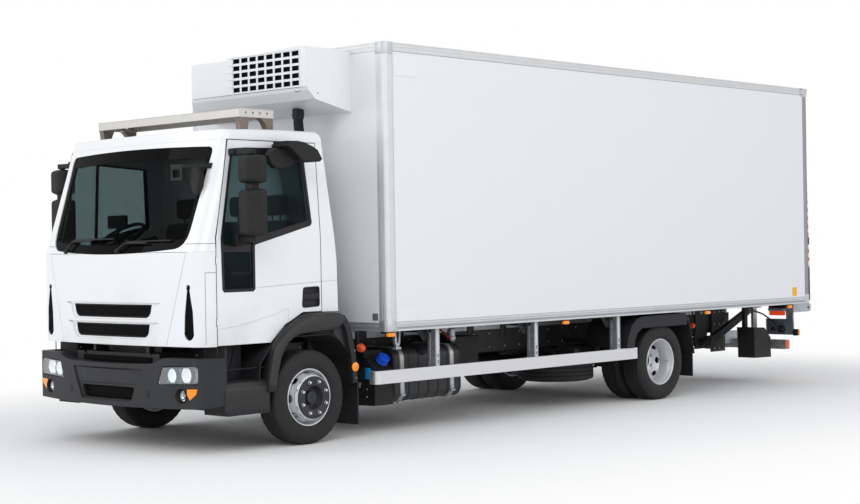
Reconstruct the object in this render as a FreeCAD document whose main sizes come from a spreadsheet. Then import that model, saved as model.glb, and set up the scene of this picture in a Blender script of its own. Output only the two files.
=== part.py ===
"""Refrigerated box truck with a cab that tilts, a cooling unit and a tail lift.

Millimetres, +Z up, the front faces -Y and the driver's left is +X.  Sub-parts are drawn with
the front axle's station at Y = 0 and then moved by their Placement, so that the origin lies on
the ground under the middle of the truck.
"""
import FreeCAD
import Part

import math
import os

from FreeCAD import Rotation, Vector

doc = FreeCAD.newDocument("RefrigeratedTruck")
dims = doc.addObject("Spreadsheet::Sheet", "Dims")

# alias, value in millimetres (degrees where named so), what it sets
DIMENSIONS = (
    ("front_axle_y", -3230, "station of the front axle in the part's frame"),
    ("wheelbase", 4760, "front axle to rear axle"),
    ("hub_height", 385, "wheel centres above the ground"),
    ("tyre_radius", 385, "loaded radius of every tyre"),
    ("tyre_half", 122, "half of a tyre's width at its widest"),
    ("bead_radius", 222, "inner radius of a tyre"),
    ("rim_radius", 235, "outer radius of the rim flanges"),
    ("rim_half", 97, "half of a rim's width over its flanges"),
    ("front_wheel_x", 1030, "middle of a front tyre from the centre line"),
    ("rear_outer_x", 1127, "middle of an outer twin tyre"),
    ("rear_inner_x", 852, "middle of an inner twin tyre"),
    ("kingpin_x", 830, "kingpin from the centre line"),
    ("rail_in", 360, "inner edge of a frame rail"),
    ("rail_out", 430, "outer face of a frame rail"),
    ("rail_low", 560, "underside of the frame rails"),
    ("rail_top", 780, "top of the frame rails"),
    ("rail_front", -1060, "front end of the frame rails"),
    ("rail_rear", 7250, "rear end of the frame rails"),
    ("box_half", 1300, "half width of the insulated box"),
    ("box_front", 750, "front face of the box"),
    ("box_rear", 7490, "rear edge of the box walls"),
    ("portal_rear", 7570, "rear face of the portal frame"),
    ("box_low", 885, "underside of the box"),
    ("box_top", 3335, "top of the box"),
    ("floor_top", 1030, "loading floor"),
    ("wall", 60, "thickness of the insulated walls"),
    ("floor_half", 1239, "half width of the loading floor between the walls"),
    ("edge_rail", 76, "height of the aluminium edge rails"),
    ("cab_half", 1105, "half width of the cab below the windows"),
    ("cab_low", 845, "lower edge of the cab panels"),
    ("cab_waist", 1585, "height of the windscreen's lower edge"),
    ("cab_eaves", 2470, "top of the doors and lower edge of the roof"),
    ("cab_roof", 2580, "top of the roof"),
    ("cab_skin", 50, "thickness of the cab's panels and doors"),
    ("shut_gap", 6, "gap round a door"),
    ("bumper_low", 362, "lower edge of the bumper"),
    ("bumper_top", 702, "top of the bumper's middle"),
    ("bumper_corner", 758, "top of the bumper's ends"),
    ("lift_pivot_y", 6643, "tail lift arms' pivot behind the front axle"),
    ("lift_pivot_z", 465, "height of that pivot"),
    ("hinge_y", 7620, "platform hinge behind the front axle"),
    ("hinge_z", 850, "height of the platform hinge"),
    ("platform_half", 1235, "half width of the platform"),
    ("platform_top", 2320, "top edge of the folded platform"),
)

for row, (alias, number, note) in enumerate(DIMENSIONS, start=1):
    dims.set(f"A{row}", note)
    dims.set(f"B{row}", str(number))
    dims.setAlias(f"B{row}", alias)
doc.recompute()
ALIASES = {alias for alias, _, _ in DIMENSIONS}
D = {alias: float(dims.get(alias)) for alias in ALIASES}

SUB_PARTS = []


def bound(text):
    """Turn a formula in the sheet's words, such as "rail_top + 8", into an expression."""
    words = str(text).replace("(", " ( ").replace(")", " ) ").replace("*", " * ").split()
    return " ".join(f"Dims.{word}" if word in ALIASES else word for word in words)


def name_part(obj, label, moved=False):
    """Register an object as the sub-part called label and move it to the part's frame.

    A mirror image of a sub-part that has been moved already stays where it is."""
    obj.Label = label
    if not moved:
        own = [formula for path, formula in obj.ExpressionEngine if path.endswith("Base.y")]
        station = own[0] if own else f"{obj.Placement.Base.y}"
        obj.setExpression("Placement.Base.y", f"{station} + {bound('front_axle_y')}")
    SUB_PARTS.append(obj)
    return obj


def block(x, y, z):
    """Box between pairs of formulas for its faces across, along and up."""
    obj = doc.addObject("Part::Box", "Block")
    for size, axis, (low, high) in zip(("Length", "Width", "Height"), "xyz", (x, y, z)):
        obj.setExpression(size, bound(f"( {high} ) - ( {low} )"))
        obj.setExpression(f"Placement.Base.{axis}", bound(low))
    return obj


TURN = {"X": Rotation(Vector(0, 1, 0), 90), "Y": Rotation(Vector(1, 0, 0), -90), "Z": Rotation()}


def rod(axis, radius, length, at):
    """Cylinder along an axis, starting at a point given by three formulas."""
    obj = doc.addObject("Part::Cylinder", "Rod")
    obj.Placement = FreeCAD.Placement(Vector(), TURN[axis])
    obj.setExpression("Radius", bound(radius))
    obj.setExpression("Height", bound(length))
    for letter, formula in zip("xyz", at):
        obj.setExpression(f"Placement.Base.{letter}", bound(formula))
    return obj


def fuse(*shapes):
    """Union of two or more objects."""
    obj = doc.addObject("Part::MultiFuse", "Fuse")
    obj.Shapes = list(shapes)
    return obj


def cut(base, *tools):
    obj = doc.addObject("Part::Cut", "Cut")
    obj.Base = base
    obj.Tool = fuse(*tools) if len(tools) > 1 else tools[0]
    return obj


def common(first, second):
    obj = doc.addObject("Part::Common", "Common")
    obj.Base = first
    obj.Tool = second
    return obj


def mirrored(source):
    """The same piece on the other side of the centre line."""
    obj = doc.addObject("Part::Mirroring", "Mirrored")
    obj.Source = source
    obj.Normal = Vector(1, 0, 0)
    return obj


def pair(source):
    """A left piece with its mirror image, as two solids of one sub-part."""
    return fuse(source, mirrored(source))


def outline_edges(points, flat_to_space):
    """Closed outline: each row is (a, b) for a corner, or (a, b, "arc") for a point that an arc
    passes on its way from the row before to the row after."""
    edges = []
    ring = list(points) + [points[0]]
    start = ring[0]
    index = 1
    while index < len(ring):
        row = ring[index]
        if len(row) == 3:
            end = ring[index + 1]
            edges.append(Part.Arc(flat_to_space(*start[:2]), flat_to_space(*row[:2]),
                                  flat_to_space(*end[:2])))
            index += 1
        else:
            end = row
            edges.append(Part.LineSegment(flat_to_space(*start[:2]), flat_to_space(*end[:2])))
        start = end
        index += 1
    return edges


def plane_of(body, role):
    return next(o for o in body.Origin.OriginFeatures if o.Role == role)


def sketch_on(body, role, points, offset=0.0):
    """Sketch of one closed outline on a plane of the body's origin."""
    sketch = body.newObject("Sketcher::SketchObject", "Outline")
    sketch.AttachmentSupport = [(plane_of(body, role), "")]
    sketch.MapMode = "FlatFace"
    sketch.AttachmentOffset = FreeCAD.Placement(Vector(0, 0, offset), Rotation())
    for edge in outline_edges(points, lambda a, b: Vector(a, b, 0)):
        sketch.addGeometry(edge, False)
    return sketch


def padded(role, points, low, high):
    """Body whose outline, drawn on an origin plane, is padded from one formula to another.

    Outlines are (x, y) on XY_Plane, (x, z) on XZ_Plane and (y, z) on YZ_Plane."""
    body = doc.addObject("PartDesign::Body", "Padded")
    sketch = sketch_on(body, role, points)
    toward_minus = role == "XZ_Plane"
    start = f"0 - ( {high} )" if toward_minus else low
    sketch.setExpression("AttachmentOffset.Base.z", bound(start))
    pad = body.newObject("PartDesign::Pad", "Pad")
    pad.Profile = sketch
    pad.setExpression("Length", bound(f"( {high} ) - ( {low} )"))
    return body


def revolved(points, at, turned=False):
    """Body turned about an axle: outline rows are (distance outboard, radius)."""
    body = doc.addObject("PartDesign::Body", "Revolved")
    sketch = sketch_on(body, "XZ_Plane", points)
    turn = body.newObject("PartDesign::Revolution", "Revolution")
    turn.Profile = sketch
    turn.ReferenceAxis = (sketch, ["H_Axis"])
    turn.Angle = 360
    if turned:
        body.Placement = FreeCAD.Placement(Vector(), Rotation(Vector(0, 0, 1), 180))
    for letter, formula in zip("xyz", at):
        body.setExpression(f"Placement.Base.{letter}", bound(formula))
    return body


def band(points, thickness):
    """Outline of a bent sheet: the rows (a, b) are its outer side, the inner one is offset."""
    inner = []
    for index, (a, b) in enumerate(points):
        before = points[max(index - 1, 0)]
        after = points[min(index + 1, len(points) - 1)]
        run = math.hypot(after[0] - before[0], after[1] - before[1])
        inner.append((a + thickness * (after[1] - before[1]) / run,
                      b - thickness * (after[0] - before[0]) / run))
    return list(points) + inner[::-1]


# ---------------------------------------------------------------- wheels

# Rows are (distance outboard of the wheel's middle, radius).
TYRE_SECTION = (
    (-87, D["bead_radius"]), (-87, 236), (-100, 240), (-D["tyre_half"], 300), (-112, 362),
    (-94, D["tyre_radius"]), (94, D["tyre_radius"]), (112, 362), (D["tyre_half"], 300),
    (100, 240), (87, 236), (87, D["bead_radius"]),
)
SEAT_RADIUS = D["bead_radius"] - 0.4
RIM_SECTION = (
    (-D["rim_half"], D["rim_radius"]), (-88, D["rim_radius"]), (-88, SEAT_RADIUS),
    (88, SEAT_RADIUS), (88, D["rim_radius"]), (D["rim_half"], D["rim_radius"]),
    (D["rim_half"], 226), (92, 212), (-92, 212), (-D["rim_half"], 226),
)
# The disc stands outboard, its flat face just beyond the rim's edge.
DISC_SECTION = (
    (10, 214), (10, 202), (58, 188), (97, 168), (97, 60), (111, 60), (111, 178), (72, 203),
    (44, 214),
)
# The hub is a cup: its floor lies behind the disc's face.
HUB_SECTION = (
    (-62, 0), (-62, 78), (-20, 104), (112, 104), (112, 94), (74, 88), (74, 0),
)
PLATE_FACE = 137
TWIN_SECTION = (
    (-20, 214), (-20, 202), (-92, 180), (-123, 160), (-123, 60), (-PLATE_FACE, 60),
    (-PLATE_FACE, 168), (-96, 196), (-54, 214),
)
HAND_HOLES = 8


def hand_holes(x_low, length, at_y, ring, radius):
    """Ring of holes through a wheel's disc, halfway between the wheel nuts."""
    holes = []
    for step in range(HAND_HOLES):
        turn = math.radians(360 / HAND_HOLES * (step + 0.5))
        holes.append(rod("X", f"{radius}", length, (
            x_low, f"{at_y} + {ring * math.cos(turn):.3f}",
            f"hub_height + {ring * math.sin(turn):.3f}")))
    return holes


def tyre(middle, at_y):
    return revolved(TYRE_SECTION, (middle, at_y, "hub_height"))


def rim(middle, at_y, disc):
    return fuse(revolved(RIM_SECTION, (middle, at_y, "hub_height")),
                revolved(disc, (middle, at_y, "hub_height")))


def front_wheel():
    """Front tyre, and rim with its proud disc and hub, bored for the stub axle."""
    hub = revolved(HUB_SECTION, ("front_wheel_x", "0", "hub_height"))
    bore = rod("X", "40.5", "120", ("front_wheel_x - 63", "0", "hub_height"))
    body = cut(fuse(rim("front_wheel_x", "0", DISC_SECTION), hub), bore,
               *hand_holes("front_wheel_x + 35", "90", "0", 194, 13))
    return tyre("front_wheel_x", "0"), body


def rear_wheels():
    """Twin tyres, and twin rims whose discs meet face to face on one hub."""
    outer = rim("rear_outer_x", "wheelbase", TWIN_SECTION)
    inner = mirrored(rim(f"0 - rear_inner_x", "wheelbase", TWIN_SECTION))
    hub = rod("X", "100", "217", ("790", "wheelbase", "hub_height"))
    bore = rod("X", "60.5", "202", ("789", "wheelbase", "hub_height"))
    body = cut(fuse(outer, inner, hub), bore,
               *hand_holes("860", "260", "wheelbase", 182, 21))
    return fuse(tyre("rear_outer_x", "wheelbase"), tyre("rear_inner_x", "wheelbase")), body


for make, place in ((front_wheel, "front"), (rear_wheels, "rear")):
    for label, obj in zip(("tyre", "rim"), make()):
        name_part(obj, f"{label}_{place}_left")
        name_part(mirrored(obj), f"{label}_{place}_right", moved=True)

# ---------------------------------------------------------------- chassis

RAIL_SHEET = 8
RAIL_SECTION = (
    (D["rail_out"], D["rail_low"]), (D["rail_out"], D["rail_top"]),
    (D["rail_in"], D["rail_top"]), (D["rail_in"], D["rail_top"] - RAIL_SHEET),
    (D["rail_out"] - RAIL_SHEET, D["rail_top"] - RAIL_SHEET),
    (D["rail_out"] - RAIL_SHEET, D["rail_low"] + RAIL_SHEET),
    (D["rail_in"], D["rail_low"] + RAIL_SHEET), (D["rail_in"], D["rail_low"]),
)
name_part(pair(padded("XZ_Plane", RAIL_SECTION, "rail_front", "rail_rear")), "frame_rails")
name_part(pair(block(("rail_in", "rail_out"), ("1000", "rail_rear - 40"),
                     ("rail_top + 0.5", "box_low - 0.5"))), "subframe_rails")

# Stations of the cross members behind the front axle, and their height above the rail's foot.
CROSS_MEMBERS = ((-1040, 60), (1220, 110), (2200, 110), (3200, 110), (4250, 110), (5400, 110),
                 (6350, 110), (7170, 60))
members = []
for station, rise in CROSS_MEMBERS:
    members.append(block(("0 - rail_out + 8", "rail_out - 8"), (f"{station}", f"{station} + 60"),
                         (f"rail_low + {rise}", "rail_top - 12")))
# Four bolt holes behind the last cross member take a drawbar coupling.
COUPLING_X, COUPLING_Z, COUPLING_HOLE = 80, 50, 10.5
coupling_holes = [rod("Y", f"{COUPLING_HOLE}", "100", (f"{side * COUPLING_X}", "7150",
                                                       f"690 + {rise * COUPLING_Z}"))
                  for side in (-1, 1) for rise in (-1, 1)]
members[-1] = cut(members[-1], *coupling_holes)
TILT = {"y": -1020, "z": 860, "pin": 15, "eye": 30}
tilt_brackets = pair(fuse(
    block(("346", "379"), ("-1042", "-985"), ("rail_top", f"{TILT['z']} + 30")),
    rod("X", f"{TILT['pin']}", "80", ("350", f"{TILT['y']}", f"{TILT['z']}"))))
name_part(fuse(*members, tilt_brackets), "cross_members")

engine = fuse(block(("-330", "330"), ("-600", "330"), ("430", "1030")),
              block(("-421", "421"), ("-380", "-280"), ("640", "700")),
              block(("-421", "421"), ("120", "220"), ("640", "700")))
gearbox = doc.addObject("Part::Cone", "GearboxCase")
gearbox.Radius1 = 225
gearbox.Radius2 = 120
gearbox.Height = 690
gearbox.Placement = FreeCAD.Placement(Vector(0, 330, 600), TURN["Y"])
radiator = fuse(block(("0 - rail_in + 1", "rail_in - 1"), ("-900", "-820"), ("450", "1040")),
                block(("-270", "270"), ("-820", "-610"), ("500", "1000")))
name_part(fuse(engine, radiator, gearbox, rod("Y", "70", "59", ("0", "1020", "600"))),
          "powertrain")

BEAM_FRONT = ((-795, 350), (-795, 420), (-700, 420), (-560, 330), (560, 330), (700, 420),
              (795, 420), (795, 350), (720, 350), (580, 250), (-580, 250), (-720, 350))
bosses = [rod("Z", "45", "90", (f"{side} * kingpin_x", "0", "hub_height - 45"))
          for side in (-1, 1)]
name_part(fuse(padded("XZ_Plane", BEAM_FRONT, "-45", "45"), *bosses), "front_axle")

knuckle = fuse(
    block(("kingpin_x - 40", "kingpin_x + 75"), ("-45", "45"), ("430.5", "475")),
    block(("kingpin_x - 40", "kingpin_x + 75"), ("-45", "45"), ("295", "339.5")),
    block(("kingpin_x + 51", "kingpin_x + 75"), ("-60", "60"), ("295", "475")),
    rod("X", "150", "18", ("kingpin_x + 75", "0", "hub_height")),
    rod("X", "40", "180", ("kingpin_x + 75", "0", "hub_height")),
    block(("kingpin_x + 20", "kingpin_x + 60"), ("60", "220"), ("300", "335")),
    block(("kingpin_x + 20", "kingpin_x + 75"), ("40", "80"), ("300", "335")))
name_part(knuckle, "knuckle_left")
name_part(mirrored(knuckle), "knuckle_right", moved=True)

name_part(fuse(
    rod("X", "60", "1970", ("-985", "wheelbase", "hub_height")),
    rod("X", "170", "220", ("-110", "wheelbase", "hub_height")),
    rod("Y", "95", "280", ("0", "wheelbase - 280", "hub_height")),
    block(("-440", "-350"), ("wheelbase - 60", "wheelbase + 60"), ("hub_height", "452")),
    block(("350", "440"), ("wheelbase - 60", "wheelbase + 60"), ("hub_height", "452"))),
    "rear_axle")

# Leaf packs, rows (along, up) from the middle: they hang from the rails and sit on the axle.
SPRING = ((-660, 175), (-660, 120), (-320, 25), (-90, -55), (90, -55), (320, 25), (660, 120),
          (660, 175), (610, 175), (320, 80), (90, 0), (-90, 0), (-320, 80), (-610, 175))
front_springs = pair(padded("YZ_Plane", [(y, z + 385) for y, z in SPRING],
                            "rail_in", "rail_out"))
REAR_SPRING = ((-680, 560), (-680, 500), (-300, 470), (-90, 452), (90, 452), (300, 470),
               (680, 500), (680, 560), (620, 560), (300, 535), (90, 520), (-90, 520),
               (-300, 535), (-620, 560))
name_part(fuse(front_springs, pair(padded(
    "YZ_Plane", [(y + D["wheelbase"], z) for y, z in REAR_SPRING], "rail_in", "rail_out"))),
    "leaf_springs")

# The shaft falls from the gearbox flange to the axle's pinion.
SHAFT_FRONT = Vector(0, 1083, 600)
SHAFT_REAR = Vector(0, D["wheelbase"] - 283, D["hub_height"])
run = SHAFT_REAR - SHAFT_FRONT
shaft = doc.addObject("Part::Cylinder", "ShaftTube")
shaft.Radius = 45
shaft.Height = run.Length
shaft.Placement = FreeCAD.Placement(SHAFT_FRONT, Rotation(Vector(0, 0, 1), run))
name_part(shaft, "drive_shaft")

# ---------------------------------------------------------------- chassis equipment

TANK = {"in": 470, "out": 1010, "low": 245, "top": 715, "edge": 95}


def rounded(x_low, x_high, z_low, z_high, edge):
    """Rectangle (x, z) with round corners of one radius."""
    turn = edge * (1 - math.sqrt(0.5))
    return ((x_low, z_low + edge), (x_low + turn, z_low + turn, "arc"), (x_low + edge, z_low),
            (x_high - edge, z_low), (x_high - turn, z_low + turn, "arc"), (x_high, z_low + edge),
            (x_high, z_high - edge), (x_high - turn, z_high - turn, "arc"),
            (x_high - edge, z_high), (x_low + edge, z_high),
            (x_low + turn, z_high - turn, "arc"), (x_low, z_high - edge))


tank_outline = rounded(TANK["in"], TANK["out"], TANK["low"], TANK["top"], TANK["edge"])
tank = padded("XZ_Plane", tank_outline, "1100", "1965")
STRAP = 8
straps = []
for station in (1180, 1820):
    ring = cut(padded("XZ_Plane", rounded(TANK["in"] - STRAP, TANK["out"] + STRAP,
                                          TANK["low"] - STRAP, TANK["top"] + STRAP,
                                          TANK["edge"] + STRAP),
                      f"{station}", f"{station} + 45"),
               padded("XZ_Plane", rounded(TANK["in"] - 0.3, TANK["out"] + 0.3,
                                          TANK["low"] - 0.3, TANK["top"] + 0.3,
                                          TANK["edge"]),
                      f"{station} - 5", f"{station} + 50"))
    straps.append(fuse(ring, block(("rail_out", "465"), (f"{station}", f"{station} + 45"),
                                   ("330", "700"))))
name_part(fuse(tank, *straps), "fuel_tank")
# The additive tank's outer top edge slopes, and its filler cap stands on the slope.
ADDITIVE = ((640, 225), (1015, 235), (1015, 540), (890, 650), (890, 706), (640, 706))
FILLER = {"x": 945, "y": 1003, "z": 592, "radius": 50, "length": 78}
additive = padded("XZ_Plane", ADDITIVE, "866", "1083")
filler = rod("X", f"{FILLER['radius']}", f"{FILLER['length']}",
             (f"{FILLER['x']}", f"{FILLER['y']}", f"{FILLER['z']}"))
filler.Placement = FreeCAD.Placement(filler.Placement.Base, Rotation(Vector(0, 0, 1),
                                                                     Vector(0.66, 0, 0.75)))
name_part(fuse(additive, block(("rail_out", "645"), ("940", "1000"), ("580", "640")), filler),
          "additive_tank")
boxes = [block(("rail_out", "820"), ("2080", "2420"), ("470", "760")),
         block(("-1010", "0 - rail_out"), ("1020", "1640"), ("330", "720"))]
for station in (1740, 2560):
    boxes.append(fuse(rod("Y", "125", "700", ("-600", f"{station}", "600")),
                      block(("-500", "0 - rail_out"), (f"{station} + 300", f"{station} + 380"),
                            ("600", "700"))))
boxes.append(fuse(block(("-1010", "-480"), ("3420", "4120"), ("330", "720")),
                  block(("-485", "0 - rail_out"), ("3700", "3780"), ("580", "700"))))
POWER_BOX = ((6895, 287), (6885, 625), (7100, 615), (7228, 490), (7236, 280))
boxes.append(fuse(padded("YZ_Plane", POWER_BOX, "780", "1000"),
                  block(("800", "840"), ("6950", "7010"), ("600", "box_low"))))
name_part(fuse(*boxes), "chassis_boxes")

SPARE = {"x": 620, "y": 3800, "low": 240}
ring = Part.makePolygon([Vector(r, 0, a) for a, r in TYRE_SECTION + TYRE_SECTION[:1]])
spare = doc.addObject("Part::Feature", "SpareTyre")
spare.Shape = Part.Face(ring).revolve(Vector(0, 0, 0), Vector(0, 0, 1), 360)
spare.Placement = FreeCAD.Placement(
    Vector(SPARE["x"], SPARE["y"], SPARE["low"] + D["tyre_half"]), Rotation())
name_part(spare, "spare_tyre")
name_part(fuse(rod("Z", "221", "90", (f"{SPARE['x']}", f"{SPARE['y']}", "300")),
               rod("Z", "60", "130", (f"{SPARE['x']}", f"{SPARE['y']}", "390")),
               block(("rail_in", "900"), (f"{SPARE['y']} - 40", f"{SPARE['y']} + 40"),
                     ("500", "rail_low")),
               ), "spare_carrier")

GUARD = {"x": 1250, "front": 660, "rear": 4335, "low": 444, "top": 554}
GUARD_SHEET = 26
guard_plan = ((GUARD["x"] - 120, GUARD["front"] + 60), (GUARD["x"] - 110, GUARD["front"] + 22, "arc"),
              (GUARD["x"] - 70, GUARD["front"] + 2), (GUARD["x"] - 60, GUARD["front"]),
              (GUARD["x"] - 14, GUARD["front"] + 16, "arc"), (GUARD["x"], GUARD["front"] + 60),
              (GUARD["x"], GUARD["rear"]), (GUARD["x"] - GUARD_SHEET, GUARD["rear"]),
              (GUARD["x"] - GUARD_SHEET, GUARD["front"] + 64),
              (GUARD["x"] - 60, GUARD["front"] + 26), (GUARD["x"] - 94, GUARD["front"] + 64))
guard_posts = [block((f"{GUARD['x']} - 76", f"{GUARD['x']} - {GUARD_SHEET}"),
                     (f"{station}", f"{station} + 50"), (f"{GUARD['low']} + 20", "box_low"))
               for station in (1410, 2760, 4035)]
name_part(pair(fuse(padded("XY_Plane", guard_plan, f"{GUARD['low']}", f"{GUARD['top']}"),
                    *guard_posts)), "side_guards")

# Rear mudguards, rows (along, up) from the rear axle: a sheet over the twin wheels, with a
# side wall along its outer edge and a flap that hangs from its end.
REAR_ARCH = ((-614, 562), (-574, 690), (-526, 784), (-440, 840), (-356, 862), (400, 870),
             (450, 820), (512, 640), (566, 440))
REAR_SIDE = ((-614, 562), (-574, 690), (-526, 784), (-440, 840), (-356, 862), (400, 870),
             (450, 820), (422, 745), (-356, 745), (-430, 700), (-474, 640), (-490, 562))
arch = padded("YZ_Plane", band([(y + D["wheelbase"], z) for y, z in REAR_ARCH], 7),
              "720", "1262")
side_wall = padded("YZ_Plane", [(y + D["wheelbase"], z) for y, z in REAR_SIDE], "1254", "1264")
flap = block(("730", "1235"), ("wheelbase + 558", "wheelbase + 568"), ("200", "480"))
rear_stay = block(("rail_out", "900"), ("wheelbase + 440", "wheelbase + 480"), ("700", "740"))
front_stay = block(("rail_out", "900"), ("wheelbase - 590", "wheelbase - 550"), ("600", "640"))
name_part(pair(fuse(arch, side_wall, flap, rear_stay, front_stay)), "rear_mudguards")

# ---------------------------------------------------------------- front wings, bumper and lamps

WING_SKIN = 1165
# The black lip over the front wheel, rows (along, up); steering needs the space inside it.
LIP = ((-470, 470), (-402, 797), (-277, 938), (-52, 1040), (378, 1040), (440, 960), (500, 700),
       (520, 470), (468, 470), (450, 690), (392, 930), (350, 985), (-30, 985), (-240, 885),
       (-352, 765), (-410, 470))
lip = padded("YZ_Plane", LIP, "1120", f"{WING_SKIN}")
LINER = ((-535, 470), (-515, 690), (-400, 820), (-255, 890), (255, 890), (400, 820),
         (515, 690), (535, 470))
liner = padded("YZ_Plane", band(LINER, 8), "690", "1125")
step_skin = block(("1070", "1150"), ("-872", "-440"), ("300", "500"))
tread = block(("860", "1150"), ("-872", "-520"), ("470", "500"))
low_tread = block(("900", "1150"), ("-872", "-540"), ("300", "325"))
step_back = block(("860", "900"), ("-872", "-525"), ("300", "835"))
step_front = block(("860", "1120"), ("-872", "-850"), ("300", "835"))
front_flap = block(("760", "1150"), ("526", "538"), ("115", "480"))
wing_stay = block(("rail_out", "870"), ("-620", "-570"), ("600", "650"))
rear_wing_stay = block(("rail_out", "760"), ("538", "570"), ("600", "650"))
flap_back = block(("690", "1125"), ("527", "538"), ("470", "650"))
name_part(pair(fuse(lip, liner, step_skin, tread, low_tread, step_back, step_front, front_flap,
                    wing_stay, rear_wing_stay, flap_back)), "front_wings")


def front_band(outset, low, high):
    """Curved bar across the front of the truck, outset from the bumper's face."""
    side = 1150 + outset
    plan = ((-side, -885), (-side, -985), (-side + 42, -1065, "arc"), (-1010, -1105 - outset),
            (0, -1205 - outset, "arc"), (1010, -1105 - outset),
            (side - 42, -1065, "arc"), (side, -985), (side, -885), (1080, -885), (1080, -960),
            (980, -1020), (0, -1105, "arc"), (-980, -1020), (-1080, -960), (-1080, -885))
    return padded("XY_Plane", plan, low, high)


# The bumper's front view: its top edge steps up to the ends, its foot rises at the corners.
low, top, corner = D["bumper_low"], D["bumper_top"], D["bumper_corner"]
BUMPER_FRONT = (
    (-1200, low + 40), (-1080, low + 6), (0, low - 6, "arc"), (1080, low + 6), (1200, low + 40),
    (1200, corner - 4), (1120, corner), (740, corner), (690, corner - 6, "arc"),
    (655, corner - 26), (560, top + 6), (0, top - 4, "arc"), (-560, top + 6),
    (-655, corner - 26), (-690, corner - 6, "arc"), (-740, corner), (-1120, corner),
    (-1200, corner - 4))
LAMP_FRONT = ((652, 548), (1046, 556), (1062, 574, "arc"), (1066, 600), (1066, 676),
              (1056, 696, "arc"), (1036, 702), (720, 694), (700, 688, "arc"), (688, 670),
              (646, 560))
LAMP_FILL = ((657, 552), (1044, 560), (1058, 576, "arc"), (1062, 600), (1062, 676),
             (1053, 692, "arc"), (1036, 698), (722, 690), (704, 685, "arc"), (692, 668),
             (652, 563))
RECESS_FRONT = ((-452, 664), (452, 664), (462, 650, "arc"), (458, 636), (402, 516),
                (352, 422), (338, 404, "arc"), (314, 398), (-314, 398), (-338, 404, "arc"),
                (-352, 422), (-402, 516), (-458, 636), (-462, 650, "arc"))
MESH_FRONT = ((-330, 512), (330, 512), (352, 500, "arc"), (350, 484), (322, 426),
              (312, 414, "arc"), (296, 410), (-296, 410), (-312, 414, "arc"), (-322, 426),
              (-350, 484), (-352, 500, "arc"))
PLATE_FRONT = ((-408, 540), (408, 540), (446, 652), (-446, 652))
INDICATOR_FRONT = ((950, 526), (1062, 530), (1048, 480), (978, 430), (946, 478))
FOG = {"x": 892, "z": 466, "radius": 58}


def left_and_right(outline, low, high):
    """A front view's outline padded along Y, on both sides of the centre line."""
    return pair(padded("XZ_Plane", outline, low, high))


fog_wells = [rod("Y", f"{FOG['radius']}", "250", (f"{side * FOG['x']}", "-1280", f"{FOG['z']}"))
             for side in (-1, 1)]
bumper_feet = [block((f"{foot}", f"{foot + 50}"), ("-1110", "rail_front"), ("600", "695"))
               for foot in (-420, 370)]
bumper_skin = common(front_band(0, "300", "800"), padded("XZ_Plane", BUMPER_FRONT, "-1300", "-800"))
plate_panel = common(front_band(-10, "500", "700"), padded("XZ_Plane", PLATE_FRONT, "-1300", "-1150"))
mesh_back = common(front_band(-60, "395", "520"), padded("XZ_Plane", RECESS_FRONT, "-1148", "-1110"))
name_part(fuse(cut(bumper_skin, left_and_right(LAMP_FRONT, "-1300", "-1000"),
                   padded("XZ_Plane", RECESS_FRONT, "-1300", "-1175"),
                   padded("XZ_Plane", MESH_FRONT, "-1300", "-1000"),
                   left_and_right(INDICATOR_FRONT, "-1300", "-1075"), *fog_wells),
               plate_panel, mesh_back, *bumper_feet), "bumper")
lamp_bodies = common(front_band(-8, "500", "750"), left_and_right(LAMP_FILL, "-1300", "-1000"))
name_part(lamp_bodies, "headlamps")
# Recessed black panel between the bumper and the cab, clear of the cab when it tilts.
BAND_FRONT = ((-560, 697), (560, 697), (560, 778), (470, 778), (440, 752), (-440, 752),
              (-470, 778), (-560, 778))
name_part(fuse(padded("XZ_Plane", BAND_FRONT, "-1076", "-1062"),
               block(("-440", "440"), ("-1070", "rail_front"), ("700", "778"))), "front_apron")

# ---------------------------------------------------------------- insulated box

name_part(block(("0 - floor_half", "floor_half"), ("box_front + 101", "box_rear"),
                ("box_low", "floor_top")), "box_floor")
name_part(fuse(pair(block(("box_half - wall", "box_half"), ("box_front + 100", "box_rear"),
                          ("box_low + edge_rail", "box_top - edge_rail"))),
               block(("0 - box_half + 100", "box_half - 100"), ("box_front", "box_front + 100"),
                     ("box_low + edge_rail", "box_top - edge_rail"))), "box_walls")
name_part(block(("0 - box_half + 100", "box_half - 100"), ("box_front + 100", "box_rear"),
                ("box_top - edge_rail", "box_top - 6")), "box_roof")
top_rails = pair(block(("box_half - 100", "box_half"), ("box_front + 100.5", "box_rear"),
                       ("box_top - edge_rail", "box_top")))
POST = ((1200, 750), (1262, 750), (1289, 761, "arc"), (1300, 788), (1300, 850), (1240, 850),
        (1200, 830))
posts = pair(padded("XY_Plane", POST, "box_low", "box_top"))
front_rail = block(("0 - box_half + 100.5", "box_half - 100.5"),
                   ("box_front", "box_front + 99.5"), ("box_top - edge_rail", "box_top"))
low_rails = pair(block(("box_half - wall", "box_half"), ("box_front + 100.5", "box_rear"),
                       ("box_low", "box_low + edge_rail")))
low_front_rail = block(("0 - box_half + 100.5", "box_half - 100.5"),
                       ("box_front", "box_front + 100"), ("box_low", "box_low + edge_rail"))
name_part(fuse(posts, top_rails, front_rail, low_rails, low_front_rail), "box_rails")
name_part(fuse(pair(block(("box_half - 100", "box_half"), ("box_rear", "portal_rear"),
                          ("box_low", "box_top"))),
               block(("0 - box_half + 100.5", "box_half - 100.5"), ("box_rear", "portal_rear"),
                     ("box_top - 85", "box_top")),
               block(("0 - box_half + 100.5", "box_half - 100.5"), ("box_rear", "portal_rear"),
                     ("box_low", "floor_top"))), "portal_frame")

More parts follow.
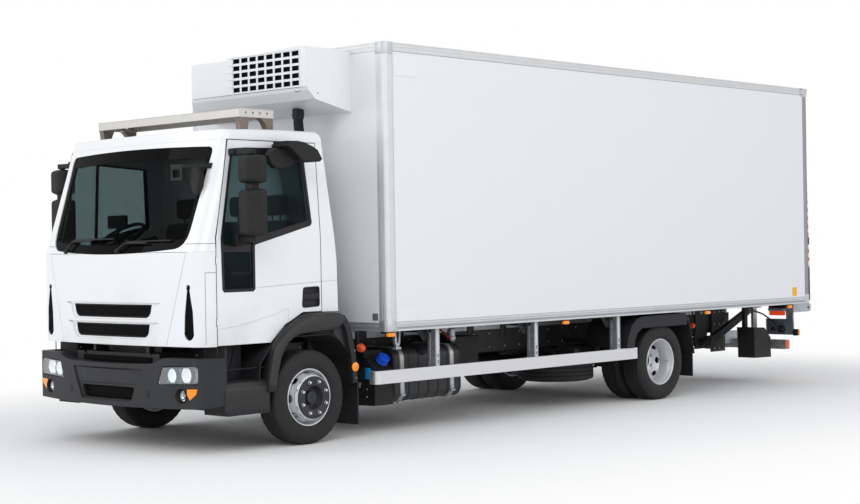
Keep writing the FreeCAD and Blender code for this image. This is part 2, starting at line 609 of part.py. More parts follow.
# The flap hangs from a barrel along its top edge.
FLAP_HINGE = {"y": 7565, "z": 3236, "radius": 9}
flap_barrels = [rod("X", f"{FLAP_HINGE['radius']}", "240", (
    f"{at}", f"{FLAP_HINGE['y']}", f"{FLAP_HINGE['z']}")) for at in (-980, -120, 740)]
name_part(fuse(block(("0 - box_half + 110", "box_half - 110"), ("box_rear + 8", "portal_rear - 8"),
                     ("platform_top + 25", "box_top - 99")), *flap_barrels), "rear_flap")

# ---------------------------------------------------------------- cooling unit

# Rows (along, up) of the unit's side view, and (across, up) of its front view.
UNIT_SIDE = ((255, 2925), (240, 2960), (240, 3300), (750, 3300), (750, 2762), (330, 2855))
UNIT_FRONT = ((-900, 2700), (-900, 3262), (-170, 3262), (850, 3305), (900, 3280), (900, 2700))
UNIT_PLAN = ((-900, 750), (-890, 470), (-640, 240), (862, 240), (889, 251, "arc"), (900, 278),
             (905, 750))
unit = common(common(padded("YZ_Plane", UNIT_SIDE, "-950", "950"),
                     padded("XZ_Plane", UNIT_FRONT, "200", "750")),
              padded("XY_Plane", UNIT_PLAN, "2700", "3320"))
GRILLE = {"low": 2962, "top": 3276, "left": -70, "right": 810, "columns": 8, "rows": 5}
pockets = []
GRILLE_BAR = 22
cell_x = (GRILLE["right"] - GRILLE["left"]) / GRILLE["columns"]
cell_z = (GRILLE["top"] - GRILLE["low"]) / GRILLE["rows"]
for column in range(GRILLE["columns"]):
    for level in range(GRILLE["rows"]):
        x_low = GRILLE["left"] + column * cell_x + GRILLE_BAR / 2
        z_low = GRILLE["low"] + level * cell_z + GRILLE_BAR / 2
        pockets.append(block((f"{x_low:.1f}", f"{x_low + cell_x - GRILLE_BAR:.1f}"),
                             ("200", "285"),
                             (f"{z_low:.1f}", f"{z_low + cell_z - GRILLE_BAR:.1f}")))
name_part(cut(unit, *pockets), "cooling_unit")
# The hose drops from the unit's underside and runs down behind the cab to the frame.
HOSE_SIDE = ((500, 2798), (500, 2700), (520, 2560, "arc"), (560, 2440), (575, 2350), (575, 700),
             (635, 700), (635, 2356), (618, 2462), (580, 2578, "arc"), (560, 2704), (560, 2786))
hose = padded("YZ_Plane", HOSE_SIDE, "430", "490")
name_part(fuse(hose, block(("rail_out + 0.5", "490"), ("575", "635"), ("700", "760"))),
          "unit_conduit")

# ---------------------------------------------------------------- tail lift, lamps, under-run bar

plate_out = 455
name_part(fuse(rod("X", "50", "1230", ("-615", "lift_pivot_y", "lift_pivot_z")),
               block(("rail_out", f"{plate_out}"), ("lift_pivot_y - 110", "lift_pivot_y + 110"),
                     ("390", "rail_top")),
               block((f"-{plate_out}", "0 - rail_out"),
                     ("lift_pivot_y - 110", "lift_pivot_y + 110"), ("390", "rail_top")),
               pair(block(("rail_out", f"{plate_out}"), ("6860", "7130"),
                          ("340", "box_low - 1")))), "lift_frame")
ARM_X = (520, 580)
ARM_HALF = 45
lean = Vector(0, D["hinge_y"] - D["lift_pivot_y"], D["hinge_z"] - D["lift_pivot_z"])
across = Vector(0, -lean.z, lean.y).normalize() * ARM_HALF
corners = ((D["lift_pivot_y"], D["lift_pivot_z"]), (D["hinge_y"], D["hinge_z"]))
arm_outline = [(corners[0][0] + across.y, corners[0][1] + across.z),
               (corners[1][0] + across.y * 0.7, corners[1][1] + across.z * 0.7),
               (corners[1][0] - across.y * 0.7, corners[1][1] - across.z * 0.7),
               (corners[0][0] - across.y, corners[0][1] - across.z)]
arm = cut(fuse(padded("YZ_Plane", arm_outline, f"{ARM_X[0]}", f"{ARM_X[1]}"),
               rod("X", "75", "60", (f"{ARM_X[0]}", "lift_pivot_y", "lift_pivot_z")),
               rod("X", "34", "60", (f"{ARM_X[0]}", "hinge_y", "hinge_z"))),
          rod("X", "50.5", "80", (f"{ARM_X[0] - 10}", "lift_pivot_y", "lift_pivot_z")),
          rod("X", "15.5", "80", (f"{ARM_X[0] - 10}", "hinge_y", "hinge_z")))
name_part(pair(arm), "lift_arms")
PLATFORM = ((7600, 900), (7662, 900), (7662, 1250), (7630, D["platform_top"]),
            (7600, D["platform_top"]))
LUG = ((7588, 902), (7588, 850), (7597, 826, "arc"), (7620, 818), (7643, 826, "arc"),
       (7652, 850), (7652, 902))
lugs = []
for side in (-1, 1):
    for low in (475, 590):
        span = sorted((side * low, side * (low + 36)))
        lugs.append(padded("YZ_Plane", LUG, f"{span[0]}", f"{span[1]}"))
    span = sorted((side * 475, side * 626))
    lugs.append(rod("X", "15", f"{span[1] - span[0]}", (f"{span[0]}", "hinge_y", "hinge_z")))
name_part(fuse(padded("YZ_Plane", PLATFORM, "0 - platform_half", "platform_half"), *lugs),
          "platform")

bar_pieces = [block(("-480", "480"), ("7380", "7460"), ("362", "468"))]
for low in (-415, 375):
    bar_pieces.append(block((f"{low}", f"{low + 40}"), ("7150", "7460"), ("420", "rail_low")))
outer_bar = fuse(block(("620", "1105"), ("7380", "7460"), ("362", "468")),
                 block(("650", "680"), ("7380", "7460"), ("460", "box_low")))
carrier = fuse(block(("747", "1111"), ("7545", "7555"), ("517", "700")),
               block(("1021", "1111"), ("7535", "7555"), ("690", "box_low")))
name_part(pair(block(("770", "1100"), ("7555", "7583"), ("560", "680"))), "rear_lamps")
BUFFER = ((7264, 790), (7592, 790), (7630, 804, "arc"), (7644, 837), (7630, 870, "arc"),
          (7592, 884), (7264, 884))
buffer = padded("YZ_Plane", BUFFER, "1180", "1285")
name_part(fuse(*bar_pieces, pair(outer_bar), pair(carrier), pair(buffer)), "under_run_bar")

# ---------------------------------------------------------------- cab


def cab_volume(inset):
    """Solid of the cab's outer shape, or of its inside when inset by the skin's thickness."""
    half = D["cab_half"] - inset
    bow = inset
    plan = ((-half, 900), (-half, -930), (-half + 52, -1042 + bow, "arc"),
            (-950 + inset, -1078 + bow), (0, -1157 + bow, "arc"), (950 - inset, -1078 + bow),
            (half - 52, -1042 + bow, "arc"), (half, -930), (half, 900))
    wire = Part.Wire([edge.toShape() for edge in outline_edges(
        plan, lambda a, b: Vector(a, b, D["cab_low"] - 100))])
    lower = Part.Face(wire).extrude(Vector(0, 0, D["cab_waist"] - D["cab_low"] + 100))
    top = Part.Wire([edge.toShape() for edge in outline_edges(
        plan, lambda a, b: Vector(a, b, D["cab_waist"]))])
    rise = 1100
    upper = Part.Face(top).extrude(Vector(0, rise * 0.325, rise))
    low = D["cab_low"] - (50 if inset else 0)
    side = ((-1300, low), (-1300, D["cab_roof"] - 30 - inset), (-655, D["cab_roof"] - 30 - inset),
            (-300, D["cab_roof"] - 12 - inset, "arc"), (170 - inset, D["cab_roof"] - inset),
            (222 - inset, D["cab_roof"] - 22 - inset, "arc"),
            (240 - inset, D["cab_roof"] - 75 - inset), (352 - inset, 1500), (365 - inset, low))
    side_wire = Part.Wire([edge.toShape() for edge in outline_edges(
        side, lambda a, b: Vector(-1500, a, b))])
    side_block = Part.Face(side_wire).extrude(Vector(3000, 0, 0))
    brow = D["cab_roof"] - inset
    front = ((-half, low - 10), (-half, 1700), (-half + 48, D["cab_eaves"] - 10),
             (-half + 68, brow - 42, "arc"), (-half + 125, brow - 12), (0, brow + 6, "arc"),
             (half - 125, brow - 12), (half - 68, brow - 42, "arc"),
             (half - 48, D["cab_eaves"] - 10), (half, 1700), (half, low - 10))
    front_wire = Part.Wire([edge.toShape() for edge in outline_edges(
        front, lambda a, b: Vector(a, -1500, b))])
    front_block = Part.Face(front_wire).extrude(Vector(0, 3000, 0))
    return lower.fuse(upper).removeSplitter().common(side_block).common(front_block)


def prism(role, points, low, high):
    """Plain solid of an outline between two stations, for cutting the cab's shell."""
    to_space = {"XY": lambda a, b: Vector(a, b, low), "XZ": lambda a, b: Vector(a, low, b),
                "YZ": lambda a, b: Vector(low, a, b)}[role]
    along = {"XY": Vector(0, 0, 1), "XZ": Vector(0, 1, 0), "YZ": Vector(1, 0, 0)}[role]
    wire = Part.Wire([edge.toShape() for edge in outline_edges(points, to_space)])
    return Part.Face(wire).extrude(along * (high - low))


def brick(x, y, z):
    return Part.makeBox(x[1] - x[0], y[1] - y[0], z[1] - z[0], Vector(x[0], y[0], z[0]))


def feature(label, shape):
    """Sub-part from a solid made in code: its shape is set before its Placement."""
    obj = doc.addObject("Part::Feature", "Panel")
    obj.Shape = shape
    return name_part(obj, label)


GAP = D["shut_gap"]
FAR = 1400
outer = cab_volume(0)
inner = cab_volume(D["cab_skin"])
shell = outer.cut(inner)

# The door's edge, rows (along, up): slanting front edge, wheel arch at the lower rear corner.
DOOR = ((-932, D["cab_low"]), (-932, 1690), (-760, D["cab_eaves"]), (172, D["cab_eaves"]),
        (180, 1075), (-30, 1075), (-215, 985), (-345, 872), (-372, D["cab_low"]))
DOOR_GAP = ((-932 + GAP, D["cab_low"] + GAP), (-932 + GAP, 1690), (-760 + GAP, D["cab_eaves"] - GAP),
            (172 - GAP, D["cab_eaves"] - GAP), (180 - GAP, 1075 + GAP), (-34, 1075 + GAP),
            (-221, 990), (-354, 874), (-378, D["cab_low"] + GAP))
WINDOW = ((-724, 2385), (25, 2340), (75, 1812), (62, 1795), (-530, 1645), (-545, 1630),
          (-545, 1290), (-560, 1275), (-850, 1275), (-862, 1290), (-872, 1690))
INNER_X = D["cab_half"] - D["cab_skin"] - 60
# Each door turns on two short barrels at its front edge.
DOOR_AXIS = (1104.5, -926)
DOOR_BARRELS = (1010, 1490)

windscreen_edge = ((-918, 1760), (-908, 1700), (-880, 1650), (-840, 1622), (-800, 1610),
                   (0, D["cab_waist"] - 10, "arc"), (800, 1610), (840, 1622), (880, 1650),
                   (908, 1700), (918, 1760), (948, 2370), (940, 2400), (912, 2415),
                   (0, 2432, "arc"), (-912, 2415), (-940, 2400), (-948, 2370))
screen_cutter = prism("XZ", windscreen_edge, -1300, -600)
glass_layer = cab_volume(8).cut(cab_volume(16))
feature("cab_glass", glass_layer.common(screen_cutter))

roof_zone = brick((-FAR, FAR), (-FAR, FAR), (D["cab_eaves"], 2700))
rear_zone = brick((-FAR, FAR), (172, FAR), (1075, D["cab_eaves"]))
feature("cab_roof", shell.common(roof_zone))
rear_wall = shell.common(rear_zone).cut(
    prism("YZ", ((172, 1000), (180, 1075), (172, D["cab_eaves"])), -FAR, FAR))

# Shut lines are grooves in the outer skin: rows of thin outlines in the front and side views.
GROOVE = 2
PANEL = ((-698, D["cab_low"]), (-925, D["cab_waist"]), (925, D["cab_waist"]),
         (698, D["cab_low"]))
seam_tools = []
for side in (-1, 1):
    seam_tools.append(prism("XZ", [(side * (x + shift), z) for x, z, shift in (
        (698, D["cab_low"] - 5, -GROOVE), (925, D["cab_waist"], -GROOVE),
        (925, D["cab_waist"], GROOVE), (698, D["cab_low"] - 5, GROOVE))], -1300, -1000))
    seam_tools.append(brick(sorted((side * 890, side * FAR)), (-1300, -926), (1646, 1650)))
    seam_tools.append(brick(sorted((side * 1000, side * FAR)), (-1018, -1014), (866, 1420)))
    seam_tools.append(brick(sorted((side * 1000, side * FAR)), (-1018, -926), (1420, 1424)))
seam_tools.append(brick((-925, 925), (-1300, -1000), (D["cab_waist"] - 2, D["cab_waist"] + 1)))
seams = outer.cut(cab_volume(9)).common(seam_tools[0].multiFuse(seam_tools[1:]))

front_zone = brick((-FAR, FAR), (-FAR, -600), (D["cab_low"], D["cab_eaves"]))
front = shell.common(front_zone).cut(screen_cutter)
for side in (-1, 1):
    doorway = prism("YZ", DOOR, *sorted((side * INNER_X, side * FAR)))
    front = front.cut(doorway)
pillar_zone = brick((-FAR, FAR), (-FAR, -600), (D["cab_waist"], D["cab_eaves"]))
feature("cab_pillars", front.common(pillar_zone).cut(seams))
lower_front = front.cut(pillar_zone)
# Air slots of the front panel: a shallow recess with pointed ends round each opening.
RECESSES = (((-640, 1186), (640, 1186), (560, 1160), (538, 1090, "arc"), (470, 1052),
             (-470, 1052), (-538, 1090, "arc"), (-560, 1160)),
            ((-620, 1030), (620, 1030), (535, 1004), (512, 930, "arc"), (446, 896),
             (-446, 896), (-512, 930, "arc"), (-535, 1004)))
SLOTS = (((-528, 1172), (528, 1172), (518, 1128), (496, 1084, "arc"), (452, 1066),
          (-452, 1066), (-496, 1084, "arc"), (-518, 1128)),
         ((-500, 1016), (500, 1016), (492, 970), (474, 928, "arc"), (430, 910),
          (-430, 910), (-474, 928, "arc"), (-492, 970)))
panel_prism = prism("XZ", PANEL, -1300, -600)
front_panel = lower_front.common(panel_prism).cut(seams)
recess_layer = outer.cut(cab_volume(14))
for recess, slot in zip(RECESSES, SLOTS):
    front_panel = front_panel.cut(recess_layer.common(prism("XZ", recess, -1300, -1000)))
    front_panel = front_panel.cut(prism("XZ", slot, -1300, -1000))
feature("front_panel", front_panel)
corner_panels = lower_front.cut(panel_prism).cut(seams)
# Louvres are tall drops, narrow at the top.
LOUVRE = ((929, 1290), (943, 1330, "arc"), (957, 1290), (990, 1120), (996, 960),
          (948, 897, "arc"), (896, 955), (902, 1090))
for side in (-1, 1):
    outline = [(side * row[0], *row[1:]) for row in LOUVRE]
    corner_panels = corner_panels.cut(prism("XZ", outline, -1300, -1040))
    for low in DOOR_BARRELS:
        corner_panels = corner_panels.cut(Part.makeCylinder(
            12, 60, Vector(side * DOOR_AXIS[0], DOOR_AXIS[1], low - 5)))
feature("corner_panels", corner_panels)
# A fine crease runs back from the side window's lower edge.
CREASE = ((-523, 1292.5), (420, 1333.5), (420, 1336.5), (-523, 1295.5))
crease = outer.cut(cab_volume(4)).common(prism("YZ", CREASE, -FAR, FAR))
grille_layer = cab_volume(D["cab_skin"]).cut(cab_volume(D["cab_skin"] + 12))
feature("front_grille", grille_layer.common(brick((-640, 640), (-1300, -1000),
                                                  (D["cab_low"], 1250))))

# The door's skin steps in by a few millimetres below a rising line.
SWAGE = ((-940, 700), (-940, 977), (-723, 998), (-518, 1036), (-300, 1086), (-190, 1120),
         (-190, 700))
door_layer = shell.common(prism("YZ", DOOR_GAP, INNER_X, FAR))
feature("cab_rear_wall", rear_wall.cut(crease))
door = door_layer.cut(prism("YZ", WINDOW, 900, FAR)).cut(crease).cut(
    outer.cut(cab_volume(5)).common(prism("YZ", SWAGE, 900, FAR)))
for low in DOOR_BARRELS:
    door = door.fuse(Part.makeCylinder(6.5, 50, Vector(*DOOR_AXIS, low)))
door_glass = cab_volume(16).cut(cab_volume(24)).common(prism("YZ", WINDOW, INNER_X, FAR))
HANDLE = ((-28, 1116), (-40, 1134, "arc"), (-40, 1154), (-30, 1262), (-18, 1280, "arc"),
          (2, 1284), (132, 1288), (150, 1280, "arc"), (156, 1262), (156, 1142),
          (150, 1126, "arc"), (132, 1120), (-12, 1112))
door = door.cut(outer.cut(cab_volume(22)).common(prism("YZ", HANDLE, 1000, FAR)))

# Mirror heads: (lowest, highest, corner rounding); plan rows are (across, along).
HEAD_PLAN = ((1180, -652), (1180, -700), (1196, -768, "arc"), (1250, -800), (1320, -800),
             (1372, -768, "arc"), (1388, -700), (1388, -652))
MIRROR_HEADS = ((2118, 2322, 34), (1706, 2062, 34))
MIRROR_NECKS = (((1240, -745, 2055), (1330, -668, 2125)), ((1085, -742, 2338), (1320, -690, 2380)),
                ((1090, -742, 1650), (1310, -690, 1700)), ((1062, -760, 2345), (1130, -680, 2392)),
                ((1095, -765, 1625), (1165, -680, 1712)), ((1262, -735, 2300), (1302, -695, 2360)),
                ((1262, -735, 1680), (1302, -695, 1720)))
# Kerb mirror, rows (along, up): its housing, and the round lens below it.
KERB = ((-362, 2455), (-256, 2458), (-184, 2450), (-98, 2421), (-40, 2392), (9, 2318),
        (-20, 2298), (-101, 2291), (-216, 2306), (-329, 2397), (-362, 2412))
KERB_LENS = ((-490, 2340), (-450, 2386), (-385, 2402), (-290, 2400), (-190, 2318),
             (-216, 2284), (-260, 2260), (-346, 2236), (-410, 2241), (-458, 2275))


def rounded_solid(shape, radius, chosen=lambda edge: True):
    """A solid with the chosen edges rounded."""
    return shape.makeFillet(radius, [edge for edge in shape.Edges if chosen(edge)])


def mirror_pieces():
    """Two mirror heads joined by a neck, on brackets from the door's front edge."""
    shape = None
    for low, high in MIRROR_NECKS:
        piece = rounded_solid(brick(*zip(low, high)), 8)
        shape = piece if shape is None else shape.fuse(piece)
    for low, high, radius in MIRROR_HEADS:
        head = prism("XY", HEAD_PLAN, low, high)
        shape = shape.fuse(rounded_solid(head, radius, lambda edge: (
            edge.BoundBox.ZLength < 1 and edge.BoundBox.YMin < -653)))
    return shape.cut(cab_volume(0)).removeSplitter()


mirror_group = mirror_pieces()
kerb_head = rounded_solid(prism("YZ", KERB, 1140, 1330), 12,
                          lambda edge: edge.BoundBox.XLength < 1)
kerb_lens = rounded_solid(prism("YZ", KERB_LENS, 1170, 1235), 16,
                          lambda edge: edge.BoundBox.XLength < 1)
kerb_mirror = kerb_head.fuse(kerb_lens).fuse(
    brick((1058, 1165), (-300, -190), (2400, 2442))).cut(cab_volume(0)).removeSplitter()
for label, shape in (("door", door), ("door_glass", door_glass), ("mirrors", mirror_group)):
    left = Part.makeCompound([shape, kerb_mirror]) if label == "mirrors" else shape
    feature(f"{label}_left", left)
    feature(f"{label}_right", shape.mirror(Vector(0, 0, 0), Vector(1, 0, 0)))

# Front mirror: an arm from the pillar carries a bracket like a frame and the hanging head.
FRONT_ARM = ((940, -838), (984, -838), (968, -905), (806, -1020), (668, -1020), (668, -985),
             (792, -985), (932, -885))
FRONT_FRAME = ((668, 2150), (812, 2150), (812, 2262), (668, 2262))
FRONT_HOLE = ((690, 2172), (788, 2172), (788, 2234), (690, 2234))
FRONT_HEAD = ((838, 2190), (866, 2252), (930, 2252), (962, 2190), (954, 2100), (922, 2024),
              (898, 2018), (868, 2060), (842, 2130))
front_arm = prism("XY", FRONT_ARM, 2246, 2276)
front_bracket = prism("XZ", FRONT_FRAME, -1018, -986).cut(prism("XZ", FRONT_HOLE, -1030, -970))
front_head = rounded_solid(prism("XZ", FRONT_HEAD, -972, -912), 14,
                           lambda edge: edge.BoundBox.YLength < 1)
front_foot = brick((948, 984), (-870, -800), (2240, 2282))
feature("front_mirror", front_arm.fuse(front_bracket).fuse(front_head).fuse(front_foot).cut(
    cab_volume(0)).removeSplitter())

floor = brick((-1040, 1040), (-375, 300), (1085, 1135))
for side in (-1, 1):
    span = sorted((side * 420, side * 1040))
    floor = floor.fuse(brick(span, (-1040, -375), (885, 930)))
    floor = floor.fuse(brick(span, (-400, -375), (885, 1135)))
    span = sorted((side * 385, side * 425))
    floor = floor.fuse(brick(span, (-1085, -375), (885, 1135)))
floor = floor.fuse(brick((-425, 425), (-1085, -375), (1085, 1135)))
floor = floor.common(cab_volume(D["cab_skin"] + 12.5))
# Eyes under the floor turn on the frame's pins when the cab tilts.
for side in (-1, 1):
    start = 385 if side > 0 else -425
    eye = Part.makeCylinder(TILT["eye"], 40, Vector(start, TILT["y"], TILT["z"]), Vector(1, 0, 0))
    bore = Part.makeCylinder(TILT["pin"] + 0.5, 60, Vector(start - 10, TILT["y"], TILT["z"]),
                             Vector(1, 0, 0))
    floor = floor.fuse(eye).cut(bore)
feature("cab_floor", floor.removeSplitter())

DASH = ((-1085, 1140), (-700, 1140), (-690, 1300), (-730, 1470), (-800, 1560), (-1085, 1560))
dash = prism("YZ", DASH, -1030, 1030).common(cab_volume(D["cab_skin"] + 15))
seats = []
for low, high in ((-830, -330), (-60, 840)):
    seats.append(brick((low, high), (-330, 130), (1135, 1400)).fuse(
        brick((low, high), (50, 190), (1400, 2060))))
feature("seats", Part.makeCompound(seats).common(cab_volume(D["cab_skin"] + 5)))

WHEEL_POINT = Vector(-580, -600, 1720)
WHEEL_TILT = 32
steering_ring = Part.makeTorus(215, 16)
spokes = Part.makeBox(430, 50, 16, Vector(-215, -25, -8))
boss = Part.makeCylinder(60, 40, Vector(0, 0, -20))
wheel_shape = steering_ring.fuse(spokes).fuse(boss)
wheel_shape.Placement = FreeCAD.Placement(WHEEL_POINT, Rotation(Vector(1, 0, 0), WHEEL_TILT))
feature("dashboard", Part.makeCompound([dash, wheel_shape.removeSplitter()]))

BAR = {"half": 955, "front": -551, "rear": -186, "low": 2662, "top": 2729}
# Waisted legs, rows (along, up), in folded plates near each end of the bar.
BAR_LEGS = (((-548, BAR["low"] + 5), (-420, BAR["low"] + 5), (-452, 2600, "arc"), (-456, 2500),
             (-540, 2500), (-536, 2600, "arc")),
            ((-350, BAR["low"] + 5), (-188, BAR["low"] + 5), (-192, 2600, "arc"), (-190, 2500),
             (-262, 2500), (-268, 2600, "arc")))
bar = brick((-BAR["half"], BAR["half"]), (BAR["front"], BAR["rear"]), (BAR["low"], BAR["top"]))
hollow = brick((-BAR["half"] + 8, BAR["half"] - 8), (BAR["front"] + 6, BAR["rear"] - 6),
               (BAR["low"] - 10, BAR["top"] - 6))
bar = bar.cut(hollow)
for side in (-1, 1):
    for leg in BAR_LEGS:
        bar = bar.fuse(prism("YZ", leg, *sorted((side * (BAR["half"] - 60), side * (BAR["half"] - 1)))))
    for along in (-479, -404, -330, -253):
        bar = bar.cut(Part.makeCylinder(9, 30, Vector(side * BAR["half"] - 15, along, 2698),
                                        Vector(1, 0, 0)))
feature("roof_bar", bar.cut(cab_volume(0)).removeSplitter())

# ---------------------------------------------------------------- checking and writing

doc.recompute()
for obj in doc.Objects:
    if {"Invalid", "Error"} & set(obj.State):
        raise RuntimeError(f"{obj.Name} ({obj.Label}) failed: {obj.State}")
os.makedirs("parts", exist_ok=True)
for obj in SUB_PARTS:
    shape = obj.Shape
    if shape.isNull() or not shape.isValid() or not shape.Solids:
        raise RuntimeError(f"{obj.Label} has no valid solid")
    shape.exportStep(f"parts/{obj.Label}.step")
    box = shape.BoundBox
    print(f"{obj.Label:20s} solids {len(shape.Solids):3d}  "
          f"x {box.XMin:8.1f} {box.XMax:8.1f}  y {box.YMin:8.1f} {box.YMax:8.1f}  "
          f"z {box.ZMin:8.1f} {box.ZMax:8.1f}")
print(len(SUB_PARTS), "sub-parts")
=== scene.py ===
"""Refrigerated truck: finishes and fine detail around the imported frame.

Metres, +Z up; the truck faces -Y and the driver's left is +X.  Stations along the truck are
given from the front axle; a Mould moves its piece to the frame's own Y when it is made.
"""

from __future__ import annotations

import functools
import logging
import math
from collections.abc import Iterable, Sequence
from dataclasses import dataclass
from enum import Enum

import bmesh
import bpy
from mathutils import Matrix, Vector

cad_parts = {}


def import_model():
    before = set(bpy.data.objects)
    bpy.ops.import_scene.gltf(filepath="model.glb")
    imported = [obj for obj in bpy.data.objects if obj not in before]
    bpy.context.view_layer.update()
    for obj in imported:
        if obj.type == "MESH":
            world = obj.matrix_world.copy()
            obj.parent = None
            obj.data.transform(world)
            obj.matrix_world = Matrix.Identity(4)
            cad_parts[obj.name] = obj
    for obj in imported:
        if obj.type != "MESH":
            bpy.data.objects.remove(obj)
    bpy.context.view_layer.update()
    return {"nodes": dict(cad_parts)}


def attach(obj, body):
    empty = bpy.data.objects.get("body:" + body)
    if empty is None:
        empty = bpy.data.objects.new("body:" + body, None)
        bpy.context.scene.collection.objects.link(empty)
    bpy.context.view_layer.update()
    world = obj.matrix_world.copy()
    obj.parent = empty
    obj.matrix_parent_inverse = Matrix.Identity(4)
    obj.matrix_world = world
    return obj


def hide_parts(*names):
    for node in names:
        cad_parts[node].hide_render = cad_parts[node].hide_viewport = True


LOG = logging.getLogger("truck")

Point = tuple[float, float, float]
Pair = tuple[float, float]
Colour = tuple[float, float, float]

FRONT_AXLE_Y = -3.230
WHEELBASE = 4.760
HUB_HEIGHT = 0.385
SIDES = (("left", 1.0), ("right", -1.0))
# Distances of the front tyres and of the outer twins from the centre line.
FRONT_TRACK = 1.030
REAR_TRACK = 1.127
# Stations of the fuel tank's two straps.
TANK_STRAPS = (1.2025, 1.8425)


def linear(red: int, green: int, blue: int) -> Colour:
    """Scene-linear colour of a display colour from 0 to 255."""
    def channel(value: int) -> float:
        share = value / 255
        return share / 12.92 if share <= 0.04045 else ((share + 0.055) / 1.055) ** 2.4
    return channel(red), channel(green), channel(blue)


# ------------------------------------------------------------------ shader expressions


class Signal:
    """A shader socket that takes part in Python expressions."""

    def __init__(self, tree: FinishTree, socket: bpy.types.NodeSocket) -> None:
        """Wraps a socket of a finish's tree."""
        self.tree = tree
        self.socket = socket

    def _math(self, operation: str, *others: Signal | float, swap: bool = False) -> Signal:
        """Adds one Math node.

        Args:
            operation: the Math node's operation.
            others: its other operands.
            swap: whether this signal comes second.

        Returns:
            The node's result.
        """
        operands = [self, *others]
        if swap:
            operands.reverse()
        node = self.tree.add("ShaderNodeMath", {"operation": operation},
                             dict(enumerate(operands)))
        return Signal(self.tree, node.outputs[0])

    def __add__(self, other: Signal | float) -> Signal:
        """Sum."""
        return self._math("ADD", other)

    __radd__ = __add__

    def __sub__(self, other: Signal | float) -> Signal:
        """Difference."""
        return self._math("SUBTRACT", other)

    def __rsub__(self, other: Signal | float) -> Signal:
        """Difference from a number."""
        return self._math("SUBTRACT", other, swap=True)

    def __mul__(self, other: Signal | float) -> Signal:
        """Product."""
        return self._math("MULTIPLY", other)

    __rmul__ = __mul__

    def __truediv__(self, other: Signal | float) -> Signal:
        """Quotient."""
        return self._math("DIVIDE", other)

    def __rtruediv__(self, other: Signal | float) -> Signal:
        """Quotient of a number."""
        return self._math("DIVIDE", other, swap=True)

    def __pow__(self, other: float) -> Signal:
        """Power."""
        return self._math("POWER", other)

    def __gt__(self, other: Signal | float) -> Signal:
        """One where this is greater, and zero elsewhere."""
        return self._math("GREATER_THAN", other)

    def __lt__(self, other: Signal | float) -> Signal:
        """One where this is less, and zero elsewhere."""
        return self._math("LESS_THAN", other)

    def __abs__(self) -> Signal:
        """Absolute value."""
        return self._math("ABSOLUTE")

    def least(self, other: Signal | float) -> Signal:
        """The smaller of the two."""
        return self._math("MINIMUM", other)

    def most(self, other: Signal | float) -> Signal:
        """The greater of the two."""
        return self._math("MAXIMUM", other)

    def sine(self) -> Signal:
        """Sine of an angle in radians."""
        return self._math("SINE")

    def ramp(self, low: float, high: float) -> Signal:
        """Smooth rise from 0 at low to 1 at high, or fall where high is the smaller."""
        node = self.tree.add("ShaderNodeMapRange", {"interpolation_type": "SMOOTHSTEP"}, {
            "Value": self, "From Min": min(low, high), "From Max": max(low, high)})
        rise = Signal(self.tree, node.outputs[0])
        return rise if low < high else 1 - rise


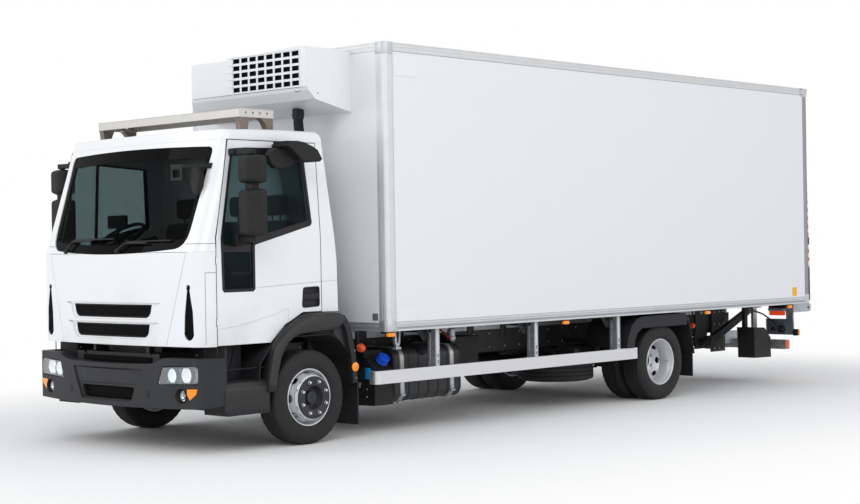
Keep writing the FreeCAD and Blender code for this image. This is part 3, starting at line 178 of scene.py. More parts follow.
class FinishTree:
    """The node tree of one finish."""

    def __init__(self, name: str) -> None:
        """Starts an empty tree in a new material."""
        self.material = bpy.data.materials.new(name)
        self.material.use_nodes = True
        self.material.node_tree.nodes.clear()
        self._axes: tuple[Signal, Signal, Signal] | None = None
        self._place: Signal | None = None

    def add(self, kind: str, settings: dict[str, object] | None = None,
            inputs: dict[str | int, object] | None = None) -> bpy.types.Node:
        """Adds any node.

        Args:
            kind: the node's type.
            settings: properties, set before the sockets.
            inputs: values or signals by socket name or number.

        Returns:
            The new node.
        """
        node = self.material.node_tree.nodes.new(kind)
        for key, value in (settings or {}).items():
            setattr(node, key, value)
        for key, value in (inputs or {}).items():
            socket = node.inputs[key]
            if isinstance(value, Signal):
                self.material.node_tree.links.new(value.socket, socket)
            elif isinstance(value, tuple) and len(value) == 3 and socket.type == "RGBA":
                socket.default_value = (*value, 1.0)
            else:
                socket.default_value = value
        return node

    def place(self) -> Signal:
        """Position on the truck at rest, in metres."""
        if self._place is None:
            self._place = Signal(self, self.add("ShaderNodeTexCoord").outputs["Object"])
        return self._place

    def axes(self) -> tuple[Signal, Signal, Signal]:
        """The three parts of the position."""
        if self._axes is None:
            split = self.add("ShaderNodeSeparateXYZ", inputs={0: self.place()})
            self._axes = tuple(Signal(self, output) for output in split.outputs)
        return self._axes

    def noise(self, scale: float, detail: float = 3.0, stretch: Point = (1, 1, 1),
              roughness: float = 0.55) -> Signal:
        """Cloudy noise from 0 to 1, its scale in cells per metre."""
        mapping = self.add("ShaderNodeMapping", inputs={"Vector": self.place(),
                                                        "Scale": stretch})
        node = self.add("ShaderNodeTexNoise", inputs={
            "Vector": Signal(self, mapping.outputs[0]), "Scale": scale, "Detail": detail,
            "Roughness": roughness})
        return Signal(self, node.outputs[0])

    def seen(self) -> Signal:
        """One for rays from the eye, in a gloss or through glass, and zero for the rest."""
        path = self.add("ShaderNodeLightPath")
        camera, glossy, through = (Signal(self, path.outputs[f"Is {kind} Ray"])
                                   for kind in ("Camera", "Glossy", "Transmission"))
        return camera.most(glossy).most(through)

    def cells(self, scale: float) -> Signal:
        """Random grey per Voronoi cell, its scale in cells per metre."""
        node = self.add("ShaderNodeTexVoronoi", inputs={"Vector": self.place(),
                                                        "Scale": scale})
        split = self.add("ShaderNodeSeparateColor", inputs={
            0: Signal(self, node.outputs["Color"])})
        return Signal(self, split.outputs[0])

    def blend(self, first: Colour | Signal, second: Colour | Signal,
              share: Signal | float) -> Signal:
        """Colour between two others."""
        node = self.add("ShaderNodeMix", {"data_type": "RGBA"}, {
            0: share, 6: first, 7: second})
        return Signal(self, node.outputs[2])

    def bump(self, height: Signal, depth: float, rounding: float = 0.0) -> Signal:
        """Normal of a relief.

        Args:
            height: the relief, from 0 to 1.
            depth: its depth in metres.
            rounding: radius by which sharp edges look rounded, in metres.

        Returns:
            The normal.
        """
        inputs: dict[str | int, object] = {"Height": height, "Distance": depth,
                                           "Strength": 1.0}
        if rounding:
            edge = self.add("ShaderNodeBevel", {"samples": 4}, {"Radius": rounding})
            inputs["Normal"] = Signal(self, edge.outputs[0])
        return Signal(self, self.add("ShaderNodeBump", inputs=inputs).outputs[0])

    def fresnel(self, index: float) -> Signal:
        """Share of the light that a film of this refractive index reflects."""
        return Signal(self, self.add("ShaderNodeFresnel", inputs={"IOR": index}).outputs[0])

    def shader(self, **inputs: object) -> Signal:
        """Principled shader with these sockets, by their names with _ for a space."""
        named = {key.replace("_", " "): value for key, value in inputs.items()}
        return Signal(self, self.add("ShaderNodeBsdfPrincipled", inputs=named).outputs[0])

    def surface(self, **inputs: object) -> bpy.types.Material:
        """Ends the tree in a Principled shader with these sockets."""
        return self.output(self.shader(**inputs))

    def see_through(self, colour: Colour, solid: Signal, share: Signal) -> bpy.types.Material:
        """Ends the tree in a clear film mixed with a solid shader.

        Args:
            colour: what the film lets through.
            solid: the shader that hides what is behind.
            share: how much of the solid shader shows, from 0 to 1.

        Returns:
            The material.
        """
        through = self.add("ShaderNodeBsdfTransparent", inputs={"Color": colour})
        mixed = self.add("ShaderNodeMixShader", inputs={
            0: share, 1: Signal(self, through.outputs[0]), 2: solid})
        return self.output(Signal(self, mixed.outputs[0]))

    def output(self, shader: Signal) -> bpy.types.Material:
        """Ends the tree in its output."""
        self.add("ShaderNodeOutputMaterial", inputs={0: shader})
        return self.material


# ------------------------------------------------------------------ finishes


@dataclass(frozen=True)
class Finish:
    """A finish by name and colour; each kind builds its own node tree."""

    name: str
    colour: Colour = (0.8, 0.8, 0.8)

    def shade(self, factor: float) -> Colour:
        """The colour with its light multiplied."""
        return tuple(factor * part for part in self.colour)

    def build(self) -> bpy.types.Material:
        """Builds the material."""
        raise NotImplementedError

    def material(self) -> bpy.types.Material:
        """The material, built once."""
        return _material_of(self)


@functools.lru_cache(maxsize=None)
def _material_of(finish: Finish) -> bpy.types.Material:
    """Builds a finish's material the first time that it is wanted."""
    return finish.build()


@dataclass(frozen=True)
class GlossPaint(Finish):
    """Sprayed body paint with a faint orange peel and a light road film low down."""

    roughness: float = 0.32
    coat: float = 0.5
    film: float = 0.35
    rounding: float = 0.006

    def build(self) -> bpy.types.Material:
        """Builds the paint."""
        tree = FinishTree(self.name)
        height = tree.axes()[2]
        cloud = tree.noise(2.2, 4)
        film = height.ramp(1.45, 0.75) * cloud.ramp(0.35, 0.75) * self.film
        peel = tree.noise(420, 1)
        tone = tree.blend(self.colour, self.shade(0.93), cloud * 0.35)
        return tree.surface(
            Base_Color=tree.blend(tone, linear(176, 172, 164), film),
            Roughness=self.roughness + film * 0.35 + cloud * 0.04,
            Coat_Weight=self.coat - film * 0.4, Coat_Roughness=0.08,
            Normal=tree.bump(peel, 0.00004, self.rounding))


@dataclass(frozen=True)
class PanelSkin(Finish):
    """Smooth plastic skin of an insulated panel, with a slow wave and faint streaks."""

    def build(self) -> bpy.types.Material:
        """Builds the skin."""
        tree = FinishTree(self.name)
        height = tree.axes()[2]
        streak = tree.noise(5.0, 4, (1, 1, 0.12))
        film = (height.ramp(1.6, 1.0) * 0.4 + 0.1) * streak.ramp(0.45, 0.8) * 0.07
        wave = tree.noise(0.8, 1) * 0.7 + tree.noise(260, 2) * 0.02
        return tree.surface(
            Base_Color=tree.blend(self.colour, linear(168, 168, 166), film),
            Roughness=0.36 + film * 0.5 + tree.noise(3, 2) * 0.05,
            Coat_Weight=0.25, Coat_Roughness=0.12, Normal=tree.bump(wave, 0.004))


class Grain(Enum):
    """Direction in which brushing or extrusion lines run."""

    ACROSS = (0.02, 1.0, 1.0)
    ALONG = (1.0, 0.02, 1.0)
    UP = (1.0, 1.0, 0.02)
    NONE = (1.0, 1.0, 1.0)


@dataclass(frozen=True)
class DrawnMetal(Finish):
    """Extruded or rolled metal with fine lines one way and dull oxide patches."""

    grain: Grain = Grain.ALONG
    roughness: float = 0.38
    metallic: float = 0.85
    rounding: float = 0.003

    def build(self) -> bpy.types.Material:
        """Builds the metal."""
        tree = FinishTree(self.name)
        lines = tree.noise(900, 2, self.grain.value)
        patch = tree.noise(7, 4)
        return tree.surface(
            Base_Color=tree.blend(self.colour, self.shade(0.72),
                                  patch.ramp(0.4, 0.75) * 0.16 + lines * 0.12),
            Metallic=self.metallic - patch * 0.15,
            Roughness=self.roughness + lines * 0.14 + patch * 0.1,
            Normal=tree.bump(lines, 0.00006, self.rounding))


@dataclass(frozen=True)
class Galvanised(Finish):
    """Hot-dipped zinc with its spangle."""

    def build(self) -> bpy.types.Material:
        """Builds the zinc."""
        tree = FinishTree(self.name)
        spangle = tree.cells(70)
        stain = tree.noise(9, 4).ramp(0.5, 0.8)
        return tree.surface(
            Base_Color=tree.blend(tree.blend(self.colour, linear(205, 208, 212),
                                             spangle * 0.6), linear(110, 106, 100),
                                  stain * 0.35),
            Metallic=0.75, Roughness=0.36 + spangle * 0.16 + stain * 0.2,
            Normal=tree.bump(spangle, 0.00008, 0.003))


@dataclass(frozen=True)
class GrainedPlastic(Finish):
    """Moulded plastic with a leather-like grain, greyer where the weather has caught it."""

    roughness: float = 0.52
    grain: float = 0.00018
    fade: float = 0.35
    rounding: float = 0.006
    gloss: float = 0.32

    def build(self) -> bpy.types.Material:
        """Builds the plastic."""
        tree = FinishTree(self.name)
        grain = tree.noise(1100, 2)
        cloud = tree.noise(3.5, 4)
        faded = tuple(part * 1.6 + 0.004 for part in self.colour)
        return tree.surface(
            Base_Color=tree.blend(self.colour, faded, cloud.ramp(0.35, 0.7) * self.fade),
            Roughness=self.roughness + cloud * 0.12, Specular_IOR_Level=self.gloss,
            Normal=tree.bump(grain, self.grain, self.rounding))


@dataclass(frozen=True)
class ThinPlastic(GrainedPlastic):
    """Plastic of parts that are too thin to have rounded edges."""

    fade: float = 0.1
    rounding: float = 0.0


@dataclass(frozen=True)
class ChassisPaint(Finish):
    """Satin black frame paint under a thin coat of road dust."""

    dust: float = 0.3

    def build(self) -> bpy.types.Material:
        """Builds the paint."""
        tree = FinishTree(self.name)
        cloud = tree.noise(6, 5, roughness=0.65)
        dust = cloud.ramp(0.42, 0.78) * self.dust
        return tree.surface(
            Base_Color=tree.blend(self.colour, linear(104, 98, 90), dust),
            Roughness=0.44 + dust * 0.6 + tree.noise(60, 2) * 0.08,
            Normal=tree.bump(tree.noise(180, 3), 0.00015, 0.003))


@dataclass(frozen=True)
class TyreRubber(Finish):
    """Tyre rubber with cloudy patches of brownish dust."""

    def build(self) -> bpy.types.Material:
        """Builds the rubber."""
        tree = FinishTree(self.name)
        cloud = tree.noise(14, 4)
        fine = tree.noise(700, 2)
        return tree.surface(
            Base_Color=tree.blend(self.colour, linear(64, 60, 56), cloud.ramp(0.45, 0.8) * 0.22),
            Roughness=0.66 + cloud * 0.18, Normal=tree.bump(fine, 0.00012))


@dataclass(frozen=True)
class Chequer(Finish):
    """Tread plate of raised lozenges, or a non-slip coat where the size is small."""

    pitch: float = 0.032

    def build(self) -> bpy.types.Material:
        """Builds the plate."""
        tree = FinishTree(self.name)
        across, along, up = tree.axes()
        slant = (across + along + up) * (math.pi / self.pitch)
        other = (across - along - up) * (math.pi / self.pitch)
        lozenge = (slant.sine() * other.sine()).ramp(0.35, 0.6)
        wear = tree.noise(12, 4)
        return tree.surface(
            Base_Color=tree.blend(self.colour, linear(205, 206, 208), lozenge * wear * 0.8),
            Metallic=0.7, Roughness=0.5 - lozenge * 0.15 + wear * 0.1,
            Normal=tree.bump(lozenge, 0.0012, 0.003))


@dataclass(frozen=True)
class Glazing(Finish):
    """Tinted safety glass that light passes through."""

    tint: float = 0.55
    roughness: float = 0.02
    index: float = 1.5

    def build(self) -> bpy.types.Material:
        """Builds the glass as tinted see-through mixed with gloss."""
        tree = FinishTree(self.name)
        gloss = tree.shader(Base_Color=(0.004, 0.006, 0.006), Roughness=self.roughness,
                            Specular_IOR_Level=0.5)
        smear = tree.noise(4, 3).ramp(0.5, 0.9) * 0.05
        share = tree.fresnel(self.index) * 0.8 + smear + (1 - self.tint)
        return tree.see_through(self.colour, gloss, share)


@dataclass(frozen=True)
class Windshield(Glazing):
    """Laminated glass with a black ceramic border, deeper along its top."""

    # Half width of the glass at one height, and what each metre above that adds to it.
    half: float = 0.918
    half_height: float = 1.76
    half_rise: float = 0.049
    # Height of each edge on the centre line, and how it changes with the width squared.
    foot: Pair = (1.578, 0.05)
    head: Pair = (2.432, 0.02)
    # Width of the border at the sides, the foot and the head.
    border: Point = (0.05, 0.075, 0.1)

    def build(self) -> bpy.types.Material:
        """Builds the glass and paints the border by its distance from the edge."""
        tree = FinishTree(self.name)
        across, _, up = tree.axes()
        half = self.half + (up - self.half_height) * self.half_rise
        side = (half - abs(across)) / self.border[0]
        span = across * across
        foot = (up - self.foot[0] - span * self.foot[1]) / self.border[1]
        head = (self.head[0] - span * self.head[1] - up) / self.border[2]
        border = side.least(foot).least(head).ramp(1.0, 0.94)
        gloss = tree.shader(Base_Color=(0.002, 0.002, 0.002), Roughness=self.roughness,
                            Specular_IOR_Level=0.03,
                            Normal=tree.bump(tree.noise(1.2, 1), 0.002))
        film = tree.fresnel(self.index) * 0.8 + (1 - self.tint)
        return tree.see_through(self.colour, gloss, film * (1 - border) + border)


@dataclass(frozen=True)
class StrappedTank(GrainedPlastic):
    """Black tank whose two steel straps are bright."""

    straps: Pair = TANK_STRAPS
    strap_half: float = 0.024

    def build(self) -> bpy.types.Material:
        """Builds the tank and picks its straps out by their station."""
        tree = FinishTree(self.name)
        along = tree.axes()[1] - FRONT_AXLE_Y
        first, second = (abs(along - strap) < self.strap_half for strap in self.straps)
        strap = (first + second).least(1.0)
        cloud = tree.noise(5, 4)
        return tree.surface(
            Base_Color=tree.blend(tree.blend(self.colour, linear(70, 70, 72), cloud * 0.3),
                                  linear(190, 191, 193), strap),
            Metallic=strap * 0.8, Roughness=self.roughness - strap * 0.08 + cloud * 0.1,
            Normal=tree.bump(tree.noise(300, 2), 0.00008, self.rounding))


@dataclass(frozen=True)
class GuardFinish(DrawnMetal):
    """Pale anodised rail on galvanised posts."""

    # Distance from the centre line at which the posts end and the rail begins.
    post_face: float = 1.2235

    def build(self) -> bpy.types.Material:
        """Builds both metals and parts them by their distance from the centre line."""
        tree = FinishTree(self.name)
        across = tree.axes()[0]
        post = abs(across) < self.post_face
        spangle = tree.cells(70)
        lines = tree.noise(900, 2, self.grain.value)
        zinc = tree.blend(linear(150, 154, 158), linear(196, 199, 202), spangle * 0.6)
        return tree.surface(
            Base_Color=tree.blend(self.colour, zinc, post),
            Metallic=self.metallic + post * (0.75 - self.metallic),
            Roughness=self.roughness + lines * 0.1 + post * spangle * 0.12,
            Normal=tree.bump(lines, 0.00005, self.rounding))


@dataclass(frozen=True)
class BarPaint(DrawnMetal):
    """Pale plate on legs that are browner and darker."""

    # Heights between which the plate gives way to its legs.
    leg_edge: Pair = (2.664, 2.656)

    def build(self) -> bpy.types.Material:
        """Builds the plate and darkens it below its lower edge."""
        tree = FinishTree(self.name)
        up = tree.axes()[2]
        leg = up.ramp(*self.leg_edge)
        cloud = tree.noise(18, 4)
        return tree.surface(
            Base_Color=tree.blend(tree.blend(self.colour, linear(178, 175, 170), cloud * 0.4),
                                  tree.blend(linear(136, 124, 114), linear(96, 88, 82), cloud),
                                  leg),
            Metallic=0.45, Roughness=self.roughness + cloud * 0.15,
            Normal=tree.bump(tree.noise(260, 2), 0.00006, self.rounding))


@dataclass(frozen=True)
class LampLens(Finish):
    """Moulded lamp cover with fine ribs, clear or coloured."""

    ribs: float = 0.006
    clear: float = 0.0
    glow: float = 0.12

    def build(self) -> bpy.types.Material:
        """Builds the lens; a clear one lets most of what is behind it show."""
        tree = FinishTree(self.name)
        across, along, up = tree.axes()
        ribs = ((across + along) * (2 * math.pi / self.ribs)).sine() * 0.5 + 0.5
        rows = (up * (2 * math.pi / (self.ribs * 1.4))).sine() * 0.5 + 0.5
        solid = tree.shader(
            Base_Color=tree.blend(self.colour, self.shade(0.55), ribs * rows),
            Roughness=0.14 + ribs * 0.1, Coat_Weight=0.3, Coat_Roughness=0.03,
            Emission_Color=self.colour, Emission_Strength=self.glow,
            Normal=tree.bump(ribs * 0.6 + rows * 0.4, 0.0006))
        if not self.clear:
            return tree.output(solid)
        # Schlick's curve, because the Fresnel node turns a sheet's inner face opaque.
        grazing = Signal(tree, tree.add("ShaderNodeLayerWeight").outputs["Facing"])
        squared = grazing * grazing
        facing = squared * squared * grazing + 0.04
        return tree.see_through((0.93, 0.95, 0.96), solid,
                                facing * 0.9 + ribs * 0.05 + (1 - self.clear))


@dataclass(frozen=True)
class Bright(Finish):
    """Chromed or vacuum-plated surface."""

    roughness: float = 0.08

    def build(self) -> bpy.types.Material:
        """Builds the plating."""
        tree = FinishTree(self.name)
        haze = tree.noise(30, 3)
        return tree.surface(
            Base_Color=tree.blend(self.colour, self.shade(0.85), haze),
            Metallic=1.0, Roughness=self.roughness + haze * 0.06,
            Normal=tree.bump(tree.noise(200, 1), 0.00002))


@dataclass(frozen=True)
class WovenMesh(Finish):
    """Black diagonal mesh whose holes are painted near-black, as painted shade behind it."""

    pitch: float = 0.016

    def build(self) -> bpy.types.Material:
        """Builds the mesh as strands with painted shade in the cells between them."""
        tree = FinishTree(self.name)
        across, _, up = tree.axes()
        turn = math.pi / self.pitch
        first = abs(((across + up) * turn).sine())
        second = abs(((across - up) * turn).sine())
        hole_shade = first.ramp(0.3, 0.5) * second.ramp(0.3, 0.5)
        strand = 1 - hole_shade
        # The cells take a near-black colour: painted shade seen through the holes
        return tree.surface(
            Base_Color=tree.blend((0.0012, 0.0012, 0.0012), self.colour, strand),
            Roughness=0.8 - strand * 0.15, Specular_IOR_Level=0.08,
            Normal=tree.bump(strand, 0.004))


@dataclass(frozen=True)
class SeatCloth(Finish):
    """Woven seat cloth with a small repeating dot."""

    thread: float = 0.0022
    dots: float = 0.022

    def build(self) -> bpy.types.Material:
        """Builds the cloth."""
        tree = FinishTree(self.name)
        across, along, up = tree.axes()
        weave, dot = ((across * (math.pi / pitch)).sine()
                      * ((along + up) * (math.pi / pitch)).sine()
                      for pitch in (self.thread, self.dots))
        dot = dot.ramp(0.8, 0.95)
        return tree.surface(
            Base_Color=tree.blend(tree.blend(self.colour, linear(52, 56, 66), dot),
                                  (0.004, 0.004, 0.005), abs(weave) * 0.4),
            Roughness=0.86 - dot * 0.1, Sheen_Weight=0.25, Sheen_Roughness=0.5,
            Normal=tree.bump(weave * 0.5 + 0.5, 0.0005))


@dataclass(frozen=True)
class HazardFoil(Finish):
    """Reflective foil in slanting bars of two colours."""

    second: Colour = (0.85, 0.85, 0.85)
    bar: float = 0.09
    lean: float = 1.0

    def build(self) -> bpy.types.Material:
        """Builds the foil; with no lean its bars lie level."""
        tree = FinishTree(self.name)
        across, along, up = tree.axes()
        turn = math.pi / self.bar
        slant = (((across + along) * (self.lean * turn) + up * turn).sine()) > 0.0
        comb = tree.cells(240)
        return tree.surface(
            Base_Color=tree.blend(tree.blend(self.colour, self.second, slant), (0.5, 0.5, 0.5),
                                  comb * 0.12),
            Roughness=0.3 + comb * 0.12, Coat_Weight=0.6, Normal=tree.bump(comb, 0.0001))


CAB_WHITE = GlossPaint("cab_white_paint", linear(236, 238, 240))
UNIT_WHITE = GlossPaint("unit_white_shell", linear(234, 236, 238), roughness=0.38, coat=0.25,
                        film=0.1)
BOX_WHITE = PanelSkin("box_panel_skin", linear(230, 232, 236))
RAIL_ALUMINIUM = DrawnMetal("rail_aluminium_along", linear(214, 215, 217), Grain.ALONG)
CROSS_ALUMINIUM = DrawnMetal("rail_aluminium_across", linear(206, 208, 210), Grain.ACROSS)
BAR_PLATE = BarPaint("roof_bar_plate", linear(206, 204, 200), Grain.ACROSS, 0.36)
GUARD_WHITE = GuardFinish("guard_rail_anodised", linear(216, 216, 218), Grain.ALONG, 0.4, 0.35)
CAST_GREY = Galvanised("cast_corner_grey", linear(192, 194, 198))
ZINC = Galvanised("galvanised_steel", linear(158, 163, 168))
BLACK_TRIM = GrainedPlastic("black_trim", linear(29, 30, 33))
BUMPER_BLACK = GrainedPlastic("bumper_black", linear(37, 38, 41), roughness=0.5)
MIRROR_BLACK = GrainedPlastic("mirror_black", linear(20, 20, 21), roughness=0.56)
HUB_GREY = GrainedPlastic("hub_cover_grey", linear(46, 47, 51), roughness=0.42, fade=0.15,
                          rounding=0.003)
WING_BLACK = ThinPlastic("wing_black", linear(22, 23, 25), roughness=0.42, fade=0.2, gloss=0.5)
TANK_PLAIN = GrainedPlastic("moulded_black", linear(24, 25, 27), roughness=0.5, fade=0.25)
TANK_BLACK = StrappedTank("tank_black", linear(24, 25, 27), roughness=0.42, fade=0.2)
# Inside the cab the greys are darkened to paint the shade that falls there
SHADED_CABIN_DARK = GrainedPlastic("cabin_dark_painted_shade", linear(18, 19, 21), roughness=0.66)
SHADED_CABIN_GREY = GrainedPlastic("cabin_grey_painted_shade", linear(38, 39, 42), roughness=0.7, fade=0.15)
GLOSS_TRIM = GrainedPlastic("window_trim", linear(22, 22, 24), roughness=0.3, fade=0.1,
                            rounding=0.002)
FRAME_BLACK = ChassisPaint("frame_black", linear(22, 23, 25), dust=0.16)
LIFT_BLACK = ChassisPaint("lift_black", linear(28, 29, 32), dust=0.12)
RUBBER = TyreRubber("tyre_rubber", linear(19, 20, 22))
HOSE = ThinPlastic("hose_rubber", linear(24, 24, 26), roughness=0.6, fade=0.2)
RIM_SILVER = DrawnMetal("rim_silver_paint", linear(216, 217, 221), Grain.NONE, 0.30, 0.55)
FLOOR_PLATE = Chequer("load_floor_plate", linear(140, 142, 145))
GRIP_PLATE = Chequer("platform_grip", linear(150, 152, 155), pitch=0.05)
WINDOW = Glazing("side_glass", (0.68, 0.84, 0.85), tint=0.97)
SCREEN = Windshield("screen_glass", (0.99, 1.0, 1.0), tint=0.985)
CLEAR_LENS = LampLens("clear_lens", linear(246, 249, 251), clear=0.93, glow=0.12)
AMBER_LENS = LampLens("amber_lens", linear(255, 146, 0), glow=0.14)
BOWL_WHITE = LampLens("bowl_white", linear(246, 248, 250), glow=0.42)
LAMP_PANEL = ThinPlastic("lamp_panel", linear(172, 176, 182), roughness=0.35)
ORANGE_LENS = LampLens("orange_lens", linear(222, 78, 28), glow=0.12)
STRIP_LENS = LampLens("strip_lens", linear(236, 72, 24), glow=0.5)
RED_LENS = LampLens("red_lens", linear(196, 18, 16), glow=0.15)
BLUE_CAP = GrainedPlastic("blue_cap", linear(24, 84, 224), roughness=0.4, fade=0.1)
BLUE_TAG = GrainedPlastic("blue_tag", linear(30, 156, 246), roughness=0.4, fade=0.1)
YELLOW_TAG = GrainedPlastic("yellow_tag", linear(236, 176, 24), roughness=0.4, fade=0.1)
CHROME = Bright("bright_plating", linear(232, 234, 238))
MIRROR_GLASS = Bright("mirror_glass", linear(200, 206, 210), roughness=0.02)
NUT_STEEL = Bright("nut_steel", linear(214, 216, 218), roughness=0.16)
# Strands darkened to match the slots' shade, holes painted near-black: painted shade of the slots
# and the bumper's grille
MESH = WovenMesh("grille_mesh", linear(13, 13, 14))
# Seat cloth darkened too, as painted shade inside the cab
CLOTH = SeatCloth("seat_cloth", linear(20, 22, 27))
RED_WHITE = HazardFoil("edge_foil", linear(206, 26, 44), linear(236, 236, 238), bar=0.047,
                       lean=0.0)
PORTAL_STEEL = DrawnMetal("portal_steel", linear(158, 158, 162), Grain.UP, 0.4, 0.6)
SEALANT = ThinPlastic("panel_sealant", linear(150, 152, 156), roughness=0.5)
# Dark joint lines, and painted shade of the side guards' slots
SEAM_AND_SLOT_SHADE = ThinPlastic("dark_seam_and_slot_shade", linear(58, 60, 64), roughness=0.6)
# Near-black and hardly glossy: painted shade of the louvres, their liners and the grille's
# openings
SLOT_SHADE_BLACK = ThinPlastic("slot_painted_shade", linear(9, 9, 10), roughness=0.75, fade=0.0, gloss=0.08)
LOW_RAIL = DrawnMetal("low_rail_lines", linear(158, 162, 170), Grain.ALONG, 0.42, 0.5)
PLATE_GREY = ThinPlastic("plate_grey", linear(96, 106, 114), roughness=0.5)
PINK_TAG = ThinPlastic("pink_tag", linear(236, 226, 240), roughness=0.45, fade=0.05)
LINE_RED = ThinPlastic("air_line_red", linear(128, 26, 22), roughness=0.5)


# ------------------------------------------------------------------ shaping


class Axis(Enum):
    """A direction that a shape is drawn along, with the two that its outline uses."""

    X = 0
    Y = 1
    Z = 2

    def lift(self, first: float, second: float, along: float) -> Point:
        """Point of an outline's two coordinates and a distance along this axis."""
        if self is Axis.X:
            return along, first, second
        if self is Axis.Y:
            return first, along, second
        return first, second, along


class Mould:
    """Gathers the faces of one piece."""

    def __init__(self) -> None:
        """Starts empty."""
        self.mesh = bmesh.new()

    def _soften(self, faces: Iterable[bmesh.types.BMFace], bevel: float, cuts: int) -> None:
        """Rounds all edges of some faces."""
        if bevel <= 0:
            return
        edges = list({edge for face in faces for edge in face.edges})
        bmesh.ops.bevel(self.mesh, geom=edges, offset=bevel, segments=cuts, profile=0.5,
                        affect="EDGES", clamp_overlap=True)

    def hull(self, corners: Sequence[Point], faces: Sequence[Sequence[int]],
             bevel: float = 0.0, cuts: int = 2) -> Mould:
        """Adds faces between corners and rounds their edges."""
        verts = [self.mesh.verts.new(corner) for corner in corners]
        self._soften([self.mesh.faces.new([verts[i] for i in face]) for face in faces],
                     bevel, cuts)
        return self

    def slab(self, low: Point, high: Point, bevel: float = 0.0, cuts: int = 2) -> Mould:
        """Adds a box between two corners."""
        low, high = tuple(map(min, low, high)), tuple(map(max, low, high))
        corners = [(x, y, z) for x in (low[0], high[0]) for y in (low[1], high[1])
                   for z in (low[2], high[2])]
        faces = ((0, 1, 3, 2), (4, 6, 7, 5), (0, 4, 5, 1), (2, 3, 7, 6), (0, 2, 6, 4),
                 (1, 5, 7, 3))
        return self.hull(corners, faces, bevel, cuts)

    def prism(self, outline: Sequence[Pair], axis: Axis, low: float, high: float,
              bevel: float = 0.0, cuts: int = 2) -> Mould:
        """Adds an outline drawn out between two distances along an axis."""
        count = len(outline)
        corners = [axis.lift(a, b, side) for side in (low, high) for a, b in outline]
        faces = [tuple(range(count))[::-1], tuple(range(count, 2 * count))]
        faces += [(i, (i + 1) % count, count + (i + 1) % count, count + i)
                  for i in range(count)]
        return self.hull(corners, faces, bevel, cuts)

    def lathe(self, profile: Sequence[Pair], centre: Point, axis: Axis = Axis.X,
              segments: int = 48, sign: float = 1.0) -> Mould:
        """Adds a turned surface.

        Args:
            profile: rows of distance along the axis and radius.
            centre: where both are measured from.
            axis: the axis of turning.
            segments: faces round it.
            sign: -1 turns the profile the other way along the axis.

        Returns:
            The mould.
        """
        rings = []
        for along, radius in profile:
            ring = []
            for step in range(segments if radius > 1e-6 else 1):
                turn = 2 * math.pi * step / segments
                local = axis.lift(radius * math.cos(turn), radius * math.sin(turn),
                                  along * sign)
                ring.append(self.mesh.verts.new(Vector(centre) + Vector(local)))
            rings.append(ring)
        for near, far in zip(rings, rings[1:]):
            for step in range(segments):
                after = (step + 1) % segments
                if len(near) == 1 and len(far) == 1:
                    continue
                if len(near) == 1:
                    self.mesh.faces.new((near[0], far[step], far[after]))
                elif len(far) == 1:
                    self.mesh.faces.new((near[step], far[0], near[after]))
                else:
                    self.mesh.faces.new((near[step], far[step], far[after], near[after]))
        return self

    def rod(self, start: Point, end: Point, radius: float, segments: int = 20,
            chamfer: float = 0.0) -> Mould:
        """Adds a closed round bar between two points."""
        run = Vector(end) - Vector(start)
        length = run.length
        profile = [(0, 0), (0, radius - chamfer), (chamfer, radius), (length - chamfer, radius),
                   (length, radius - chamfer), (length, 0)]
        if not chamfer:
            profile = [(0, 0), (0, radius), (length, radius), (length, 0)]
        before = set(self.mesh.verts)
        self.lathe(profile, (0, 0, 0), Axis.Z, segments)
        new = [vert for vert in self.mesh.verts if vert not in before]
        turn = run.to_track_quat("Z", "Y").to_matrix().to_4x4()
        bmesh.ops.transform(self.mesh, matrix=Matrix.Translation(Vector(start)) @ turn,
                            verts=new)
        return self

    def tube(self, path: Sequence[Point], radius: float, segments: int = 10) -> Mould:
        """Adds a round tube along a path, closed at its ends."""
        points = [Vector(point) for point in path]
        rings = []
        side = Vector((0.3, 0.5, 0.81)).cross(points[1] - points[0]).normalized()
        for index, point in enumerate(points):
            ahead = points[min(index + 1, len(points) - 1)] - points[max(index - 1, 0)]
            ahead.normalize()
            side = (side - ahead * side.dot(ahead)).normalized()
            other = ahead.cross(side)
            rings.append([self.mesh.verts.new(
                point + radius * (math.cos(2 * math.pi * k / segments) * side
                                  + math.sin(2 * math.pi * k / segments) * other))
                for k in range(segments)])
        for near, far in zip(rings, rings[1:]):
            for k in range(segments):
                after = (k + 1) % segments
                self.mesh.faces.new((near[k], near[after], far[after], far[k]))
        self.mesh.faces.new(rings[0][::-1])
        self.mesh.faces.new(rings[-1])
        return self

    def patch(self, rows: Sequence[Sequence[Point]]) -> Mould:
        """Adds a surface through rows of points."""
        grid = [[self.mesh.verts.new(point) for point in row] for row in rows]
        for near, far in zip(grid, grid[1:]):
            for a, b, c, d in zip(near, near[1:], far[1:], far):
                self.mesh.faces.new((a, b, c, d))
        return self

    def cup(self, rings: Sequence[Sequence[Point]]) -> Mould:
        """Adds walls between closed rings of points, and a floor over the last one."""
        rows = [[self.mesh.verts.new(point) for point in ring] for ring in rings]
        for near, far in zip(rows, rows[1:]):
            for k in range(len(near)):
                after = (k + 1) % len(near)
                self.mesh.faces.new((near[k], near[after], far[after], far[k]))
        self.mesh.faces.new(rows[-1])
        return self

    def frame(self, outer: Sequence[Point], inner: Sequence[Point]) -> Mould:
        """Adds a flat ring between two outlines of as many points."""
        rings = [[self.mesh.verts.new(point) for point in ring] for ring in (outer, inner)]
        for k in range(len(outer)):
            after = (k + 1) % len(outer)
            self.mesh.faces.new((rings[0][k], rings[0][after], rings[1][after], rings[1][k]))
        return self

    def frames(self, *rings: Sequence[Point]) -> Mould:
        """Adds a flat ring between each outline and the next."""
        for outer, inner in zip(rings, rings[1:]):
            self.frame(outer, inner)
        return self

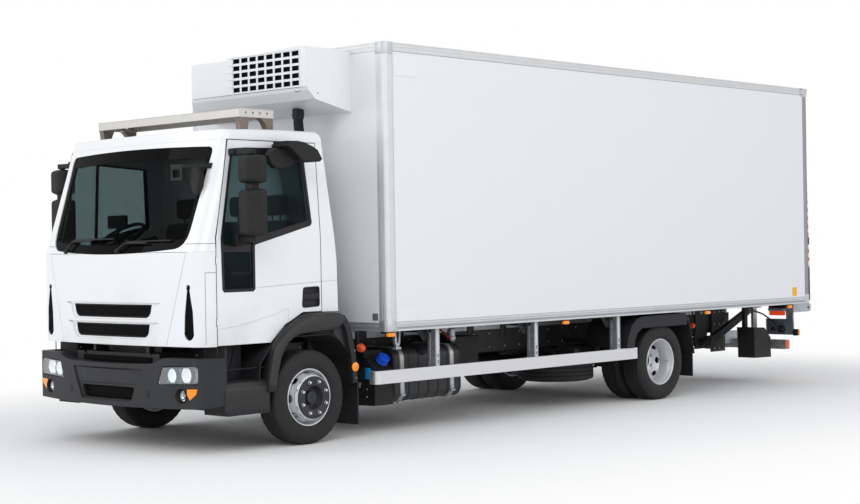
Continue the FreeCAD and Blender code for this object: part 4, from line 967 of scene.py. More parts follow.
    def weld(self) -> Mould:
        """Joins points that lie on each other."""
        bmesh.ops.remove_doubles(self.mesh, verts=self.mesh.verts, dist=0.00002)
        return self

    def studs(self, places: Iterable[Point], axis: Axis, radius: float, height: float,
              sign: float = 1.0, segments: int = 10) -> Mould:
        """Adds domed heads that stand on a face."""
        for place in places:
            self.lathe([(0, radius), (height * 0.55, radius * 0.86), (height, radius * 0.4),
                        (height, 0)], place, axis, segments, sign)
        return self

    def both_sides(self) -> Mould:
        """Adds the mirror image of everything so far on the other side of the truck."""
        twin = bmesh.ops.duplicate(self.mesh, geom=[*self.mesh.verts, *self.mesh.edges,
                                                    *self.mesh.faces])
        verts = [item for item in twin["geom"] if isinstance(item, bmesh.types.BMVert)]
        faces = [item for item in twin["geom"] if isinstance(item, bmesh.types.BMFace)]
        bmesh.ops.scale(self.mesh, vec=(-1, 1, 1), verts=verts)
        bmesh.ops.reverse_faces(self.mesh, faces=faces)
        return self

    def piece(self, name: str, finish: Finish, body: str, slot: str, thickness: float = 0.0,
              smooth: float = 35.0) -> bpy.types.Object:
        """Makes the object.

        Args:
            name: the piece's name.
            finish: its finish.
            body: the body that it rides on.
            slot: the name of a material slot, which is not used.
            thickness: for an open surface, the thickness to give it inwards.
            smooth: edges sharper than this angle in degrees stay sharp.

        Returns:
            The object.
        """
        bmesh.ops.recalc_face_normals(self.mesh, faces=self.mesh.faces)
        bmesh.ops.translate(self.mesh, verts=self.mesh.verts, vec=(0, FRONT_AXLE_Y, 0))
        mesh = bpy.data.meshes.new(name)
        self.mesh.to_mesh(mesh)
        self.mesh.free()
        mesh.materials.append(finish.material())
        mesh.shade_smooth()
        mesh.set_sharp_from_angle(angle=math.radians(smooth))
        obj = bpy.data.objects.new(name, mesh)
        bpy.context.scene.collection.objects.link(obj)
        if thickness:
            wall = obj.modifiers.new("wall", "SOLIDIFY")
            wall.thickness = thickness
            wall.offset = 0.0
        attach(obj, body)
        LOG.info("%s: %d faces on %s", name, len(mesh.polygons), body)
        return obj


def steps(first: float, last: float, count: int) -> list[float]:
    """Evenly spaced values from the first to the last."""
    return [first + (last - first) * k / count for k in range(count + 1)]


def arc(centre: Pair, radius: float, start: float, end: float, count: int) -> list[Pair]:
    """Points of an arc, its angles in degrees."""
    return [(centre[0] + radius * math.cos(math.radians(angle)),
             centre[1] + radius * math.sin(math.radians(angle)))
            for angle in steps(start, end, count)]


def rounded(low: Pair, high: Pair, radius: float, count: int = 4) -> list[Pair]:
    """Rectangle with round corners, as an outline."""
    (left, foot), (right, head) = ((low[0] + radius, low[1] + radius),
                                   (high[0] - radius, high[1] - radius))
    corners = (((right, foot), -90), ((right, head), 0), ((left, head), 90), ((left, foot), 180))
    return [point for centre, start in corners
            for point in arc(centre, radius, start, start + 90, count)]


def spans(outline: Sequence[Pair], rows: int) -> list[tuple[float, float, float]]:
    """Height, first and last width of level lines through an outline."""
    heights = [z for _, z in outline]
    result = []
    for z in steps(min(heights) + 1e-5, max(heights) - 1e-5, rows):
        cuts = [xa + (xb - xa) * (z - za) / (zb - za)
                for (xa, za), (xb, zb) in zip(outline, [*outline[1:], outline[0]])
                if (za <= z) != (zb <= z)]
        result.append((z, min(cuts), max(cuts)))
    return result


def resample(outline: Sequence[Pair], longest: float = 0.05) -> list[Pair]:
    """Closed outline whose edges are split until none is longer than a length."""
    result: list[Pair] = []
    for first, last in zip(outline, [*outline[1:], outline[0]]):
        count = max(1, math.ceil(math.dist(first, last) / longest))
        result += list(zip(steps(first[0], last[0], count), steps(first[1], last[1], count)))[:-1]
    return result


def upright(outline: Sequence[Pair], y: float) -> list[Point]:
    """An outline of the front view, set upright at a station."""
    return [(x, y, z) for x, z in outline]


class Bow:
    """Curve of a front face in plan, bulging towards -Y."""

    def __init__(self, first: Pair, middle: Pair, last: Pair) -> None:
        """Fits the circle through three points."""
        (ax, ay), (bx, by), (cx, cy) = first, middle, last
        scale = 2 * (ax * (by - cy) + bx * (cy - ay) + cx * (ay - by))
        squares = [x * x + y * y for x, y in (first, middle, last)]
        self.x = (squares[0] * (by - cy) + squares[1] * (cy - ay)
                  + squares[2] * (ay - by)) / scale
        self.y = (squares[0] * (cx - bx) + squares[1] * (ax - cx)
                  + squares[2] * (bx - ax)) / scale
        self.radius = math.hypot(ax - self.x, ay - self.y)

    def at(self, x: float) -> float:
        """Y of the curve at a distance from the centre line."""
        return self.y - math.sqrt(max(self.radius ** 2 - (x - self.x) ** 2, 0.0))


@dataclass(frozen=True)
class Face:
    """A curved front face: its middle, and the tighter curve round each corner."""

    middle: Bow
    corner: Bow
    joint: float
    waist: float = 1.585
    rake: float = 0.0

    def at(self, x: float, z: float = 0.0) -> float:
        """Y of the face at a point of the front view."""
        bow = self.middle if abs(x) <= self.joint else self.corner
        return bow.at(abs(x)) + self.rake * max(z - self.waist, 0.0)

    def sheet(self, outline: Sequence[Pair], inward: float, columns: int = 12,
              rows: int = 8) -> list[list[Point]]:
        """Rows of points that fill an outline of the front view."""
        return [[(x, self.at(x, z) + inward, z) for x in steps(first, last, columns)]
                for z, first, last in spans(outline, rows)]

    def ring(self, outline: Sequence[Pair], inward: float) -> list[Point]:
        """An outline of the front view laid on the face."""
        return [(x, self.at(x, z) + inward, z) for x, z in outline]


CAB_FACE = Face(Bow((-0.950, -1.078), (0, -1.157), (0.950, -1.078)),
                Bow((0.950, -1.078), (1.053, -1.042), (1.105, -0.930)), 0.950, rake=0.325)
BUMPER_FACE = Face(Bow((-1.010, -1.105), (0, -1.205), (1.010, -1.105)),
                   Bow((1.010, -1.105), (1.108, -1.065), (1.150, -0.985)), 1.010)


def cab_side(z: float) -> float:
    """Half width of the cab's side at a height."""
    return 1.105 - max(z - 1.700, 0.0) * 0.048 / 0.760


def offset_outline(outline: Sequence[Pair], distance: float) -> list[Pair]:
    """Closed outline moved outwards by a distance, its corners mitred."""
    count = len(outline)
    area = sum(outline[i][0] * outline[(i + 1) % count][1]
               - outline[(i + 1) % count][0] * outline[i][1] for i in range(count))
    turn = 1.0 if area > 0 else -1.0
    moved = []
    for index, (a, b) in enumerate(outline):
        before, after = outline[index - 1], outline[(index + 1) % count]
        first = Vector((a - before[0], b - before[1])).normalized()
        second = Vector((after[0] - a, after[1] - b)).normalized()
        mitre = Vector((first.y + second.y, -first.x - second.x)) * turn
        reach = distance / max(mitre.length / 2, 0.35)
        mitre.normalize()
        moved.append((a + mitre.x * reach, b + mitre.y * reach))
    return moved


# ------------------------------------------------------------------ the pieces


@dataclass
class Studio:
    """White floor and walls of light, and the camera."""

    # The camera's place and its three turns, its focal length and centre in units of which the
    # frame's size gives the number, and that size.
    place: Point = (11.016, -12.210, 1.591)
    heading: float = 0.761
    tilt: float = -0.002
    roll: float = -0.016
    focal: float = 1632.5
    centre: Pair = (425.4, 250.8)
    frame_size: Pair = (860, 504)
    # Half width and half length of the truck, and the distances from them over which the floor
    # turns into pure white.
    footprint: Pair = (1.3, 4.3)
    fade: Pair = (0.8, 5.0)
    reach: float = 60.0
    sky_colour: Colour = (0.97, 0.985, 1.0)
    sky_strength: float = 0.71
    # Each light: name, place, target, edge and power in watts.
    lights: tuple[tuple[str, Point, Point, float, float], ...] = (
        ("key", (9.0, -13.0, 9.5), (0, -1.5, 1.5), 7.0, 500.0),
        ("side", (15.0, 1.0, 7.0), (1.3, 1.0, 2.0), 9.0, 350.0),
        ("front", (-6.0, -14.0, 6.0), (0, -4.0, 1.5), 7.0, 320.0))

    def build(self) -> None:
        """Builds the floor, the lights and the camera."""
        self._floor()
        self._world()
        for light in self.lights:
            self._light(*light)
        self._camera()

    def _floor(self) -> None:
        """White floor, which isn't part of the truck."""
        tree = FinishTree("studio_floor")
        near = tree.add("ShaderNodeBsdfDiffuse", inputs={
            "Color": tree.blend((0.95, 0.95, 0.95), (0.93, 0.93, 0.93), tree.noise(0.4, 2))})
        white = tree.add("ShaderNodeEmission", inputs={"Color": (1.0, 1.0, 1.0),
                                                       "Strength": 1.0})
        across, along, _ = tree.axes()
        side = (abs(across) - self.footprint[0]).most(0.0)
        end = (abs(along) - self.footprint[1]).most(0.0)
        far = ((side * side + end * end) ** 0.5).ramp(*self.fade)
        mixed = tree.add("ShaderNodeMixShader", inputs={
            0: far * tree.seen(), 1: Signal(tree, near.outputs[0]),
            2: Signal(tree, white.outputs[0])})
        material = tree.output(Signal(tree, mixed.outputs[0]))
        mesh = bpy.data.meshes.new("studio_floor")
        reach = self.reach
        mesh.from_pydata([(-reach, -reach, 0), (reach, -reach, 0), (reach, reach, 0),
                          (-reach, reach, 0)], [], [(0, 1, 2, 3)])
        mesh.materials.append(material)
        floor = bpy.data.objects.new("studio_floor", mesh)
        bpy.context.scene.collection.objects.link(floor)

    def _world(self) -> None:
        """Backdrop that is white to the camera and a soft sky to the truck."""
        world = bpy.data.worlds.new("studio")
        world.use_nodes = True
        nodes, links = world.node_tree.nodes, world.node_tree.links
        nodes.clear()
        path = nodes.new("ShaderNodeLightPath")
        white, sky = (nodes.new("ShaderNodeBackground") for _ in range(2))
        for node, colour, strength in ((white, (1.0, 1.0, 1.0), 1.0),
                                       (sky, self.sky_colour, self.sky_strength)):
            node.inputs["Color"].default_value = (*colour, 1.0)
            node.inputs["Strength"].default_value = strength
        seen = path.outputs["Is Camera Ray"]
        for kind in ("Is Glossy Ray", "Is Transmission Ray"):
            either = nodes.new("ShaderNodeMath")
            either.operation = "MAXIMUM"
            links.new(seen, either.inputs[0])
            links.new(path.outputs[kind], either.inputs[1])
            seen = either.outputs[0]
        mix = nodes.new("ShaderNodeMixShader")
        links.new(seen, mix.inputs[0])
        links.new(sky.outputs[0], mix.inputs[1])
        links.new(white.outputs[0], mix.inputs[2])
        output = nodes.new("ShaderNodeOutputWorld")
        links.new(mix.outputs[0], output.inputs[0])
        bpy.context.scene.world = world

    def _light(self, name: str, place: Point, target: Point, size: float,
               power: float) -> None:
        """Adds one square light.

        Args:
            name: its name.
            place: where it stands.
            target: what it points at.
            size: its edge.
            power: its power in watts.
        """
        lamp = bpy.data.lights.new(name, "AREA")
        lamp.size = size
        lamp.energy = power
        obj = bpy.data.objects.new(name, lamp)
        obj.location = place
        aim = Vector(target) - Vector(place)
        obj.rotation_euler = aim.to_track_quat("-Z", "Y").to_euler()
        bpy.context.scene.collection.objects.link(obj)

    def _camera(self) -> None:
        """Adds the camera at the measured place."""
        camera = bpy.data.cameras.new("camera")
        camera.sensor_width = 36.0
        camera.lens = self.focal * camera.sensor_width / self.frame_size[0]
        camera.shift_x = (self.frame_size[0] / 2 - self.centre[0]) / self.frame_size[0]
        camera.shift_y = (self.centre[1] - self.frame_size[1] / 2) / self.frame_size[0]
        camera.clip_end = 200.0
        look = Vector((-math.sin(self.heading) * math.cos(self.tilt),
                       math.cos(self.heading) * math.cos(self.tilt), math.sin(self.tilt)))
        level = Vector((math.cos(self.heading), math.sin(self.heading), 0))
        above = level.cross(look)
        right = math.cos(self.roll) * level + math.sin(self.roll) * above
        top = -math.sin(self.roll) * level + math.cos(self.roll) * above
        obj = bpy.data.objects.new("camera", camera)
        obj.matrix_world = Matrix((
            (right.x, top.x, -look.x, self.place[0]), (right.y, top.y, -look.y, self.place[1]),
            (right.z, top.z, -look.z, self.place[2]), (0, 0, 0, 1)))
        bpy.context.scene.collection.objects.link(obj)
        bpy.context.scene.camera = obj


@dataclass
class Tyre:
    """Ribbed truck tyre with notched shoulders."""

    radius: float = 0.3845
    bead: float = 0.2225
    segments: int = 160
    # Distance of each groove from the middle of the tread, half its width and its depth.
    grooves: tuple[float, ...] = (0.021, 0.059)
    groove_half: float = 0.0042
    groove_depth: float = 0.012
    # Chamfer of a groove's edge, and how far its wall leans in.
    chamfer: float = 0.0015
    lean: float = 0.001
    # The shoulder's notches: where they start, outwards and in radius, their depth, and how
    # many segments there are to one.
    notch_start: Pair = (0.090, 0.360)
    notch_depth: float = 0.005
    notch_pitch: int = 4
    # Side wall from the shoulder to the bead: distance from the middle, and radius.
    wall: tuple[Pair, ...] = (
        (0.107, 0.362), (0.110, 0.356), (0.1145, 0.340), (0.1150, 0.336), (0.1170, 0.334),
        (0.1195, 0.315), (0.1205, 0.300), (0.1190, 0.283), (0.1160, 0.272), (0.1165, 0.268),
        (0.1130, 0.262), (0.1060, 0.248), (0.0990, 0.2405), (0.0900, 0.2365))

    def section(self) -> list[Pair]:
        """Half section from the middle outwards, as distance and radius."""
        rows = [(0.0, self.radius)]
        floor = self.radius - self.groove_depth
        for middle in self.grooves:
            inner, outer = middle - self.groove_half, middle + self.groove_half
            rows += [(inner - self.chamfer, self.radius), (inner, self.radius - self.chamfer),
                     (inner + self.lean, floor), (outer - self.lean, floor),
                     (outer, self.radius - self.chamfer), (outer + self.chamfer, self.radius)]
        rows += [(0.084, self.radius - 0.001), (0.093, self.radius - 0.003),
                 (0.101, self.radius - 0.010), *self.wall, (0.0865, self.bead)]
        return rows

    def mould(self, centres: Sequence[Point], axis: Axis) -> Mould:
        """Turns one or more tyres of one piece."""
        half = self.section()
        rows = [(-along, radius) for along, radius in reversed(half[1:])] + half
        mould = Mould()
        for centre in centres:
            rings = []
            for along, radius in rows:
                notched = abs(along) > self.notch_start[0] and radius > self.notch_start[1]
                ring = []
                for step in range(self.segments):
                    turn = 2 * math.pi * step / self.segments
                    cut = notched and step % self.notch_pitch == 0
                    depth = self.notch_depth if cut else 0.0
                    local = axis.lift((radius - depth) * math.cos(turn),
                                      (radius - depth) * math.sin(turn), along)
                    ring.append(mould.mesh.verts.new(Vector(centre) + Vector(local)))
                rings.append(ring)
            for near, far in zip(rings, rings[1:] + rings[:1]):
                for step in range(self.segments):
                    after = (step + 1) % self.segments
                    mould.mesh.faces.new((near[step], near[after], far[after], far[step]))
        return mould

    def build(self, name: str, centres: Sequence[Point], body: str, node: str,
              axis: Axis = Axis.X) -> None:
        """Makes the piece, which stands for its CAD node."""
        piece = self.mould(centres, axis).piece(name, RUBBER, body, "tyre", smooth=28)
        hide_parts(node)


@dataclass
class WheelTrim:
    """Rims, nuts, nut cover, hub and valve of the wheels on one side."""

    side: float
    nut_circle: float = 0.1350
    nuts: int = 8
    # Barrel of a rim, from its outer lip to its inner one: along and radius.
    barrel: tuple[Pair, ...] = (
        (0.0880, 0.2330), (0.0965, 0.2345), (0.0995, 0.2315), (0.0980, 0.2265),
        (0.0920, 0.2235), (0.0640, 0.2190), (0.0570, 0.2160), (0.0480, 0.2120),
        (0.0200, 0.2050), (-0.0500, 0.2050), (-0.0640, 0.2190), (-0.0920, 0.2235),
        (-0.0980, 0.2265), (-0.0995, 0.2315), (-0.0965, 0.2345), (-0.0880, 0.2330))

    def ring_points(self, count: int, radius: float, start: float = 0.0) -> list[Pair]:
        """Points round the hub, as (along, up) from its centre."""
        return [(radius * math.cos(2 * math.pi * (k + start) / count),
                 radius * math.sin(2 * math.pi * (k + start) / count)) for k in range(count)]

    def front(self, label: str) -> None:
        """Dresses a front wheel: bulging disc, black nut cover, bright nuts and the hub."""
        body = f"wheel_front_{label}"
        centre = (self.side * FRONT_TRACK, 0.0, HUB_HEIGHT)
        rim = Mould()
        rim.lathe(self.barrel, centre, sign=self.side, segments=112)
        self.holed_cone(rim, centre, (0.035, 0.145), (0.2050, 0.1800), 0.36, 1.5)
        rim.lathe([(0.1450, 0.1800), (0.1480, 0.1785), (0.1495, 0.1760), (0.1495, 0.1000),
                   (0.1300, 0.0990), (0.0950, 0.1040), (-0.0200, 0.1040), (-0.0400, 0.0930),
                   (-0.0620, 0.0780), (-0.0620, 0.0400)], centre, sign=self.side, segments=112)
        rim.rod((centre[0] + self.side * 0.060, 0.2100, HUB_HEIGHT),
                (centre[0] + self.side * 0.112, 0.2000, HUB_HEIGHT + 0.004), 0.0045, 10, 0.001)
        rim = rim.weld().piece(f"rim_{label}", RIM_SILVER, body, "rim_steel", thickness=0.0035,
                               smooth=40)
        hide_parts(f"rim_front_{label}")
        cover = Mould()
        cover.lathe([(0.1500, 0.1740), (0.1560, 0.1740), (0.1595, 0.1710), (0.1600, 0.1010),
                     (0.1570, 0.0970), (0.1200, 0.0900), (0.1040, 0.0780), (0.1000, 0.0600),
                     (0.1240, 0.0550), (0.1310, 0.0500), (0.1330, 0.0180), (0.1310, 0.0160),
                     (0.1310, 0.0090), (0.1345, 0.0070), (0.1350, 0.0)], centre,
                    sign=self.side, segments=96)
        cover.piece(f"hub_cover_{label}", HUB_GREY, body, "black_plastic", smooth=40)
        # Each nut stands on a near-black disc that paints the shade of its recess in the cover
        wells, nuts = Mould(), Mould()
        for along, up in self.ring_points(self.nuts, self.nut_circle, 0.5):
            nut = (centre[0] + self.side * 0.160, along, HUB_HEIGHT + up)
            wells.lathe([(-0.0010, 0.0245), (0.0016, 0.0240), (0.0016, 0.0215),
                         (0.0004, 0.0205), (0.0004, 0.0)], nut, sign=self.side, segments=28)
            nuts.lathe([(0.0, 0.0140), (0.0120, 0.0140), (0.0180, 0.0118), (0.0215, 0.0070),
                        (0.0225, 0.0)], nut, sign=self.side, segments=6)
            nuts.lathe([(0.0, 0.0172), (0.0035, 0.0172), (0.0050, 0.0150)], nut,
                       sign=self.side, segments=24)
        wells.piece(f"nut_recess_shade_{label}", GLOSS_TRIM, body, "black_plastic", smooth=40)
        nuts.piece(f"wheel_nuts_{label}", NUT_STEEL, body, "rim_steel", smooth=50)

    def holed_cone(self, mould: Mould, centre: Point, places: Pair, radii: Pair,
                   middle: float, bend: float) -> None:
        """Adds the disc's cone with a round hand hole in each eighth of it.

        Args:
            mould: what it is added to.
            centre: the wheel's centre.
            places: how far out the cone starts and ends.
            radii: its radius there.
            middle: how far along the cone the holes lie, from 0 to 1.
            bend: power that curves the cone's line; 1 keeps it straight.
        """
        half = math.pi / 8
        hole_wide, hole_high = 0.42, 0.27
        square = [(-1 + k / 4, -1.0) for k in range(8)] + [(1.0, -1 + k / 4) for k in range(8)]
        square += [(-x, -y) for x, y in square]
        for eighth in range(8):
            rows = []
            for share in (0.0, 0.2, 0.45, 0.7, 1.0):
                row = []
                for x, y in square + square[:1]:
                    reach = math.hypot(x, y)
                    turn = (hole_wide * (1 - share) / reach + share) * x * half
                    climb = ((middle + hole_high * y / reach) * (1 - share)
                             + (0.5 + 0.5 * y) * share)
                    angle = turn + 2 * half * eighth
                    radius = radii[0] + (radii[1] - radii[0]) * climb ** bend
                    row.append((centre[0] + self.side * (places[0] + climb
                                                         * (places[1] - places[0])),
                                centre[1] + radius * math.cos(angle),
                                centre[2] + radius * math.sin(angle)))
                rows.append(row)
            mould.patch(rows)

    def rear(self, label: str) -> None:
        """Dresses a pair of twins: nuts round a deep dish, and the axle's end."""
        body = f"wheels_rear_{label}"
        centre = (self.side * REAR_TRACK, WHEELBASE, HUB_HEIGHT)
        nuts = Mould()
        for along, up in self.ring_points(self.nuts, self.nut_circle, 0.5):
            nut = (centre[0] - self.side * 0.1225, WHEELBASE + along, HUB_HEIGHT + up)
            nuts.lathe([(0, 0.0195), (0.004, 0.0195), (0.006, 0.0155)], nut, sign=self.side,
                       segments=24)
            nuts.lathe([(0.004, 0.0145), (0.020, 0.0145), (0.026, 0.0115), (0.028, 0.0)], nut,
                       sign=self.side, segments=6)
        nuts.piece(f"twin_nuts_{label}", NUT_STEEL, body, "rim_steel", smooth=30)
        hub = Mould()
        hub.lathe([(-0.1225, 0.0985), (-0.1190, 0.0995), (-0.1120, 0.0960), (-0.1080, 0.0880),
                   (-0.1060, 0.0700), (-0.0980, 0.0640), (-0.0950, 0.0560), (-0.0940, 0.0)],
                  centre, sign=self.side, segments=64)
        for along, up in self.ring_points(8, 0.080):
            hub.rod((centre[0] - self.side * 0.110, WHEELBASE + along, HUB_HEIGHT + up),
                    (centre[0] - self.side * 0.100, WHEELBASE + along, HUB_HEIGHT + up),
                    0.0075, 6, 0.001)
        hub.piece(f"axle_end_{label}", FRAME_BLACK, body, "chassis_black", smooth=40)
        rim = Mould()
        rim.lathe(self.barrel, centre, sign=self.side, segments=112)
        rim.lathe(self.barrel, (self.side * 0.853, WHEELBASE, HUB_HEIGHT), sign=self.side,
                  segments=80)
        self.holed_cone(rim, centre, (-0.1215, -0.0560), (0.1640, 0.2050), 0.62, 0.9)
        for lip, facing in ((-0.1175, -0.1215), (-0.1450, -0.1450)):
            rim.lathe([(lip, 0.1640), (facing, 0.1600), (facing, 0.0960)], centre,
                      sign=self.side, segments=96)
        rim.lathe([(-0.1450, 0.1640), (-0.2150, 0.2050)], centre, sign=self.side, segments=96)
        rim.lathe([(-0.1180, 0.1000), (-0.3370, 0.1000), (-0.3370, 0.0600)], centre,
                  sign=self.side, segments=64)
        rim.rod((centre[0] - self.side * 0.060, WHEELBASE + 0.203, HUB_HEIGHT),
                (centre[0] + self.side * 0.075, WHEELBASE + 0.193, HUB_HEIGHT), 0.0045, 10,
                0.001)
        rim = rim.weld().piece(f"twin_rims_{label}", RIM_SILVER, body, "rim_steel",
                               thickness=0.0035, smooth=40)
        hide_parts(f"rim_rear_{label}")


@dataclass
class Wheels:
    """All tyres and what shows on the wheels."""

    twin_centres: Pair = (REAR_TRACK, 0.852)
    spare: Point = (0.620, 3.800, 0.362)

    def build(self) -> None:
        """Builds them on both sides."""
        for label, side in SIDES:
            Tyre().build(f"tread_front_{label}", [(side * FRONT_TRACK, 0, HUB_HEIGHT)],
                         f"wheel_front_{label}", f"tyre_front_{label}")
            Tyre().build(f"tread_rear_{label}",
                         [(side * x, WHEELBASE, HUB_HEIGHT) for x in self.twin_centres],
                         f"wheels_rear_{label}", f"tyre_rear_{label}")
            trim = WheelTrim(side)
            trim.front(label)
            trim.rear(label)
        Tyre().build("tread_spare", [self.spare], "chassis", "spare_tyre", Axis.Z)


@dataclass
class Windscreen:
    """Wipers that lie before the glass."""

    # Pivot, then the blade's two ends, as (across, up).
    wipers: tuple[tuple[Pair, Pair, Pair], ...] = (
        ((-0.634, 1.602), (-0.540, 1.692), (0.040, 1.694)),
        ((0.133, 1.602), (0.228, 1.668), (0.745, 1.672)))

    def point(self, place: Pair, outward: float) -> Point:
        """Point before the glass."""
        return place[0], CAB_FACE.at(*place) - outward, place[1]

    def build(self) -> None:
        """Builds the arms, their blades and pivots."""
        mould = Mould()
        for pivot, first, last in self.wipers:
            mould.rod(self.point(pivot, -0.012), self.point(pivot, 0.026), 0.017, 20, 0.004)
            middle = ((first[0] + last[0]) / 2, (first[1] + last[1]) / 2 - 0.006)
            bend = (first[0] - 0.012, first[1] - 0.010)
            mould.tube([self.point(pivot, 0.022), self.point(bend, 0.024),
                        self.point((first[0] + 0.03, first[1] - 0.004), 0.026),
                        self.point(middle, 0.024)], 0.0075, 10)
            ends = [(x, first[1] + (last[1] - first[1]) * k / 8 + 0.006)
                    for k, x in enumerate(steps(first[0], last[0], 8))]
            mould.tube([self.point(end, 0.010) for end in ends], 0.0055, 8)
            mould.tube([self.point((x, z + 0.003), 0.001) for x, z in ends], 0.004, 6)
        mould.piece("wipers", BLACK_TRIM, "cab", "black_plastic")


# Outlines of the front view, as (across, up).
UPPER_SLOT = ((-0.540, 1.178), (0.540, 1.178), (0.526, 1.122), (0.502, 1.078), (0.455, 1.060),
              (-0.455, 1.060), (-0.502, 1.078), (-0.526, 1.122))
LOWER_SLOT = ((-0.510, 1.022), (0.510, 1.022), (0.500, 0.966), (0.480, 0.922), (0.433, 0.904),
              (-0.433, 0.904), (-0.480, 0.922), (-0.500, 0.966))
LOUVRE = ((0.922, 1.300), (0.943, 1.336), (0.964, 1.300), (0.997, 1.120), (1.003, 0.955),
          (0.948, 0.890), (0.889, 0.950), (0.895, 1.090))
LAMP = ((0.657, 0.552), (1.044, 0.560), (1.058, 0.576), (1.062, 0.600), (1.062, 0.676),
        (1.053, 0.692), (1.036, 0.698), (0.722, 0.690), (0.704, 0.685), (0.692, 0.668),
        (0.652, 0.563))
INDICATOR = ((0.952, 0.524), (1.060, 0.528), (1.047, 0.482), (0.980, 0.433), (0.948, 0.478))
BUMPER_MESH = ((-0.350, 0.514), (0.350, 0.514), (0.350, 0.484), (0.322, 0.424),
               (0.300, 0.408), (-0.300, 0.408), (-0.322, 0.424), (-0.350, 0.484))


@dataclass
class FrontPanel:
    """Meshes, slats and liners behind the cab front's openings, in near-black finishes that paint
    the shade inside them.
    """

    slot_depth: float = 0.024
    louvre_depth: float = 0.040
    slat_heights: tuple[float, ...] = (0.985, 1.085, 1.185)

    def build(self) -> None:
        """Builds all of it on the cab."""
        # The slot meshes' holes are painted near-black, for the shade behind them
        mesh = Mould()
        for outline in (UPPER_SLOT, LOWER_SLOT):
            mesh.patch(CAB_FACE.sheet(outline, self.slot_depth, 30, 8))
        mesh.piece("slot_meshes", MESH, "cab", "black_plastic", thickness=0.003)
        lip = Mould()
        for outline in (UPPER_SLOT, LOWER_SLOT):
            edge = resample(offset_outline(outline, -0.011), 0.06)
            inner = offset_outline(edge, -0.005)
            lip.frames(CAB_FACE.ring(edge, 0.0155), CAB_FACE.ring(inner, 0.019),
                       CAB_FACE.ring(inner, 0.026))
        lip.piece("slot_lips", BLACK_TRIM, "cab", "black_plastic", thickness=0.002)
        # Near-black sheets in front of and behind the louvre, its walls and slats: painted shade
        # inside the louvre
        liner = Mould()
        liner.patch(CAB_FACE.sheet(LOUVRE, self.louvre_depth, 6, 14))
        liner.patch(CAB_FACE.sheet(LOUVRE, 0.0050, 6, 14))
        edge = resample(offset_outline(LOUVRE, -0.0030), 0.04)
        liner.frame(CAB_FACE.ring(edge, 0.0020), CAB_FACE.ring(edge, self.louvre_depth))
        for height in self.slat_heights:
            _, first, last = min(spans(LOUVRE, 60), key=lambda row: abs(row[0] - height))
            liner.patch([[(x, CAB_FACE.at(x) + depth, height + rise)
                          for x in steps(first + 0.004, last - 0.004, 5)]
                         for depth, rise in ((0.010, 0.0), (0.036, 0.026))])
        liner.both_sides().piece("louvre_slats", SLOT_SHADE_BLACK, "cab", "black_plastic",
                                 thickness=0.003)


